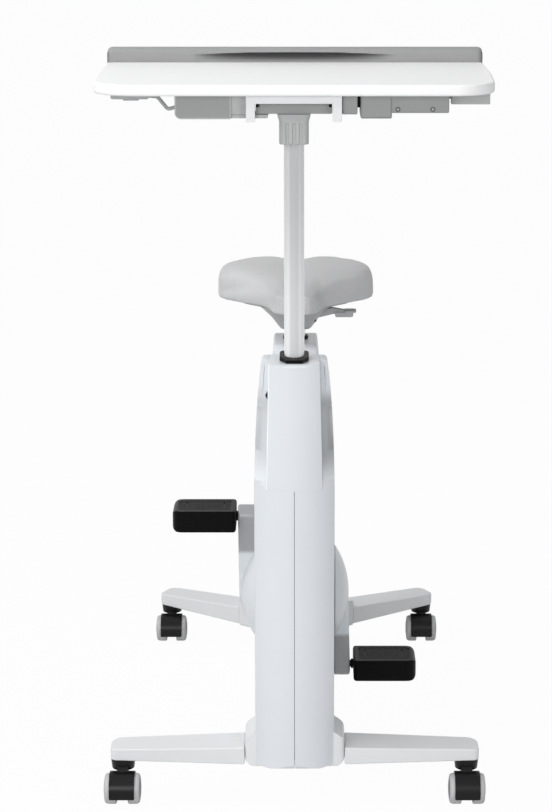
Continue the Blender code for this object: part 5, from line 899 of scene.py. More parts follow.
def offset_corners(corners, inset):
    """Move the sides of a counter-clockwise outline inwards, and its corner radii with them."""
    moved = []
    count = len(corners)
    for i, corner in enumerate(corners):
        here = Vector(corner[:2])
        inward = (here - Vector(corners[i - 1][:2])).normalized()
        outward = (Vector(corners[(i + 1) % count][:2]) - here).normalized()
        normal_in = Vector((-inward.y, inward.x))
        normal_out = Vector((-outward.y, outward.x))
        convex = inward.x * outward.y - inward.y * outward.x > 0
        here = here + inset * (normal_in + normal_out) / (1 + normal_in.dot(normal_out))
        radius = corner[2] - inset if convex else corner[2] + inset
        moved.append((here.x, here.y, max(radius, 0.0)))
    return moved


def oblong(u_span, v_span, *radii):
    """The corners of a rectangle, counter-clockwise from its lower left, with one radius or four."""
    (left, right), (low, high) = u_span, v_span
    places = ((left, low), (right, low), (right, high), (left, high))
    return [(u, v, radius) for (u, v), radius in zip(places, radii * (4 // len(radii)))]


def shifted(u, v, *corners):
    """Outline corners moved to a place."""
    return [(u + right, v + up, radius) for right, up, radius in corners]


def rounded(corners, inset=0.0, step=ARC_STEP):
    """The points of a counter-clockwise outline of (u, v, radius) corners, with round corners."""
    corners = offset_corners(corners, inset)
    count = len(corners)
    points = []
    for i, (u, v, radius) in enumerate(corners):
        here = Vector((u, v))
        inward = (here - Vector(corners[i - 1][:2])).normalized()
        outward = (Vector(corners[(i + 1) % count][:2]) - here).normalized()
        turn = math.atan2(inward.x * outward.y - inward.y * outward.x, inward.dot(outward))
        if radius <= 0 or abs(turn) < 0.001:
            points.append((u, v))
            continue
        reach = radius * math.tan(abs(turn) / 2)
        side = math.copysign(1.0, turn)
        centre = here - inward * reach + Vector((-inward.y, inward.x)) * radius * side
        first = here - inward * reach - centre
        steps = max(1, math.ceil(abs(turn) / step))
        for k in range(steps + 1):
            angle = turn * k / steps
            points.append((
                centre.x + first.x * math.cos(angle) - first.y * math.sin(angle),
                centre.y + first.x * math.sin(angle) + first.y * math.cos(angle)))
    return points


FACING = {
    "X": Matrix(((0, 0, 1, 0), (1, 0, 0, 0), (0, 1, 0, 0), (0, 0, 0, 1))),
    "Y": Matrix(((1, 0, 0, 0), (0, 0, -1, 0), (0, 1, 0, 0), (0, 0, 0, 1))),
    "Z": Matrix.Identity(4),
}


def curve_mesh(name, path, place=None, closed=True, **settings):
    """The mesh of a curve through (x, y, z) places, filled or bevelled as its settings say."""
    curve = bpy.data.curves.new(name, "CURVE")
    for key, value in settings.items():
        setattr(curve, key, value)
    spline = curve.splines.new("POLY")
    spline.points.add(len(path) - 1)
    for point, spot in zip(spline.points, path):
        point.co = (*spot, 1)
    spline.use_cyclic_u = closed
    guide = bpy.data.objects.new(name, curve)
    TOOLS.objects.link(guide)
    guide.matrix_world = place or Matrix.Identity(4)
    mesh = evaluated_mesh(guide)
    bpy.data.objects.remove(guide)
    return mesh_object(name, mesh)


def prism(name, outline, low, high, axis):
    """A flat outline drawn square to an axis and extruded between two values on it.

    The outline is in (Y, Z) for axis X, in (X, Z) for axis Y and in (X, Y) for axis Z.
    """
    shift = Vector([letter == axis for letter in "XYZ"])
    made = curve_mesh(
        name, [(u, v, 0) for u, v in outline], Matrix.Translation(shift * (low + high) / 2) @ FACING[axis],
        dimensions="2D", fill_mode="BOTH", extrude=(high - low) / 2)

    def even_out(work):
        bmesh.ops.remove_doubles(work, verts=work.verts, dist=MERGE)
        bmesh.ops.dissolve_limit(
            work, angle_limit=math.radians(0.2), verts=work.verts, edges=work.edges)
        bmesh.ops.recalc_face_normals(work, faces=work.faces)

    return edit(made, even_out)


def combine(target, tool, operation):
    """Boolean of one solid with another, which is used up."""
    step = target.modifiers.new("boolean", "BOOLEAN")
    step.operation = operation
    step.solver = "EXACT"
    step.object = tool
    bake(target)
    bpy.data.objects.remove(tool)
    return target


def cut(target, *tools):
    for tool in tools:
        combine(target, tool, "DIFFERENCE")
    return target


def join(target, *tools):
    for tool in tools:
        combine(target, tool, "UNION")
    return target


def trim(target, *tools):
    for tool in tools:
        combine(target, tool, "INTERSECT")
    return target


def round_edges(item, width, segments=4, angle=35):
    """Round the edges that are sharper than an angle."""
    bevel = item.modifiers.new("round", "BEVEL")
    bevel.width = width
    bevel.segments = segments
    bevel.limit_method = "ANGLE"
    bevel.angle_limit = math.radians(angle)
    bevel.use_clamp_overlap = True
    bake(item)

    def weld(work):
        bmesh.ops.remove_doubles(work, verts=work.verts, dist=0.00002)
        bmesh.ops.dissolve_degenerate(work, dist=MERGE, edges=work.edges)

    return edit(item, weld)


def copy_of(item, name):
    return mesh_object(name, item.data.copy())


def flip(item):
    """Move a solid to the other side of the bike."""
    item.data.transform(Matrix.Diagonal((-1, 1, 1, 1)))
    item.data.flip_normals()
    return item


def mirrored(item, name):
    """The same solid on the other side of the bike."""
    return flip(copy_of(item, name))


def subdivided(item):
    finer = item.modifiers.new("finer", "SUBSURF")
    finer.levels = 1
    finer.render_levels = 1
    return bake(item)


def seat_point(height):
    """A point on the seat post's axis, measured from the top of the rear column."""
    return SEAT_TOP + SEAT_AXIS * height


def body_outline(inset):
    """Side view of both columns and the base between them, in (Y, Z)."""
    across = Vector((0, REAR_COLUMN_DEPTH / 2 / math.cos(SEAT_LEAN), 0))
    back_top = SEAT_TOP + across
    front_top = SEAT_TOP - across
    lean = math.tan(SEAT_LEAN)
    slope_foot = COLUMN_TOP - CONSOLE_SLOPE_DROP
    corners = [
        (BODY_NOSE, BODY_BOTTOM, 0.013),
        (FRONT_Y + BODY_TAIL, BODY_BOTTOM, 0.012),
        (FRONT_Y + BODY_TAIL, TAIL_TOP, 0.020),
        (back_top.y - (back_top.z - TAIL_TOP) * lean, TAIL_TOP, 0.090),
        (back_top.y, back_top.z, 0.014),
        (front_top.y, front_top.z, 0.014),
        (front_top.y - (front_top.z - SADDLE_OF_BODY) * lean, SADDLE_OF_BODY, 0.110),
        (COLUMN_BACK, SADDLE_OF_BODY, 0.120),
        (COLUMN_BACK, slope_foot, 0.012),
        (COLUMN_BACK - CONSOLE_SLOPE_DEPTH, COLUMN_TOP, 0.012),
        (BODY_NOSE, COLUMN_TOP, 0.010),
    ]
    return rounded(corners, inset)


def front_plan(inset):
    """Plan view of the body's convex front face, in (X, Y)."""
    big = FRONT_FACE_RADIUS - inset
    small = FRONT_CORNER_RADIUS - inset
    corner_x = BODY_HALF - FRONT_CORNER_RADIUS
    reach = FRONT_FACE_RADIUS - FRONT_CORNER_RADIUS
    swing = math.asin(corner_x / reach)
    corner_y = FACE_CENTRE - reach * math.cos(swing)
    points = [(BODY_HALF - inset, REAR_Y + 0.1), (inset - BODY_HALF, REAR_Y + 0.1)]
    corner_steps = 8
    for k in range(corner_steps + 1):
        angle = math.pi / 2 + (swing - math.pi / 2) * k / corner_steps
        points.append((-corner_x - small * math.sin(angle), corner_y - small * math.cos(angle)))
    face_steps = 30
    for k in range(1, face_steps):
        angle = -swing + 2 * swing * k / face_steps
        points.append((big * math.sin(angle), FACE_CENTRE - big * math.cos(angle)))
    for k in range(corner_steps + 1):
        angle = swing + (math.pi / 2 - swing) * k / corner_steps
        points.append((corner_x + small * math.sin(angle), corner_y - small * math.cos(angle)))
    return points


def outer_half(y, z):
    """Half width of the body's outside at a place in its side view."""
    if y < CRANK_Y:
        if z <= SHOULDER_START:
            return BODY_HALF
        share = (z - SHOULDER_START) / (COLUMN_TOP - SHOULDER_START)
        return BODY_HALF + (SHOULDER_HALF - BODY_HALF) * share ** SHOULDER_BEND
    share = limited((z - SADDLE_OF_BODY) / (REAR_COLUMN_TOP - SADDLE_OF_BODY), 1.05)
    return BODY_HALF + (REAR_COLUMN_TOP_HALF - BODY_HALF) * share


def body_solid(name, inset, narrow=False):
    """The whole body as one solid, moved in by the wall for its inside."""
    half = BODY_HALF - inset
    solid = prism(name, body_outline(inset), -half, half, "X")
    if inset == 0:
        round_edges(solid, BODY_EDGE, segments=4, angle=40)
    levels = [SHOULDER_START + (COLUMN_TOP - SHOULDER_START) * share for share in LEVEL_SHARES]
    levels += [SADDLE_OF_BODY, COVER_FOOT - CAVITY_RUN, COVER_FOOT]

    def taper(work):
        for level in levels:
            split_level(work, level)
        for point in work.verts:
            wanted = outer_half(point.co.y, point.co.z) - inset
            if narrow and point.co.y < CRANK_Y:
                share = limited((point.co.z - (COVER_FOOT - CAVITY_RUN)) / CAVITY_RUN)
                wanted += (CAVITY_HALF - wanted) * share
            point.co.x *= wanted / half

    edit(solid, taper)
    return trim(solid, prism("plan", front_plan(inset), -0.1, COLUMN_TOP + 0.1, "Z"))


def bracket_solid(name, grow=0.0):
    """Casting under the front column, whose ends carry the legs."""
    front = FRONT_Y + LEG_FRONT_SETBACK - BRACKET_AHEAD
    back = front + BRACKET_DEPTH
    half = BRACKET_HALF
    outline = rounded(oblong((-half, half), (front, back), BRACKET_CORNER), -grow)
    solid = prism(name, outline, BRACKET_BOTTOM - grow, BRACKET_TOP + grow, "Z")
    shoulder = BRACKET_TOP - BRACKET_SLOPE_DROP
    flat = half - BRACKET_SLOPE_RUN
    profile = rounded([
        (-half - grow, BRACKET_BOTTOM - grow, 0.016),
        (half + grow, BRACKET_BOTTOM - grow, 0.016),
        (half + grow, shoulder, 0.010),
        (flat, BRACKET_TOP + grow, 0.006),
        (-flat, BRACKET_TOP + grow, 0.006),
        (-half - grow, shoulder, 0.010),
    ])
    return trim(solid, prism("profile", profile, front - 0.02, back + 0.02, "Y"))


def rear_bracket_outline(grow=0.0):
    """Plan view of the rear foot's bracket, whose slanted ends face the legs, in (X, Y)."""
    root = rear_leg_point(0.0)
    half = REAR_LEG_ROOT_DEPTH / 2 + REAR_BRACKET_MARGIN
    across = Vector((-math.sin(REAR_LEG_ANGLE), math.cos(REAR_LEG_ANGLE))) * half
    outward = Vector((math.cos(REAR_LEG_ANGLE), math.sin(REAR_LEG_ANGLE)))
    face = Vector((root.x, root.y)) - outward * GAP
    near = face - across
    far = face + across
    front = near.y - REAR_BRACKET_AHEAD
    back = far.y + REAR_BRACKET_BEHIND
    run = REAR_BRACKET_RUN
    corners = [
        (-near.x + run, front, 0.020), (near.x - run, front, 0.020), (near.x, near.y, 0.004),
        (far.x, far.y, 0.004), (far.x - run, back, 0.020), (-far.x + run, back, 0.020),
        (-far.x, far.y, 0.004), (-near.x, near.y, 0.004),
    ]
    return rounded(corners, -grow)


def rear_leg_point(distance):
    """A point on the middle line of the right rear leg, from its root outwards."""
    stem = Vector((REAR_TRACK / 2, REAR_Y + CASTER_TRAIL, 0))
    outward = Vector((math.cos(REAR_LEG_ANGLE), math.sin(REAR_LEG_ANGLE), 0))
    return stem + outward * (distance - REAR_LEG_RUN)


def beam_channel(low):
    """The room that a foot casting leaves for the base beam."""
    half = BEAM_WIDTH / 2 + GAP
    return box("channel", (-half, half), (FRONT_Y - 0.1, REAR_Y + 0.1), (low, BEAM_TOP + 0.05))


def leg_solid(name, outline, length, root, tip, lift):
    """A leg lying along +X: a plan outline whose height tapers from its root to its tip."""
    solid = prism(name, outline, 0.0, root, "Z")

    def taper(work):
        for point in work.verts:
            share = limited(point.co.x / length)
            height = root + (tip - root) * share
            point.co.z = lift * share + point.co.z / root * height

    edit(solid, taper)
    return round_edges(solid, LEG_EDGE, segments=4)


def build_feet():
    """The two foot castings and the four legs."""
    front = bracket_solid("front bracket")
    cut(front, beam_channel(BEAM_BOTTOM - GAP))
    round_edges(front, 0.0015, segments=3, angle=50)
    skin(front, "front_foot_bracket", look="white_paint")
    rear = prism("rear bracket", rear_bracket_outline(), REAR_BRACKET_BOTTOM, REAR_BRACKET_TOP, "Z")
    round_edges(rear, 0.0025, segments=3, angle=50)
    cut(rear, beam_channel(BEAM_BOTTOM - GAP))
    skin(rear, "rear_foot_bracket", look="white_paint")

    length = FRONT_LEG_REACH - BRACKET_HALF - GAP
    slant = FRONT_LEG_ROOT_DEPTH - FRONT_LEG_TIP_DEPTH
    outline = rounded([
        (0, 0, 0), (length, 0, 0.010), (length, FRONT_LEG_TIP_DEPTH, 0.022),
        (length * 0.9, FRONT_LEG_TIP_DEPTH + slant * 0.1, 0.0), (0, FRONT_LEG_ROOT_DEPTH, 0),
    ])
    tip_bottom = CASTER_HEIGHT + GAP
    root_bottom = BRACKET_BOTTOM + LEG_ROOT_RISE
    leg = leg_solid(
        "leg", outline, length, FRONT_LEG_ROOT_HEIGHT, FRONT_LEG_TIP_HEIGHT, tip_bottom - root_bottom)
    leg.matrix_world = Matrix.Translation(
        (BRACKET_HALF + GAP, FRONT_Y + LEG_FRONT_SETBACK, root_bottom))
    bake(leg)
    cut(leg, *caster_seat(FRONT_TRACK / 2, FRONT_Y + CASTER_TRAIL))
    skin(mirrored(leg, "leg"), "front_leg_left")
    skin(leg, "front_leg_right")

    reach = REAR_LEG_RUN + REAR_LEG_TIP_OVERHANG
    half_root = REAR_LEG_ROOT_DEPTH / 2
    half_tip = REAR_LEG_TIP_DEPTH / 2
    outline = rounded([
        (0, -half_root, 0), (reach, -half_tip, 0.012), (reach, half_tip, 0.018), (0, half_root, 0),
    ])
    root_bottom = REAR_BRACKET_BOTTOM + REAR_LEG_ROOT_RISE
    leg = leg_solid(
        "leg", outline, reach, REAR_LEG_ROOT_HEIGHT, REAR_LEG_TIP_HEIGHT, tip_bottom - root_bottom)
    leg.matrix_world = (
        Matrix.Translation(rear_leg_point(0.0) + Vector((0, 0, root_bottom)))
        @ Matrix.Rotation(REAR_LEG_ANGLE, 4, "Z"))
    bake(leg)
    cut(leg, *caster_seat(REAR_TRACK / 2, REAR_Y + CASTER_TRAIL))
    skin(mirrored(leg, "leg"), "rear_leg_left")
    skin(leg, "rear_leg_right")


def caster_seat(x, y):
    """The flat face and the hole that a leg has for its caster's neck and stem."""
    low = CASTER_HEIGHT - 0.02
    seat = CASTER_HEIGHT + GAP
    top = CASTER_HEIGHT + STEM_DEPTH + 0.001
    face = rod("face", (x, y, low), (x, y, seat), NECK_RADIUS + 0.0015, sides=48)
    hole = rod("hole", (x, y, low), (x, y, top), STEM_RADIUS + GAP, sides=32)
    return face, hole


def yoke_solid(x, y):
    """Black caster yoke: stem, neck, the leg between the wheels and the hood over them."""
    axle = Vector((x, y, WHEEL_RADIUS))
    stem = Vector((x, y + CASTER_TRAIL, 0))
    inner = WHEEL_RADIUS + 0.0010
    outer = inner + HOOD_WALL
    arc = []
    steps = 24
    for radius, first, last in (
            (outer, HOOD_LOW_ANGLE, HOOD_HIGH_ANGLE), (inner, HOOD_HIGH_ANGLE, HOOD_LOW_ANGLE)):
        for k in range(steps + 1):
            angle = first + (last - first) * k / steps
            arc.append((axle.y - radius * math.cos(angle), axle.z + radius * math.sin(angle)))
    arc.reverse()
    half = HOOD_WIDTH / 2
    hood = prism("hood", arc, x - half, x + half, "X")
    low = axle.z + outer * math.sin(HOOD_LOW_ANGLE) - 0.0003
    face = oblong((x - half, x + half), (low, CASTER_HEIGHT), HOOD_CORNER, HOOD_CORNER, 0.006, 0.006)
    trim(hood, prism("face", rounded(face), axle.y - 0.06, axle.y + 0.06, "Y"))
    round_edges(hood, 0.0007, segments=2, angle=60)
    web_half = CASTER_WEB / 2
    web = prism("web", rounded([
        (axle.y - 0.018, axle.z - 0.010, 0.009), (axle.y + 0.010, axle.z - 0.012, 0.009),
        (stem.y + 0.004, axle.z + 0.010, 0.006), (stem.y + 0.004, CASTER_HEIGHT - 0.010, 0.0),
        (axle.y + 0.008, CASTER_HEIGHT - 0.010, 0.0), (axle.y - 0.004, axle.z + 0.026, 0.004),
        (axle.y - 0.020, axle.z + 0.017, 0.004),
    ]), x - web_half, x + web_half, "X")
    neck = turned("neck", [
        (0, CASTER_HEIGHT), (NECK_RADIUS - 0.001, CASTER_HEIGHT),
        (NECK_RADIUS, CASTER_HEIGHT - 0.004), (NECK_RADIUS - 0.0015, CASTER_HEIGHT - NECK_HEIGHT),
        (0, CASTER_HEIGHT - NECK_HEIGHT),
    ], stem, (0, 0, 1), steps=48)
    post = rod(
        "stem", stem + Vector((0, 0, CASTER_HEIGHT - 0.004)),
        stem + Vector((0, 0, CASTER_HEIGHT + STEM_DEPTH)), STEM_RADIUS, sides=64)
    join(hood, web, neck, post)
    side = Vector((CASTER_WEB, 0, 0))
    return cut(hood, rod("bore", axle - side, axle + side, WHEEL_AXLE_RADIUS + RUNNING, sides=32))


def wheel_pair(name, one_side, x, y):
    """Both wheels' turned parts on one axle, from the profile of one."""
    other_side = [(radius, -height) for radius, height in reversed(one_side)]
    return turned(name, one_side + other_side, (x, y, WHEEL_RADIUS), (1, 0, 0), steps=64)


def tyre_solid(x, y):
    """Twin pale tyres on one axle, turned in one profile."""
    half = WHEEL_FACE
    gap = CASTER_WEB / 2 + RUNNING
    tyre = WHEEL_RADIUS
    hub = HUB_RADIUS
    one_side = [
        (WHEEL_AXLE_RADIUS, gap + 0.004), (hub, gap + 0.004), (hub, half - 0.0006), (hub + 0.0006, half),
        (tyre - 0.0052, half), (tyre - 0.0030, half - 0.0007), (tyre - 0.0013, half - 0.0022),
        (tyre - 0.0003, half - 0.0045), (tyre, half - 0.0075), (tyre, gap + 0.0015), (tyre - 0.0015, gap),
        (WHEEL_AXLE_RADIUS, gap),
    ]
    return wheel_pair("tyres", one_side, x, y)


def hub_solid(x, y):
    """The wheels' dark hub discs, domed past the tyres, on their axle."""
    half = WHEEL_FACE
    inner = CASTER_WEB / 2 + RUNNING + 0.0042
    hub = HUB_RADIUS - 0.0002
    one_side = [
        (0.0, half + HUB_BULGE), (hub * 0.30, half + HUB_BULGE * 0.95), (hub * 0.60, half + HUB_BULGE * 0.75),
        (hub * 0.82, half + HUB_BULGE * 0.45), (hub * 0.95, half + HUB_BULGE * 0.10), (hub, half - 0.0008),
        (hub, inner), (WHEEL_AXLE_RADIUS - 0.0002, inner),
    ]
    return wheel_pair("hubs", one_side, x, y)


def build_casters():
    """Four twin-wheel casters, whose wheels trail towards the desktop end."""
    spots = {
        "front_left": (-FRONT_TRACK / 2, FRONT_Y), "front_right": (FRONT_TRACK / 2, FRONT_Y),
        "rear_left": (-REAR_TRACK / 2, REAR_Y), "rear_right": (REAR_TRACK / 2, REAR_Y),
    }
    for spot, (x, y) in spots.items():
        skin(yoke_solid(x, y), "caster_yoke_" + spot, look="satin_black")
        wheels = "caster_wheels_" + spot
        skin(tyre_solid(x, y), wheels)
        skin(hub_solid(x, y), wheels, "caster_hubs_" + spot, "hub_grey", hides=False)


def cover_prism(name, grow, foot, back):
    """The tapered front panel's width in front view, from far ahead to a depth."""
    top = COLUMN_TOP + 0.05
    low_half = COVER_FOOT_HALF + grow - (foot - COVER_FOOT) * COVER_SLOPE
    top_half = COVER_FOOT_HALF + grow - (top - COVER_FOOT) * COVER_SLOPE
    outline = [(-low_half, foot), (low_half, foot), (top_half, top), (-top_half, top)]
    return prism(name, outline, AHEAD, back, "Y")


def cheek_line(height):
    """Depth and turn of the scoop at a height: the table's values, evened out up and down."""
    depth = turn = 0.0
    reach = 4
    count = 2 * reach + 1
    for k in range(-reach, reach + 1):
        place = min(max(height + k * CHEEK_STEP, CHEEKS[0][0]), CHEEKS[-1][0])
        for low, high in zip(CHEEKS, CHEEKS[1:]):
            if place <= high[0]:
                share = (place - low[0]) / (high[0] - low[0])
                depth += (low[1] + (high[1] - low[1]) * share) / count
                turn += (low[2] + (high[2] - low[2]) * share) / count
                break
    return depth, turn


def cheek_tool():
    """The scooped cut beside the front panel, which leaves the panel proud of the right shell."""
    far = 0.12
    work = bmesh.new()
    rows = []
    foot, head = CHEEKS[0][0], CHEEKS[-2][0] + 0.02
    count = round((head - foot) / CHEEK_STEP)
    for k in range(count + 2):
        height = foot + (head - foot) * k / count if k <= count else CHEEKS[-1][0]
        depth, turn = cheek_line(height)
        edge_x = COVER_FOOT_HALF + GAP / 2 - (height - COVER_FOOT) * COVER_SLOPE
        edge_y = FACE_CENTRE - math.sqrt(FRONT_FACE_RADIUS ** 2 - edge_x ** 2) + depth
        rise = math.tan(math.radians(turn))
        near = edge_x - CHEEK_OVERLAP
        rows.append([work.verts.new(place) for place in (
            (near, AHEAD, height), (far, AHEAD, height), (far, edge_y + (far - edge_x) * rise, height),
            (near, edge_y - CHEEK_OVERLAP * rise, height))])
    work.faces.new(rows[0])
    work.faces.new(list(reversed(rows[-1])))
    for below, above in zip(rows, rows[1:]):
        for k in range(4):
            work.faces.new((below[k], above[k], above[(k + 1) % 4], below[(k + 1) % 4]))
    bmesh.ops.recalc_face_normals(work, faces=work.faces)
    return solid_from("cheek", work)


def build_console_cheeks(outer):
    """The console's front corners beside the panel, each with a fine groove."""
    cheek = copy_of(outer, "cheek")
    trim(cheek, box("corner", (0.02, 0.1), (AHEAD, COVER_BACK), (CONSOLE_FOOT, COLUMN_TOP + 0.1)))
    cut(cheek, cover_prism("front panel", GAP / 2, CONSOLE_FOOT - 0.01, COVER_BACK + 0.05))
    cut(cheek, cheek_tool())
    (top_x, top_z), (low_x, low_z) = GROOVE_LINE
    half = 0.0004
    cut(cheek, prism("groove", [
        (low_x - half, low_z), (low_x + half, low_z), (top_x + half, top_z), (top_x - half, top_z),
    ], AHEAD, GROOVE_FLOOR, "Y"))
    skin(mirrored(cheek, "cheek"), "console_housing", "console_cheek_left", "shell_painted_shade", hides=False)
    skin(cheek, "console_housing", "console_cheek_right", "shell_painted_shade", hides=False)
    # A small black prism beside the panel on the left: painted shade standing in for a small gap.
    notch_shade = prism("notch_shade", [(-0.0462, 0.6915), (-0.0440, 0.6868), (-0.0436, 0.6972)], -0.3945, -0.3850, "Y")
    skin(notch_shade, "console_housing", "console_notch_shade", "black_plastic", hides=False)


def rear_cap_tool(low, high):
    """A block square to the seat post, across the rear column, whose top is level."""
    block = box("block", (-0.1, 0.1), (-0.12, 0.12), (low, high))
    block.matrix_world = Matrix.Translation(SEAT_TOP) @ Matrix.Rotation(-SEAT_LEAN, 4, "X")
    return bake(block)


def build_body(outer):
    """Two half shells, the front cover, the console housing and the rear column's cap."""
    shell = copy_of(outer, "shell")
    trim(shell, box("right half", (SEAM / 2, 0.2), (AHEAD, REAR_Y + 0.2), (0, 1)))
    cut(shell, box("console", (-0.1, 0.11), (AHEAD, CRANK_Y), (CONSOLE_FOOT, COLUMN_TOP + 0.12)))
    cut(shell, rear_cap_tool(-REAR_CAP_HEIGHT, 0.1))
    cut(shell, body_solid("inside", WALL, narrow=True))
    cut(shell, cover_prism("front panel", GAP / 2, COVER_FOOT - GAP / 2, COVER_BACK + GAP / 2))
    cut(shell, cheek_tool())
    cut(shell, bracket_solid("front notch", GAP))
    cut(shell, prism(
        "rear notch", rear_bracket_outline(GAP), REAR_BRACKET_BOTTOM - 0.02, REAR_BRACKET_TOP + GAP, "Z"))
    side = Vector((0.1, 0, 0))
    cut(shell, rod("spindle hole", CRANK_POINT - side, CRANK_POINT + side, SPINDLE_RADIUS + 0.004))
    knob = Vector((0, COLUMN_BACK - 0.02, KNOB_HEIGHT))
    cut(shell, rod("knob hole", knob, knob + Vector((0, 0.04, 0)), KNOB_SHAFT_RADIUS + RUNNING, sides=48))
    skin(mirrored(shell, "shell"), "body_shell_left", look="shell_painted_shade")
    skin(shell, "body_shell_right", look="shell_painted_shade")

    plain_inside = body_solid("inside", WALL)
    cover = copy_of(outer, "cover")
    foot = COVER_FOOT + GAP / 2
    back = COVER_BACK - GAP / 2
    trim(cover, cover_prism("front panel", -GAP / 2, foot - 0.01, back))
    hollow = copy_of(plain_inside, "hollow")
    trim(hollow, cover_prism("front panel", -WALL, foot - 0.02, back + 0.01))
    cut(cover, hollow)
    low, high = COLUMN_TOP - 0.03, COLUMN_TOP + 0.03
    cut(cover, rod("post hole", (0, POST_Y, low), (0, POST_Y, high), DESK_SLEEVE_RADIUS + GAP))
    round_edges(cover, 0.0018, segments=3, angle=50)
    trim(cover, box("above the foot", (-0.1, 0.1), (AHEAD, REAR_Y), (COVER_FOOT, 1)))
    low, high = COVER_FOOT - 0.01, COLUMN_TOP + 0.01
    beside = [
        (-COVER_FOOT_HALF + PANEL_HIGHLIGHT_WIDTH, low), (-COVER_TOP_HALF + PANEL_HIGHLIGHT_WIDTH, high), (-0.1, high), (-0.1, low)]
    # The panel's left edge is cut off as a strip in a paler, glossier finish: a painted highlight.
    strip = copy_of(cover, "strip")
    trim(strip, prism("beside", beside, AHEAD, FRONT_Y + 0.02, "Y"))
    cut(cover, prism("beside", beside, AHEAD, FRONT_Y + 0.02, "Y"))
    skin(strip, "column_cover", "cover_edge_highlight", "edge_white", hides=False)
    skin(cover, "column_cover")
    build_console_cheeks(outer)

    console = copy_of(outer, "console")
    foot = CONSOLE_FOOT + GAP
    front = COVER_BACK + GAP / 2
    trim(console, box("console", (-0.1, 0.1), (front, CRANK_Y), (foot, COLUMN_TOP + 0.1)))
    trim(plain_inside, box(
        "console", (-0.1, 0.1), (front + WALL, CRANK_Y), (foot - 0.01, COLUMN_TOP - 0.006)))
    cut(console, plain_inside)
    cut(console, display_solid(GAP, 0.01))
    skin(console, "console_housing")
    skin(display_solid(0.0, 0.0006), "display")

    cap = copy_of(outer, "cap")
    trim(cap, rear_cap_tool(GAP - REAR_CAP_HEIGHT, 0.1))
    tube_room = rod("tube room", seat_point(-0.1), seat_point(-0.0115), SEAT_TUBE_RADIUS + GAP)
    post_hole = rod("post hole", seat_point(-0.1), seat_point(0.02), SEAT_SLEEVE_RADIUS + GAP)
    cut(cap, tube_room, post_hole)
    skin(cap, "rear_column_cap")
    bpy.data.objects.remove(outer)


def display_solid(grow, out):
    """The screen on the slanted top of the console."""
    slope = math.atan2(CONSOLE_SLOPE_DROP, CONSOLE_SLOPE_DEPTH)
    middle = Vector((0, COLUMN_BACK - CONSOLE_SLOPE_DEPTH / 2, COLUMN_TOP - CONSOLE_SLOPE_DROP / 2))
    half_u = DISPLAY_WIDTH / 2 + grow
    half_v = DISPLAY_HEIGHT / 2 + grow
    outline = rounded(oblong((-half_u, half_u), (-half_v, half_v), 0.005))
    solid = prism("display", outline, -DISPLAY_THICKNESS - grow, out, "Z")
    solid.matrix_world = Matrix.Translation(middle) @ Matrix.Rotation(-slope, 4, "X")
    return bake(solid)


def build_knob():
    """Fluted resistance knob on the rider's side of the front column."""
    seat = Vector((0, COLUMN_BACK + GAP, KNOB_HEIGHT))
    knob = turned("knob", [
        (0, KNOB_LENGTH), (KNOB_RADIUS - 0.006, KNOB_LENGTH), (KNOB_RADIUS - 0.004, KNOB_LENGTH - 0.002),
        (KNOB_RADIUS - 0.0025, 0.004), (KNOB_RADIUS, 0.003), (KNOB_RADIUS, 0.0),
        (KNOB_SHAFT_RADIUS, 0.0), (KNOB_SHAFT_RADIUS, -0.012), (0, -0.012),
    ], seat, (0, 1, 0), steps=64)
    flutes = 8
    for k in range(flutes):
        angle = 2 * math.pi * (k + 0.3) / flutes
        out = Vector((math.cos(angle), 0, math.sin(angle))) * (KNOB_RADIUS - 0.0005)
        start = seat + out + Vector((0, 0.0045, 0))
        cut(knob, rod("flute", start, start + Vector((0, 0.03, 0)), 0.0035, sides=20))
    skin(knob, "resistance_knob")


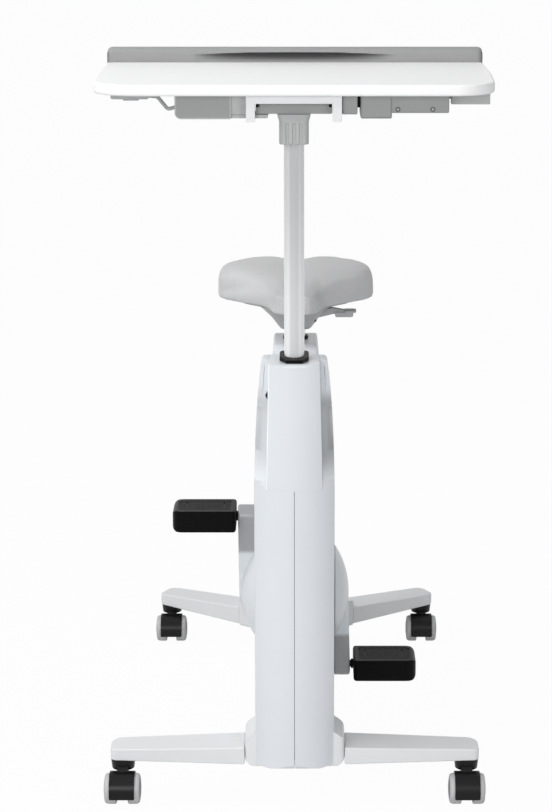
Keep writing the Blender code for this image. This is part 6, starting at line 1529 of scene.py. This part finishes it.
def crank_parts(side):
    """One crank: an arm and the domed disc around the spindle; the right one points down."""
    crank = CRANK_POINT
    hub = CRANK_HUB_RADIUS
    end = CRANK_END_RADIUS
    swing = math.acos((hub - end) / CRANK_LENGTH)
    outline = []
    steps = 28
    for k in range(steps + 1):
        angle = -math.pi / 2 + swing + (2 * math.pi - 2 * swing) * k / steps
        outline.append((crank.y + hub * math.cos(angle), crank.z + hub * math.sin(angle)))
    foot = crank.z - CRANK_LENGTH
    for k in range(steps + 1):
        angle = -math.pi / 2 - swing + 2 * swing * k / steps
        outline.append((crank.y + end * math.cos(angle), foot + end * math.sin(angle)))
    arm = prism("arm", outline, CRANK_INNER, CRANK_ARM_OUTER[side], "X")

    def thin(work):
        for point in work.verts:
            if point.co.x > CRANK_INNER + 0.001:
                share = limited((point.co.z - foot) / (CRANK_LENGTH + hub))
                point.co.x -= CRANK_ARM_THIN[side] * share ** 2

    edit(arm, thin)
    round_edges(arm, 0.0032, segments=3, angle=50)
    rise = CRANK_DOME_TOP[side] - CRANK_DOME_EDGE
    curve = (CRANK_DOME_RADIUS ** 2 + rise ** 2) / (2 * rise)
    dome = []
    steps = 16
    for k in range(steps + 1):
        radius = CRANK_DOME_RADIUS * k / steps
        dome.append((radius, CRANK_DOME_TOP[side] - curve + math.sqrt(curve ** 2 - radius ** 2)))
    dome_foot = CRANK_INNER + GAP
    dome += [(CRANK_DOME_RADIUS - 0.001, dome_foot), (0, dome_foot)]
    dome = turned("dome", dome, crank, (1, 0, 0), steps=96)

    def bore(part, height, near, far, radius, sides):
        cut(part, rod("bore", (near, CRANK_Y, height), (far, CRANK_Y, height), radius, sides))

    for part in (arm, dome):
        bore(part, crank.z, CRANK_INNER - 0.01, CRANK_INNER + SPINDLE_DEPTH + GAP, SPINDLE_RADIUS + GAP, 56)
    bore(arm, foot, PEDAL_BORE_FLOOR, CRANK_OUTER + 0.01, PEDAL_AXLE_RADIUS + GAP, 40)
    bore(arm, foot, CRANK_OUTER, CRANK_OUTER + 0.01, PEDAL_COLLAR_RADIUS + GAP, 40)
    if side < 0:
        for part in (arm, dome):
            part.matrix_world = (
                Matrix.Translation(crank) @ Matrix.Rotation(math.pi, 4, "Y") @ Matrix.Translation(-crank))
            bake(part)
    return arm, dome


def pedal_axle_solid(side):
    """Black pedal axle with its collar, screwed into the crank's end."""
    near = PEDAL_BORE_FLOOR + GAP
    start = Vector((side * near, CRANK_Y, CRANK_HEIGHT - side * CRANK_LENGTH))
    length = PEDAL_START + PEDAL_LENGTH - 0.020 - CRANK_INNER - PEDAL_BORE_INSET
    shank = PEDAL_AXLE_RADIUS
    low = CRANK_OUTER + GAP - near
    high = PEDAL_START - GAP - near
    profile = [
        (0, length), (shank - 0.0015, length), (shank - 0.0015, high), (PEDAL_COLLAR_RADIUS, high),
        (PEDAL_COLLAR_RADIUS, low), (shank, low), (shank, 0), (0, 0),
    ]
    return turned("pedal axle", profile, start, (side, 0, 0), steps=48)


def pedal_parts(side):
    """A pedal's frame, open on both faces, and the two tread plates inside it."""
    height = CRANK_HEIGHT - side * CRANK_LENGTH
    near = PEDAL_START
    far = PEDAL_START + PEDAL_LENGTH
    front = CRANK_Y - PEDAL_DEPTH / 2
    back = CRANK_Y + PEDAL_DEPTH / 2
    corners = oblong((near, far), (front, back), 0.007, 0.018, 0.018, 0.007)
    low = height - PEDAL_HEIGHT / 2
    high = height + PEDAL_HEIGHT / 2
    frame_part = prism("pedal", rounded(corners), low, high, "Z")
    profile = oblong((near, far), (low, high), 0.004, 0.009, 0.009, 0.004)
    trim(frame_part, prism("profile", rounded(profile), front - 0.01, back + 0.01, "Y"))
    round_edges(frame_part, 0.0016, segments=3, angle=40)
    plates = []
    for face, inward in ((low, 1), (high, -1)):
        floor, top = sorted((face - inward * 0.01, face + inward * PEDAL_RECESS))
        cut(frame_part, prism("recess", rounded(corners, 0.0095), floor, top, "Z"))
        floor, top = sorted((face + inward * PEDAL_RECESS, face + inward * 0.0004))
        plate = prism("tread", rounded(corners, 0.0112), floor, top, "Z")
        level = face + inward * 0.0011
        for x in (near + 0.0215, far - 0.0235):
            cut(plate, box("groove", (x - 0.0013, x + 0.0013), (CRANK_Y - 0.020, CRANK_Y + 0.020),
                           (level - 0.0008, level + 0.0008)))
        plates.append(plate)
    join(plates[0], plates[1])
    start = Vector((near - 0.01, CRANK_Y, height))
    bore_end = Vector((far - 0.018, CRANK_Y, height))
    cut(frame_part, rod("bore", start, bore_end, PEDAL_AXLE_RADIUS - 0.0015 + RUNNING, sides=40))
    if side < 0:
        for part in (frame_part, plates[0]):
            flip(part)
    return frame_part, plates[0]


def build_cranks():
    """Both cranks with their pedals: the left one up and the right one down, as photographed."""
    for side, name in ((-1, "left"), (1, "right")):
        arm, dome = crank_parts(side)
        skin(arm, "crank_arm_" + name, look="crank_paint")
        skin(dome, "crank_arm_" + name, "crank_dome_" + name, "white_shell", smooth=40, hides=False)
        skin(pedal_axle_solid(side), "pedal_axle_" + name)
        frame_part, plates = pedal_parts(side)
        skin(frame_part, "pedal_" + name)
        skin(plates, "pedal_" + name, "pedal_tread_" + name, "tread", hides=False)


def build_seat():
    """Seat post in its bushing, with the clamp and its lever."""
    flange = SEAT_FLANGE_HEIGHT
    bushing = turned("bushing", [
        (0, flange), (SEAT_FLANGE_RADIUS - 0.001, flange), (SEAT_FLANGE_RADIUS, flange - 0.001),
        (SEAT_FLANGE_RADIUS, GAP), (0, GAP),
    ], SEAT_TOP, (0, 0, 1), steps=64)
    join(bushing, rod("sleeve", seat_point(-0.050), seat_point(0.002), SEAT_SLEEVE_RADIUS))
    cut(bushing, rod("bore", seat_point(-0.06), seat_point(0.03), SEAT_POST_RADIUS + RUNNING))
    skin(bushing, "seat_bushing")

    post_top = SEAT_POST_LENGTH - SEAT_POST_DEPTH
    post = rod("post", seat_point(-SEAT_POST_DEPTH), seat_point(post_top), SEAT_POST_RADIUS)
    bore_top = SEAT_BORE_LENGTH - SEAT_POST_DEPTH
    cut(post, rod("bore", seat_point(-SEAT_POST_DEPTH - 0.01), seat_point(bore_top), SEAT_BORE_RADIUS))
    skin(post, "seat_post")

    spread = SEAT_CLAMP_TOP_RADIUS - SEAT_CLAMP_FOOT_RADIUS
    bore = SEAT_POST_RADIUS + GAP
    clamp = turned("clamp", [
        (bore, SEAT_CLAMP_TOP), (SEAT_CLAMP_TOP_RADIUS, SEAT_CLAMP_TOP),
        (SEAT_CLAMP_TOP_RADIUS, SEAT_CLAMP_FOOT + spread), (0.0545, SEAT_CLAMP_FOOT + spread * 0.76),
        (0.0440, SEAT_CLAMP_FOOT + spread * 0.53), (0.0370, SEAT_CLAMP_FOOT + spread * 0.32),
        (0.0305, SEAT_CLAMP_FOOT + spread * 0.12), (0.0275, SEAT_CLAMP_FOOT + spread * 0.04),
        (SEAT_CLAMP_FOOT_RADIUS, SEAT_CLAMP_FOOT), (bore, SEAT_CLAMP_FOOT),
    ], SEAT_TOP, SEAT_AXIS, steps=64, ring=True)
    trim(clamp, box("level", (-0.1, 0.1), (0, 0.4), (0.5, SADDLE_BOTTOM - PAN_THICKNESS - GAP)))
    lever_root = seat_point(SEAT_LEVER_ROOT)
    slot_half = SEAT_LEVER_HALF + GAP
    cut(clamp, box(
        "slot", (SEAT_LEVER_SIDE - 0.007, 0.1), (lever_root.y - slot_half, lever_root.y + slot_half),
        (lever_root.z - 0.006, SADDLE_TOP)))
    skin(clamp, "seat_clamp")
    build_seat_lever(lever_root)


def build_seat_lever(root):
    """Lever that releases the seat's gas spring: a broad arm from the clamp to a box under a thin plate."""
    pin = Vector((SEAT_LEVER_SIDE, root.y, root.z))
    arm = prism("arm", rounded(shifted(
        pin.x, pin.z,
        (-0.0062, -0.0045, 0.002), (0.0020, -0.0030, 0.003), (0.0055, 0.0038, 0.004), (0.0324, 0.0105, 0.004),
        (0.0564, 0.0110, 0.001), (0.0564, 0.0172, 0.001), (0.0295, 0.0222, 0.010), (0.0085, 0.0155, 0.012),
        (0.0010, 0.0070, 0.006), (-0.0062, 0.0010, 0.002),
    )), pin.y - SEAT_LEVER_HALF, pin.y + SEAT_LEVER_HALF, "Y")
    round_edges(arm, 0.0010, segments=2, angle=60)
    plate = prism("plate", rounded(oblong(
        (pin.x + 0.0530, pin.x + 0.0750), (pin.y - 0.014, pin.y + 0.014), 0.003, 0.006, 0.006, 0.003,
    )), pin.z + 0.0138, pin.z + 0.0172, "Z")
    round_edges(plate, 0.0009, segments=2)
    grip = prism("grip", rounded(shifted(
        pin.x, pin.z,
        (0.0372, 0.0055, 0.002), (0.0690, 0.0055, 0.004), (0.0700, 0.0145, 0.001), (0.0352, 0.0145, 0.001),
    )), pin.y - 0.0115, pin.y + 0.0115, "Y")
    round_edges(grip, 0.0012, segments=3, angle=60)
    join(arm, plate, grip)
    skin(arm, "seat_lever")
    reach = Vector((0, 0.0170, 0))
    bolt = rod("bolt", pin - reach, pin + reach, 0.0022, sides=32)
    skin(bolt, "seat_clamp", "lever_bolt", "dark_steel", hides=False)


def round_end(past):
    """Share of the full width in a round end, by how far past its start a place is."""
    return math.sqrt(max(0.0, 1 - max(0.0, past) ** 2))


def saddle_half_width(share):
    """Half width of the saddle, from its nose at 0 to its tail at 1."""
    nose = SADDLE_NOSE_WIDTH / 2
    tail = SADDLE_WIDTH / 2
    swell = ease(limited((share - 0.14) / 0.52))
    round_nose = round_end((0.16 - share) / 0.16)
    round_tail = round_end((share - 0.70) / 0.30)
    return (nose + (tail - nose) * swell) * (0.55 + 0.45 * round_nose) * (0.50 + 0.50 * round_tail)


def saddle_top(share, across):
    """Height of the saddle's top: two lobes at the tail, a channel along the middle and a low nose."""
    rise = ease(limited((share - 0.05) / 0.60))
    ridge = SADDLE_TOP - SADDLE_NOSE_DROP * (1 - rise)
    channel = SADDLE_CHANNEL * math.exp(-(across / 0.27) ** 2) * (0.35 + 0.65 * rise)
    crown = SADDLE_CROWN * (max(0.0, abs(across) - 0.50) / 0.50) ** 2
    return ridge - channel - crown * (0.45 + 0.55 * rise)


def build_desk_post():
    """Bushing, post and the ribbed collar that carries the slide."""
    half = BUSHING_HALF
    corner = 0.010
    foot = COLUMN_TOP + GAP
    front = POST_Y - BUSHING_AHEAD
    back = POST_Y + half
    nose = half * 0.54

    def post_rod(name, low, high, radius, sides=48):
        return rod(name, (0, POST_Y, low), (0, POST_Y, high), radius, sides)

    bushing = prism("bushing", rounded([
        (-nose, front, 0.001), (nose, front, 0.001), (half, POST_Y - half * 0.45, 0.002),
        (half, back, corner), (-half, back, corner), (-half, POST_Y - half * 0.45, 0.002),
    ], step=math.radians(15)), foot, foot + BUSHING_BACK_HEIGHT, "Z")

    def slant(work):
        for point in work.verts:
            if point.co.z > foot + 0.001:
                share = (back - point.co.y) / (back - front)
                point.co.z -= (BUSHING_BACK_HEIGHT - BUSHING_FRONT_HEIGHT) * share

    edit(bushing, slant)
    round_edges(bushing, 0.0010, segments=3, angle=60)
    join(bushing, post_rod("sleeve", foot - BUSHING_SLEEVE, foot + 0.004, DESK_SLEEVE_RADIUS))
    cut(bushing, post_rod("bore", 0, 1, POST_RADIUS + RUNNING))
    skin(bushing, "desk_bushing")

    post_top = COLLAR_TOP - 0.004
    post = post_rod("post", POST_FOOT, post_top, POST_RADIUS, sides=64)
    cut(post, post_rod("bore", POST_FOOT - 0.01, POST_BORE_TOP, POST_BORE_RADIUS))
    skin(post, "desk_post", look="glossy_post_reflection")

    sides = oblong((-COLLAR_HALF, COLLAR_HALF), (POST_Y - COLLAR_HALF, POST_Y + COLLAR_HALF), COLLAR_CORNER)
    collar = prism("collar", rounded(sides, step=math.radians(9)), COLLAR_FOOT, COLLAR_TOP, "Z")
    flare_foot = COLLAR_TOP - COLLAR_FLARE_HEIGHT

    def flare(work):
        split_level(work, flare_foot)
        for point in work.verts:
            if point.co.z > flare_foot + 0.001:
                point.co.x *= COLLAR_FLARE
                point.co.y = POST_Y + (point.co.y - POST_Y) * COLLAR_FLARE

    edit(collar, flare)
    round_edges(collar, 0.0016, segments=3, angle=60)
    axis_out = 0.0012
    for k in (-1, 0, 1):
        spot = k * RIB_PITCH
        for x, y in ((spot, POST_Y - COLLAR_HALF - axis_out), (spot, POST_Y + COLLAR_HALF + axis_out),
                     (-COLLAR_HALF - axis_out, POST_Y + spot), (COLLAR_HALF + axis_out, POST_Y + spot)):
            cut(collar, rod("flute", (x, y, COLLAR_FOOT - 0.01), (x, y, flare_foot - 0.002), 0.0030, sides=16))
    cut(collar, post_rod("bore", COLLAR_FOOT - 0.01, post_top + GAP, POST_RADIUS + GAP))
    skin(collar, "desk_collar")


def build_slide():
    """Housing on the collar, and what slides on it: rails, bracket, boxes, levers and desktop."""
    front = FRONT_Y + HOUSING_SETBACK
    back = front + HOUSING_LENGTH
    half = HOUSING_HALF
    inner = half - GROOVE_WIDTH
    housing = prism("housing", rounded([
        (-half, COLLAR_TOP + GAP, 0.003), (half, COLLAR_TOP + GAP, 0.003),
        (half, HOUSING_TOP - GROOVE_DEPTH, 0.0), (inner, HOUSING_TOP - GROOVE_DEPTH, 0.0),
        (inner, HOUSING_TOP, 0.001), (-inner, HOUSING_TOP, 0.001),
        (-inner, HOUSING_TOP - GROOVE_DEPTH, 0.0), (-half, HOUSING_TOP - GROOVE_DEPTH, 0.0),
    ]), front, back, "Y")
    skin(housing, "slide_housing", look="box_grey")

    leg_inner = half + RUNNING
    leg_outer = leg_inner + BRACKET_LEG
    bar_bottom = DESK_BOTTOM - GAP - CROSSBAR
    drop = DESK_BOTTOM - BRACKET_DROP
    bracket_front = FRONT_Y + U_BRACKET_SETBACK
    bracket = prism("bracket", rounded([
        (-leg_outer, drop, 0.002), (-leg_inner, drop, 0.002), (-leg_inner, bar_bottom, 0.0),
        (leg_inner, bar_bottom, 0.0), (leg_inner, drop, 0.002), (leg_outer, drop, 0.002),
        (leg_outer, DESK_BOTTOM - GAP, 0.001), (-leg_outer, DESK_BOTTOM - GAP, 0.001),
    ]), bracket_front, bracket_front + U_BRACKET_DEPTH, "Y")
    round_edges(bracket, 0.0008, segments=3, angle=60)
    skin(bracket, "u_bracket")

    rail_front = bracket_front + U_BRACKET_DEPTH + GAP
    web = 0.0022
    for side, name in ((-1, "left"), (1, "right")):
        near = inner + RUNNING
        far = half - RUNNING
        corners = [
            (near, HOUSING_TOP - GROOVE_DEPTH + RUNNING), (far, HOUSING_TOP - GROOVE_DEPTH + RUNNING),
            (far, HOUSING_TOP - 0.0020), (near + web, HOUSING_TOP - 0.0020),
            (near + web, DESK_BOTTOM - GAP - 0.003), (far + 0.008, DESK_BOTTOM - GAP - 0.003),
            (far + 0.008, DESK_BOTTOM - GAP), (near, DESK_BOTTOM - GAP),
        ]
        outline = [(side * x, z) for x, z in corners]
        if side < 0:
            outline.reverse()
        rail = prism("rail", outline, rail_front, back, "Y")
        skin(rail, "slide_rail_" + name)
        spans = sorted((side * (near + 0.0001), side * (far + 0.0001)))
        plug = box("plug", spans, (rail_front - 0.0002, rail_front + 0.004),
                   (HOUSING_TOP - GROOVE_DEPTH + 0.0007, HOUSING_TOP - 0.0004))
        skin(plug, "slide_rail_" + name, "rail_plug_" + name, "black_plastic", hides=False)

    build_boxes(leg_outer)
    build_desk_levers()

    desk_front = FRONT_Y + DESK_FRONT
    front_half = DESK_HALF - DESK_TAPER
    board = prism("board", rounded([
        (-front_half, desk_front, DESK_CORNER), (front_half, desk_front, DESK_CORNER),
        (DESK_HALF, desk_front + DESK_TAPER_RUN, 0.500),
        (DESK_HALF, desk_front + DESK_DEPTH, 0.004), (-DESK_HALF, desk_front + DESK_DEPTH, 0.004),
        (-DESK_HALF, desk_front + DESK_TAPER_RUN, 0.500),
    ], step=math.radians(4)), DESK_BOTTOM, DESK_TOP, "Z")
    round_edges(board, 0.0060, segments=4, angle=50)
    skin(board, "desktop")


def sink(item, x_span, z_span, front, corner):
    """Sink a box's front face a little inside a narrow rim, and make the plate that lies there."""
    rim = BOX_RIM
    (left, right), (low, high) = x_span, z_span
    span = (left + rim, right - rim)
    radii = (max(corner - rim, 0.001), 0.001, 0, 0)
    opening = rounded(oblong(span, (low + rim, high + 0.01), *radii))
    cut(item, prism("sunk", opening, front - 0.01, front + BOX_SUNK, "Y"))
    inner = rounded(oblong(span, (low + rim, high), *radii), 0.0002)
    return prism("plate", inner, front + BOX_SUNK - 0.0005, front + BOX_SUNK + 0.0001, "Y")


def build_boxes(bracket_side):
    """The boxes under the desktop that hold the ends of the levers."""
    top = DESK_BOTTOM - GAP
    front = FRONT_Y + BOX_SETBACK
    back = front + BOX_DEPTH
    low = DESK_BOTTOM - LEFT_BOX_DROP
    outline = oblong((LEFT_BOX_FAR, LEFT_BOX_NEAR), (low, top), 0.010, 0.003, 0.001, 0.001)
    left = prism("left box", rounded(outline), front, back, "Y")
    round_edges(left, 0.0016, segments=3, angle=60)
    plate = sink(left, (LEFT_BOX_FAR, LEFT_BOX_NEAR), (low, top), front, 0.008)
    skin(plate, "left_box", "left_box_plate", "box_grey", hides=False)
    behind_bracket = FRONT_Y + U_BRACKET_SETBACK + U_BRACKET_DEPTH + 0.002
    neck_low = COLLAR_TOP + GAP - 0.0004
    neck = box("neck", (LEFT_BOX_NEAR - 0.003, -bracket_side - GAP), (behind_bracket, back - 0.010),
               (neck_low, top - 0.0006))
    outline = oblong((LEFT_BOX_NEAR - 0.004, FLANGE_END), (low + 0.0008, neck_low - 0.0006), 0, 0.003, 0.001, 0)
    flange = prism("flange", rounded(outline), behind_bracket + 0.002, back - 0.014, "Y")
    web = box(
        "web", (LEFT_BOX_NEAR - 0.003, -bracket_side - 0.004), (behind_bracket + 0.004, back - 0.016),
        (low + 0.002, neck_low + 0.003))
    join(left, neck, flange, web)
    skin(left, "left_box")

    low = DESK_BOTTOM - RIGHT_INNER_DROP
    inner = box("inner", (bracket_side + GAP, RIGHT_INNER_FAR), (front + 0.002, back - 0.010), (low, top))
    round_edges(inner, 0.002, segments=3, angle=60)
    link = box("link", (RIGHT_INNER_FAR - 0.004, RIGHT_MIDDLE_NEAR - GAP), (front + 0.010, back - 0.020),
               (low + 0.010, top - 0.002))
    skin(link, "right_inner_box", "right_box_link", "black_plastic", hides=False)
    skin(inner, "right_inner_box", look="box_grey")

    low = DESK_BOTTOM - RIGHT_MIDDLE_DROP
    middle = box("middle", (RIGHT_MIDDLE_NEAR, RIGHT_MIDDLE_FAR), (front, back), (low, top))
    round_edges(middle, 0.0025, segments=3, angle=60)
    plate = sink(middle, (RIGHT_MIDDLE_NEAR, RIGHT_MIDDLE_FAR), (low, top), front, 0.002)
    skin(plate, "right_outer_box", "right_box_plate", "box_grey", hides=False)
    outer_low = DESK_BOTTOM - RIGHT_OUTER_DROP
    outer = box("outer", (RIGHT_MIDDLE_FAR - 0.005, RIGHT_OUTER_FAR), (front + 0.003, back - 0.006),
                (outer_low, top - 0.0004))
    round_edges(outer, 0.0025, segments=3, angle=60)
    join(middle, outer)
    screw_line = outer_low + 0.0058
    for k, x in enumerate((RIGHT_MIDDLE_FAR + 0.0092, RIGHT_OUTER_FAR - 0.0252)):
        spot = (x, front + 0.003, screw_line)
        cut(middle, rod("recess", spot, (x, front + 0.0042, screw_line), SCREW_RADIUS + 0.0001, sides=32))
        ring = turned("ring", [
            (SCREW_RADIUS, -0.0002), (SCREW_RADIUS, -0.0011), (SCREW_RADIUS - 0.0019, -0.0011),
            (SCREW_RADIUS - 0.0019, -0.0002),
        ], spot, (0, -1, 0), steps=32, ring=True)
        skin(ring, "right_outer_box", f"box_screw_ring_{k + 1}", "dark_steel", hides=False)
        head = turned("head", [
            (0, 0.0010), (SCREW_RADIUS * 0.35, 0.0008), (SCREW_RADIUS - 0.0021, 0.0001),
            (SCREW_RADIUS - 0.0021, -0.0011), (0, -0.0011)], spot, (0, -1, 0), steps=32)
        skin(head, "right_outer_box", f"box_screw_{k + 1}", "grey_casting", hides=False)
    skin(middle, "right_outer_box", look="box_grey")


def swept(name, places, radius, bend, sides=8):
    """A round bar through places, with rounded bends."""
    path = []
    for k, place in enumerate(places):
        here = Vector(place)
        if k in (0, len(places) - 1):
            path.append(here)
            continue
        before = Vector(places[k - 1]) - here
        after = Vector(places[k + 1]) - here
        reach = min(bend, before.length * 0.45, after.length * 0.45)
        first = here + before.normalized() * reach
        last = here + after.normalized() * reach
        for j in range(7):
            share = j / 6
            path.append(first * (1 - share) ** 2 + here * 2 * share * (1 - share) + last * share ** 2)
    return sealed(curve_mesh(
        name, path, closed=False,
        dimensions="3D", bevel_depth=radius, bevel_resolution=sides, use_fill_caps=True))


def build_desk_levers():
    """Height lever on a bent rod at the left, and the slide lock's wing lever at the right."""
    y = FRONT_Y + LEVER_SETBACK
    axis = HEIGHT_LEVER_AXIS
    high = axis + HEIGHT_LEVER_RISE
    low_bend = LEFT_BOX_FAR - 0.0140
    top_bend = low_bend - HEIGHT_LEVER_RUN
    lever = swept("lever rod", [
        (LEFT_BOX_FAR - GAP, y, axis + 0.0014), (low_bend, y, axis - 0.0022), (top_bend, y, high - 0.0015),
        (HEIGHT_PADDLE_NEAR - 0.012, y, high),
    ], LEVER_ROD_RADIUS, 0.004)
    skin(lever, "height_lever")
    outline = oblong(
        (HEIGHT_PADDLE_FAR, HEIGHT_PADDLE_NEAR), (high - 0.0050, high + 0.0050), 0.003, 0.003, 0.002, 0.002)
    paddle = prism("paddle", rounded(outline), y - 0.010, y + 0.010, "Y")
    round_edges(paddle, 0.0010, segments=2, angle=60)
    outline = oblong(
        (HEIGHT_PADDLE_FAR + 0.019, HEIGHT_PADDLE_NEAR - 0.015), (high - 0.0072, high - 0.0020),
        0.002, 0.002, 0, 0)
    boss = prism("boss", rounded(outline), y - 0.008, y + 0.008, "Y")
    round_edges(boss, 0.0008, segments=2, angle=60)
    join(paddle, boss)
    skin(paddle, "height_lever", "height_lever_paddle", hides=False)

    wing = prism("wing", rounded([
        (SLIDE_LEVER_NEAR, -0.0110, 0.002), (SLIDE_LEVER_FAR, -0.0110, 0.002),
        (SLIDE_LEVER_FAR, 0.0080, 0.003), (SLIDE_LEVER_FAR - 0.030, 0.0050, 0.020),
        (SLIDE_LEVER_NEAR, 0.0040, 0.002),
    ]), y - 0.008, y + 0.008, "Y")
    wing.data.transform(Matrix.Translation((0, 0, SLIDE_LEVER_AXIS)))
    round_edges(wing, 0.0012, segments=3, angle=60)
    join(wing, rod("shaft", (RIGHT_OUTER_FAR + GAP, y, SLIDE_LEVER_AXIS),
                   (SLIDE_LEVER_NEAR + 0.006, y, SLIDE_LEVER_AXIS), LEVER_ROD_RADIUS, sides=64))
    skin(wing, "slide_lever")


# Soft parts

def inflated(item, held_below):
    """Blow a closed cover up as cloth under air pressure, each place moving no further than the cap."""
    remesh = item.modifiers.new("remesh", "REMESH")
    remesh.mode = "VOXEL"
    remesh.voxel_size = CLOTH_VOXEL
    bake(item)
    held = item.vertex_groups.new(name="held")
    held.add([point.index for point in item.data.vertices if point.co.z < held_below], 1.0, "REPLACE")
    at_rest = [point.co.copy() for point in item.data.vertices]
    cloth = item.modifiers.new("cloth", "CLOTH")
    for key, value in (
            ("quality", 6), ("mass", 0.2), ("tension_stiffness", 18), ("compression_stiffness", 18),
            ("shear_stiffness", 6), ("bending_stiffness", 0.6), ("use_pressure", True),
            ("uniform_pressure_force", CLOTH_PRESSURE), ("vertex_group_mass", "held")):
        setattr(cloth.settings, key, value)
    cloth.settings.effector_weights.gravity = 0
    cloth.collision_settings.use_collision = False
    scene = bpy.context.scene
    for step in range(1, CLOTH_FRAMES + 1):
        scene.frame_set(step)
    graph = bpy.context.evaluated_depsgraph_get()
    blown = item.evaluated_get(graph).to_mesh()
    places = [point.co.copy() for point in blown.vertices]
    item.evaluated_get(graph).to_mesh_clear()
    item.modifiers.clear()
    scene.frame_set(1)
    for point, before, after in zip(item.data.vertices, at_rest, places):
        move = after - before
        if move.length > CLOTH_CAP:
            move *= CLOTH_CAP / move.length
        point.co = before + move
    item.vertex_groups.clear()
    even = item.modifiers.new("even", "SMOOTH")
    even.factor = 0.5
    even.iterations = CLOTH_SMOOTHING
    return bake(item)


def build_saddle():
    """Soft saddle: a cover blown up over its pan, with a channel, two lobes and a rounded nose."""
    work = bmesh.new()
    bmesh.ops.create_cube(work, size=2.0)
    bmesh.ops.subdivide_edges(work, edges=work.edges, cuts=21, use_grid_fill=True)
    nose = FRONT_Y + SADDLE_NOSE_SETBACK
    for point in work.verts:
        u, v, w = point.co
        u *= 1.30 - 0.30 * u * u
        share = (v + 1) / 2
        half = saddle_half_width(share) * SADDLE_START_WIDTH
        point.co.x = u * half * (1 - SADDLE_TUCK * max(w, 0.0) ** 2)
        point.co.y = nose + SADDLE_LENGTH * (0.5 + (share - 0.5) * SADDLE_START)
        bottom = SADDLE_BOTTOM - SADDLE_SKIRT * max(0.0, 1 - share / 0.32)
        bottom -= SADDLE_HEM * limited((abs(u) - 0.70) / 0.25) * limited((share - 0.25) / 0.2)
        top = saddle_top(share, u) - SADDLE_SETTLE
        point.co.z = bottom + (top - bottom) * (w + 1) / 2
    saddle = subdivided(solid_from("saddle", work))
    subdivided(inflated(saddle, SADDLE_BOTTOM + 0.003))
    skin(saddle, "saddle_cushion", "saddle_cover", smooth=180, flat_faces=False)


def resampled(outline, step):
    """Points at even steps around a closed outline."""
    ends = [Vector(place) for place in outline]
    ends.append(ends[0])
    lengths = [(b - a).length for a, b in zip(ends, ends[1:])]
    count = round(sum(lengths) / step)
    pitch = sum(lengths) / count
    made = []
    travelled = 0.0
    piece = 0
    for k in range(count):
        while k * pitch > travelled + lengths[piece]:
            travelled += lengths[piece]
            piece += 1
        made.append(ends[piece].lerp(ends[piece + 1], (k * pitch - travelled) / lengths[piece]))
    return made


def build_wrist_rest():
    """Padded rest along the desktop's rear edge, with a long scoop in the face over the desktop."""
    front = PAD_FRONT
    top = DESK_TOP + PAD_RISE
    back = front + PAD_DEPTH
    outline = resampled(rounded([
        (front, DESK_BOTTOM, 0.0025), (back, DESK_BOTTOM, 0.012), (back, DESK_TOP + 0.010, 0.022),
        (front + 0.009, top + 0.0006, 0.012), (front, top - 0.0085, 0.012),
    ]), 0.0012)
    middle = Vector((front + PAD_DEPTH / 2, (DESK_BOTTOM + top) / 2))
    half_y = PAD_DEPTH / 2
    half_z = (top - DESK_BOTTOM) / 2
    stations = [k / 6 * PAD_END for k in range(6)]
    run = 2 * (PAD_HALF - PAD_END)
    count = 110
    stations += [PAD_END + run * k / count for k in range(count + 1)]
    stations += [2 * PAD_HALF - k / 6 * PAD_END for k in reversed(range(6))]
    work = bmesh.new()
    rows = []
    for station in stations:
        x = station - PAD_HALF
        near = min(station, 2 * PAD_HALF - station, PAD_END)
        inset = PAD_END - math.sqrt(PAD_END ** 2 - (PAD_END - near) ** 2)
        row = []
        for y, z in outline:
            y = middle.x + (y - middle.x) * (1 - inset / half_y)
            z = middle.y + (z - middle.y) * (1 - inset / half_z)
            along_scoop = abs(x - SCOOP_MIDDLE) / SCOOP_HALF
            if along_scoop < 1 and y < front + 0.006 and z < top - 0.006:
                brow = SCOOP_TOP - SCOOP_DROP * along_scoop ** 2
                under = limited((brow - z) / SCOOP_EDGE)
                fade = limited((z - SCOOP_FOOT) / (brow - SCOOP_FOOT))
                depth = SCOOP_DEPTH * (1 - along_scoop ** 2) ** 0.8
                y += depth * ease(under) * fade
            row.append(work.verts.new((x, y, z)))
        rows.append(row)
    size = len(outline)
    for here, there in zip(rows, rows[1:]):
        for k in range(size):
            work.faces.new((here[k], there[k], there[(k + 1) % size], here[(k + 1) % size]))
    work.faces.new(list(reversed(rows[0])))
    work.faces.new(rows[-1])
    bmesh.ops.recalc_face_normals(work, faces=work.faces)
    pad = solid_from("pad", work)
    skin(pad, "wrist_rest", "wrist_rest_cover", smooth=55, flat_faces=False)


build_stage()
build_feet()
build_casters()
build_body(body_solid("outside", 0.0))
build_knob()
build_cranks()
build_seat()
build_saddle()
build_desk_post()
build_slide()
build_wrist_rest()
for node, item in frame["nodes"].items():
    item.data.materials.clear()
    item.data.materials.append(LOOKS[SLOT_OF[node]])
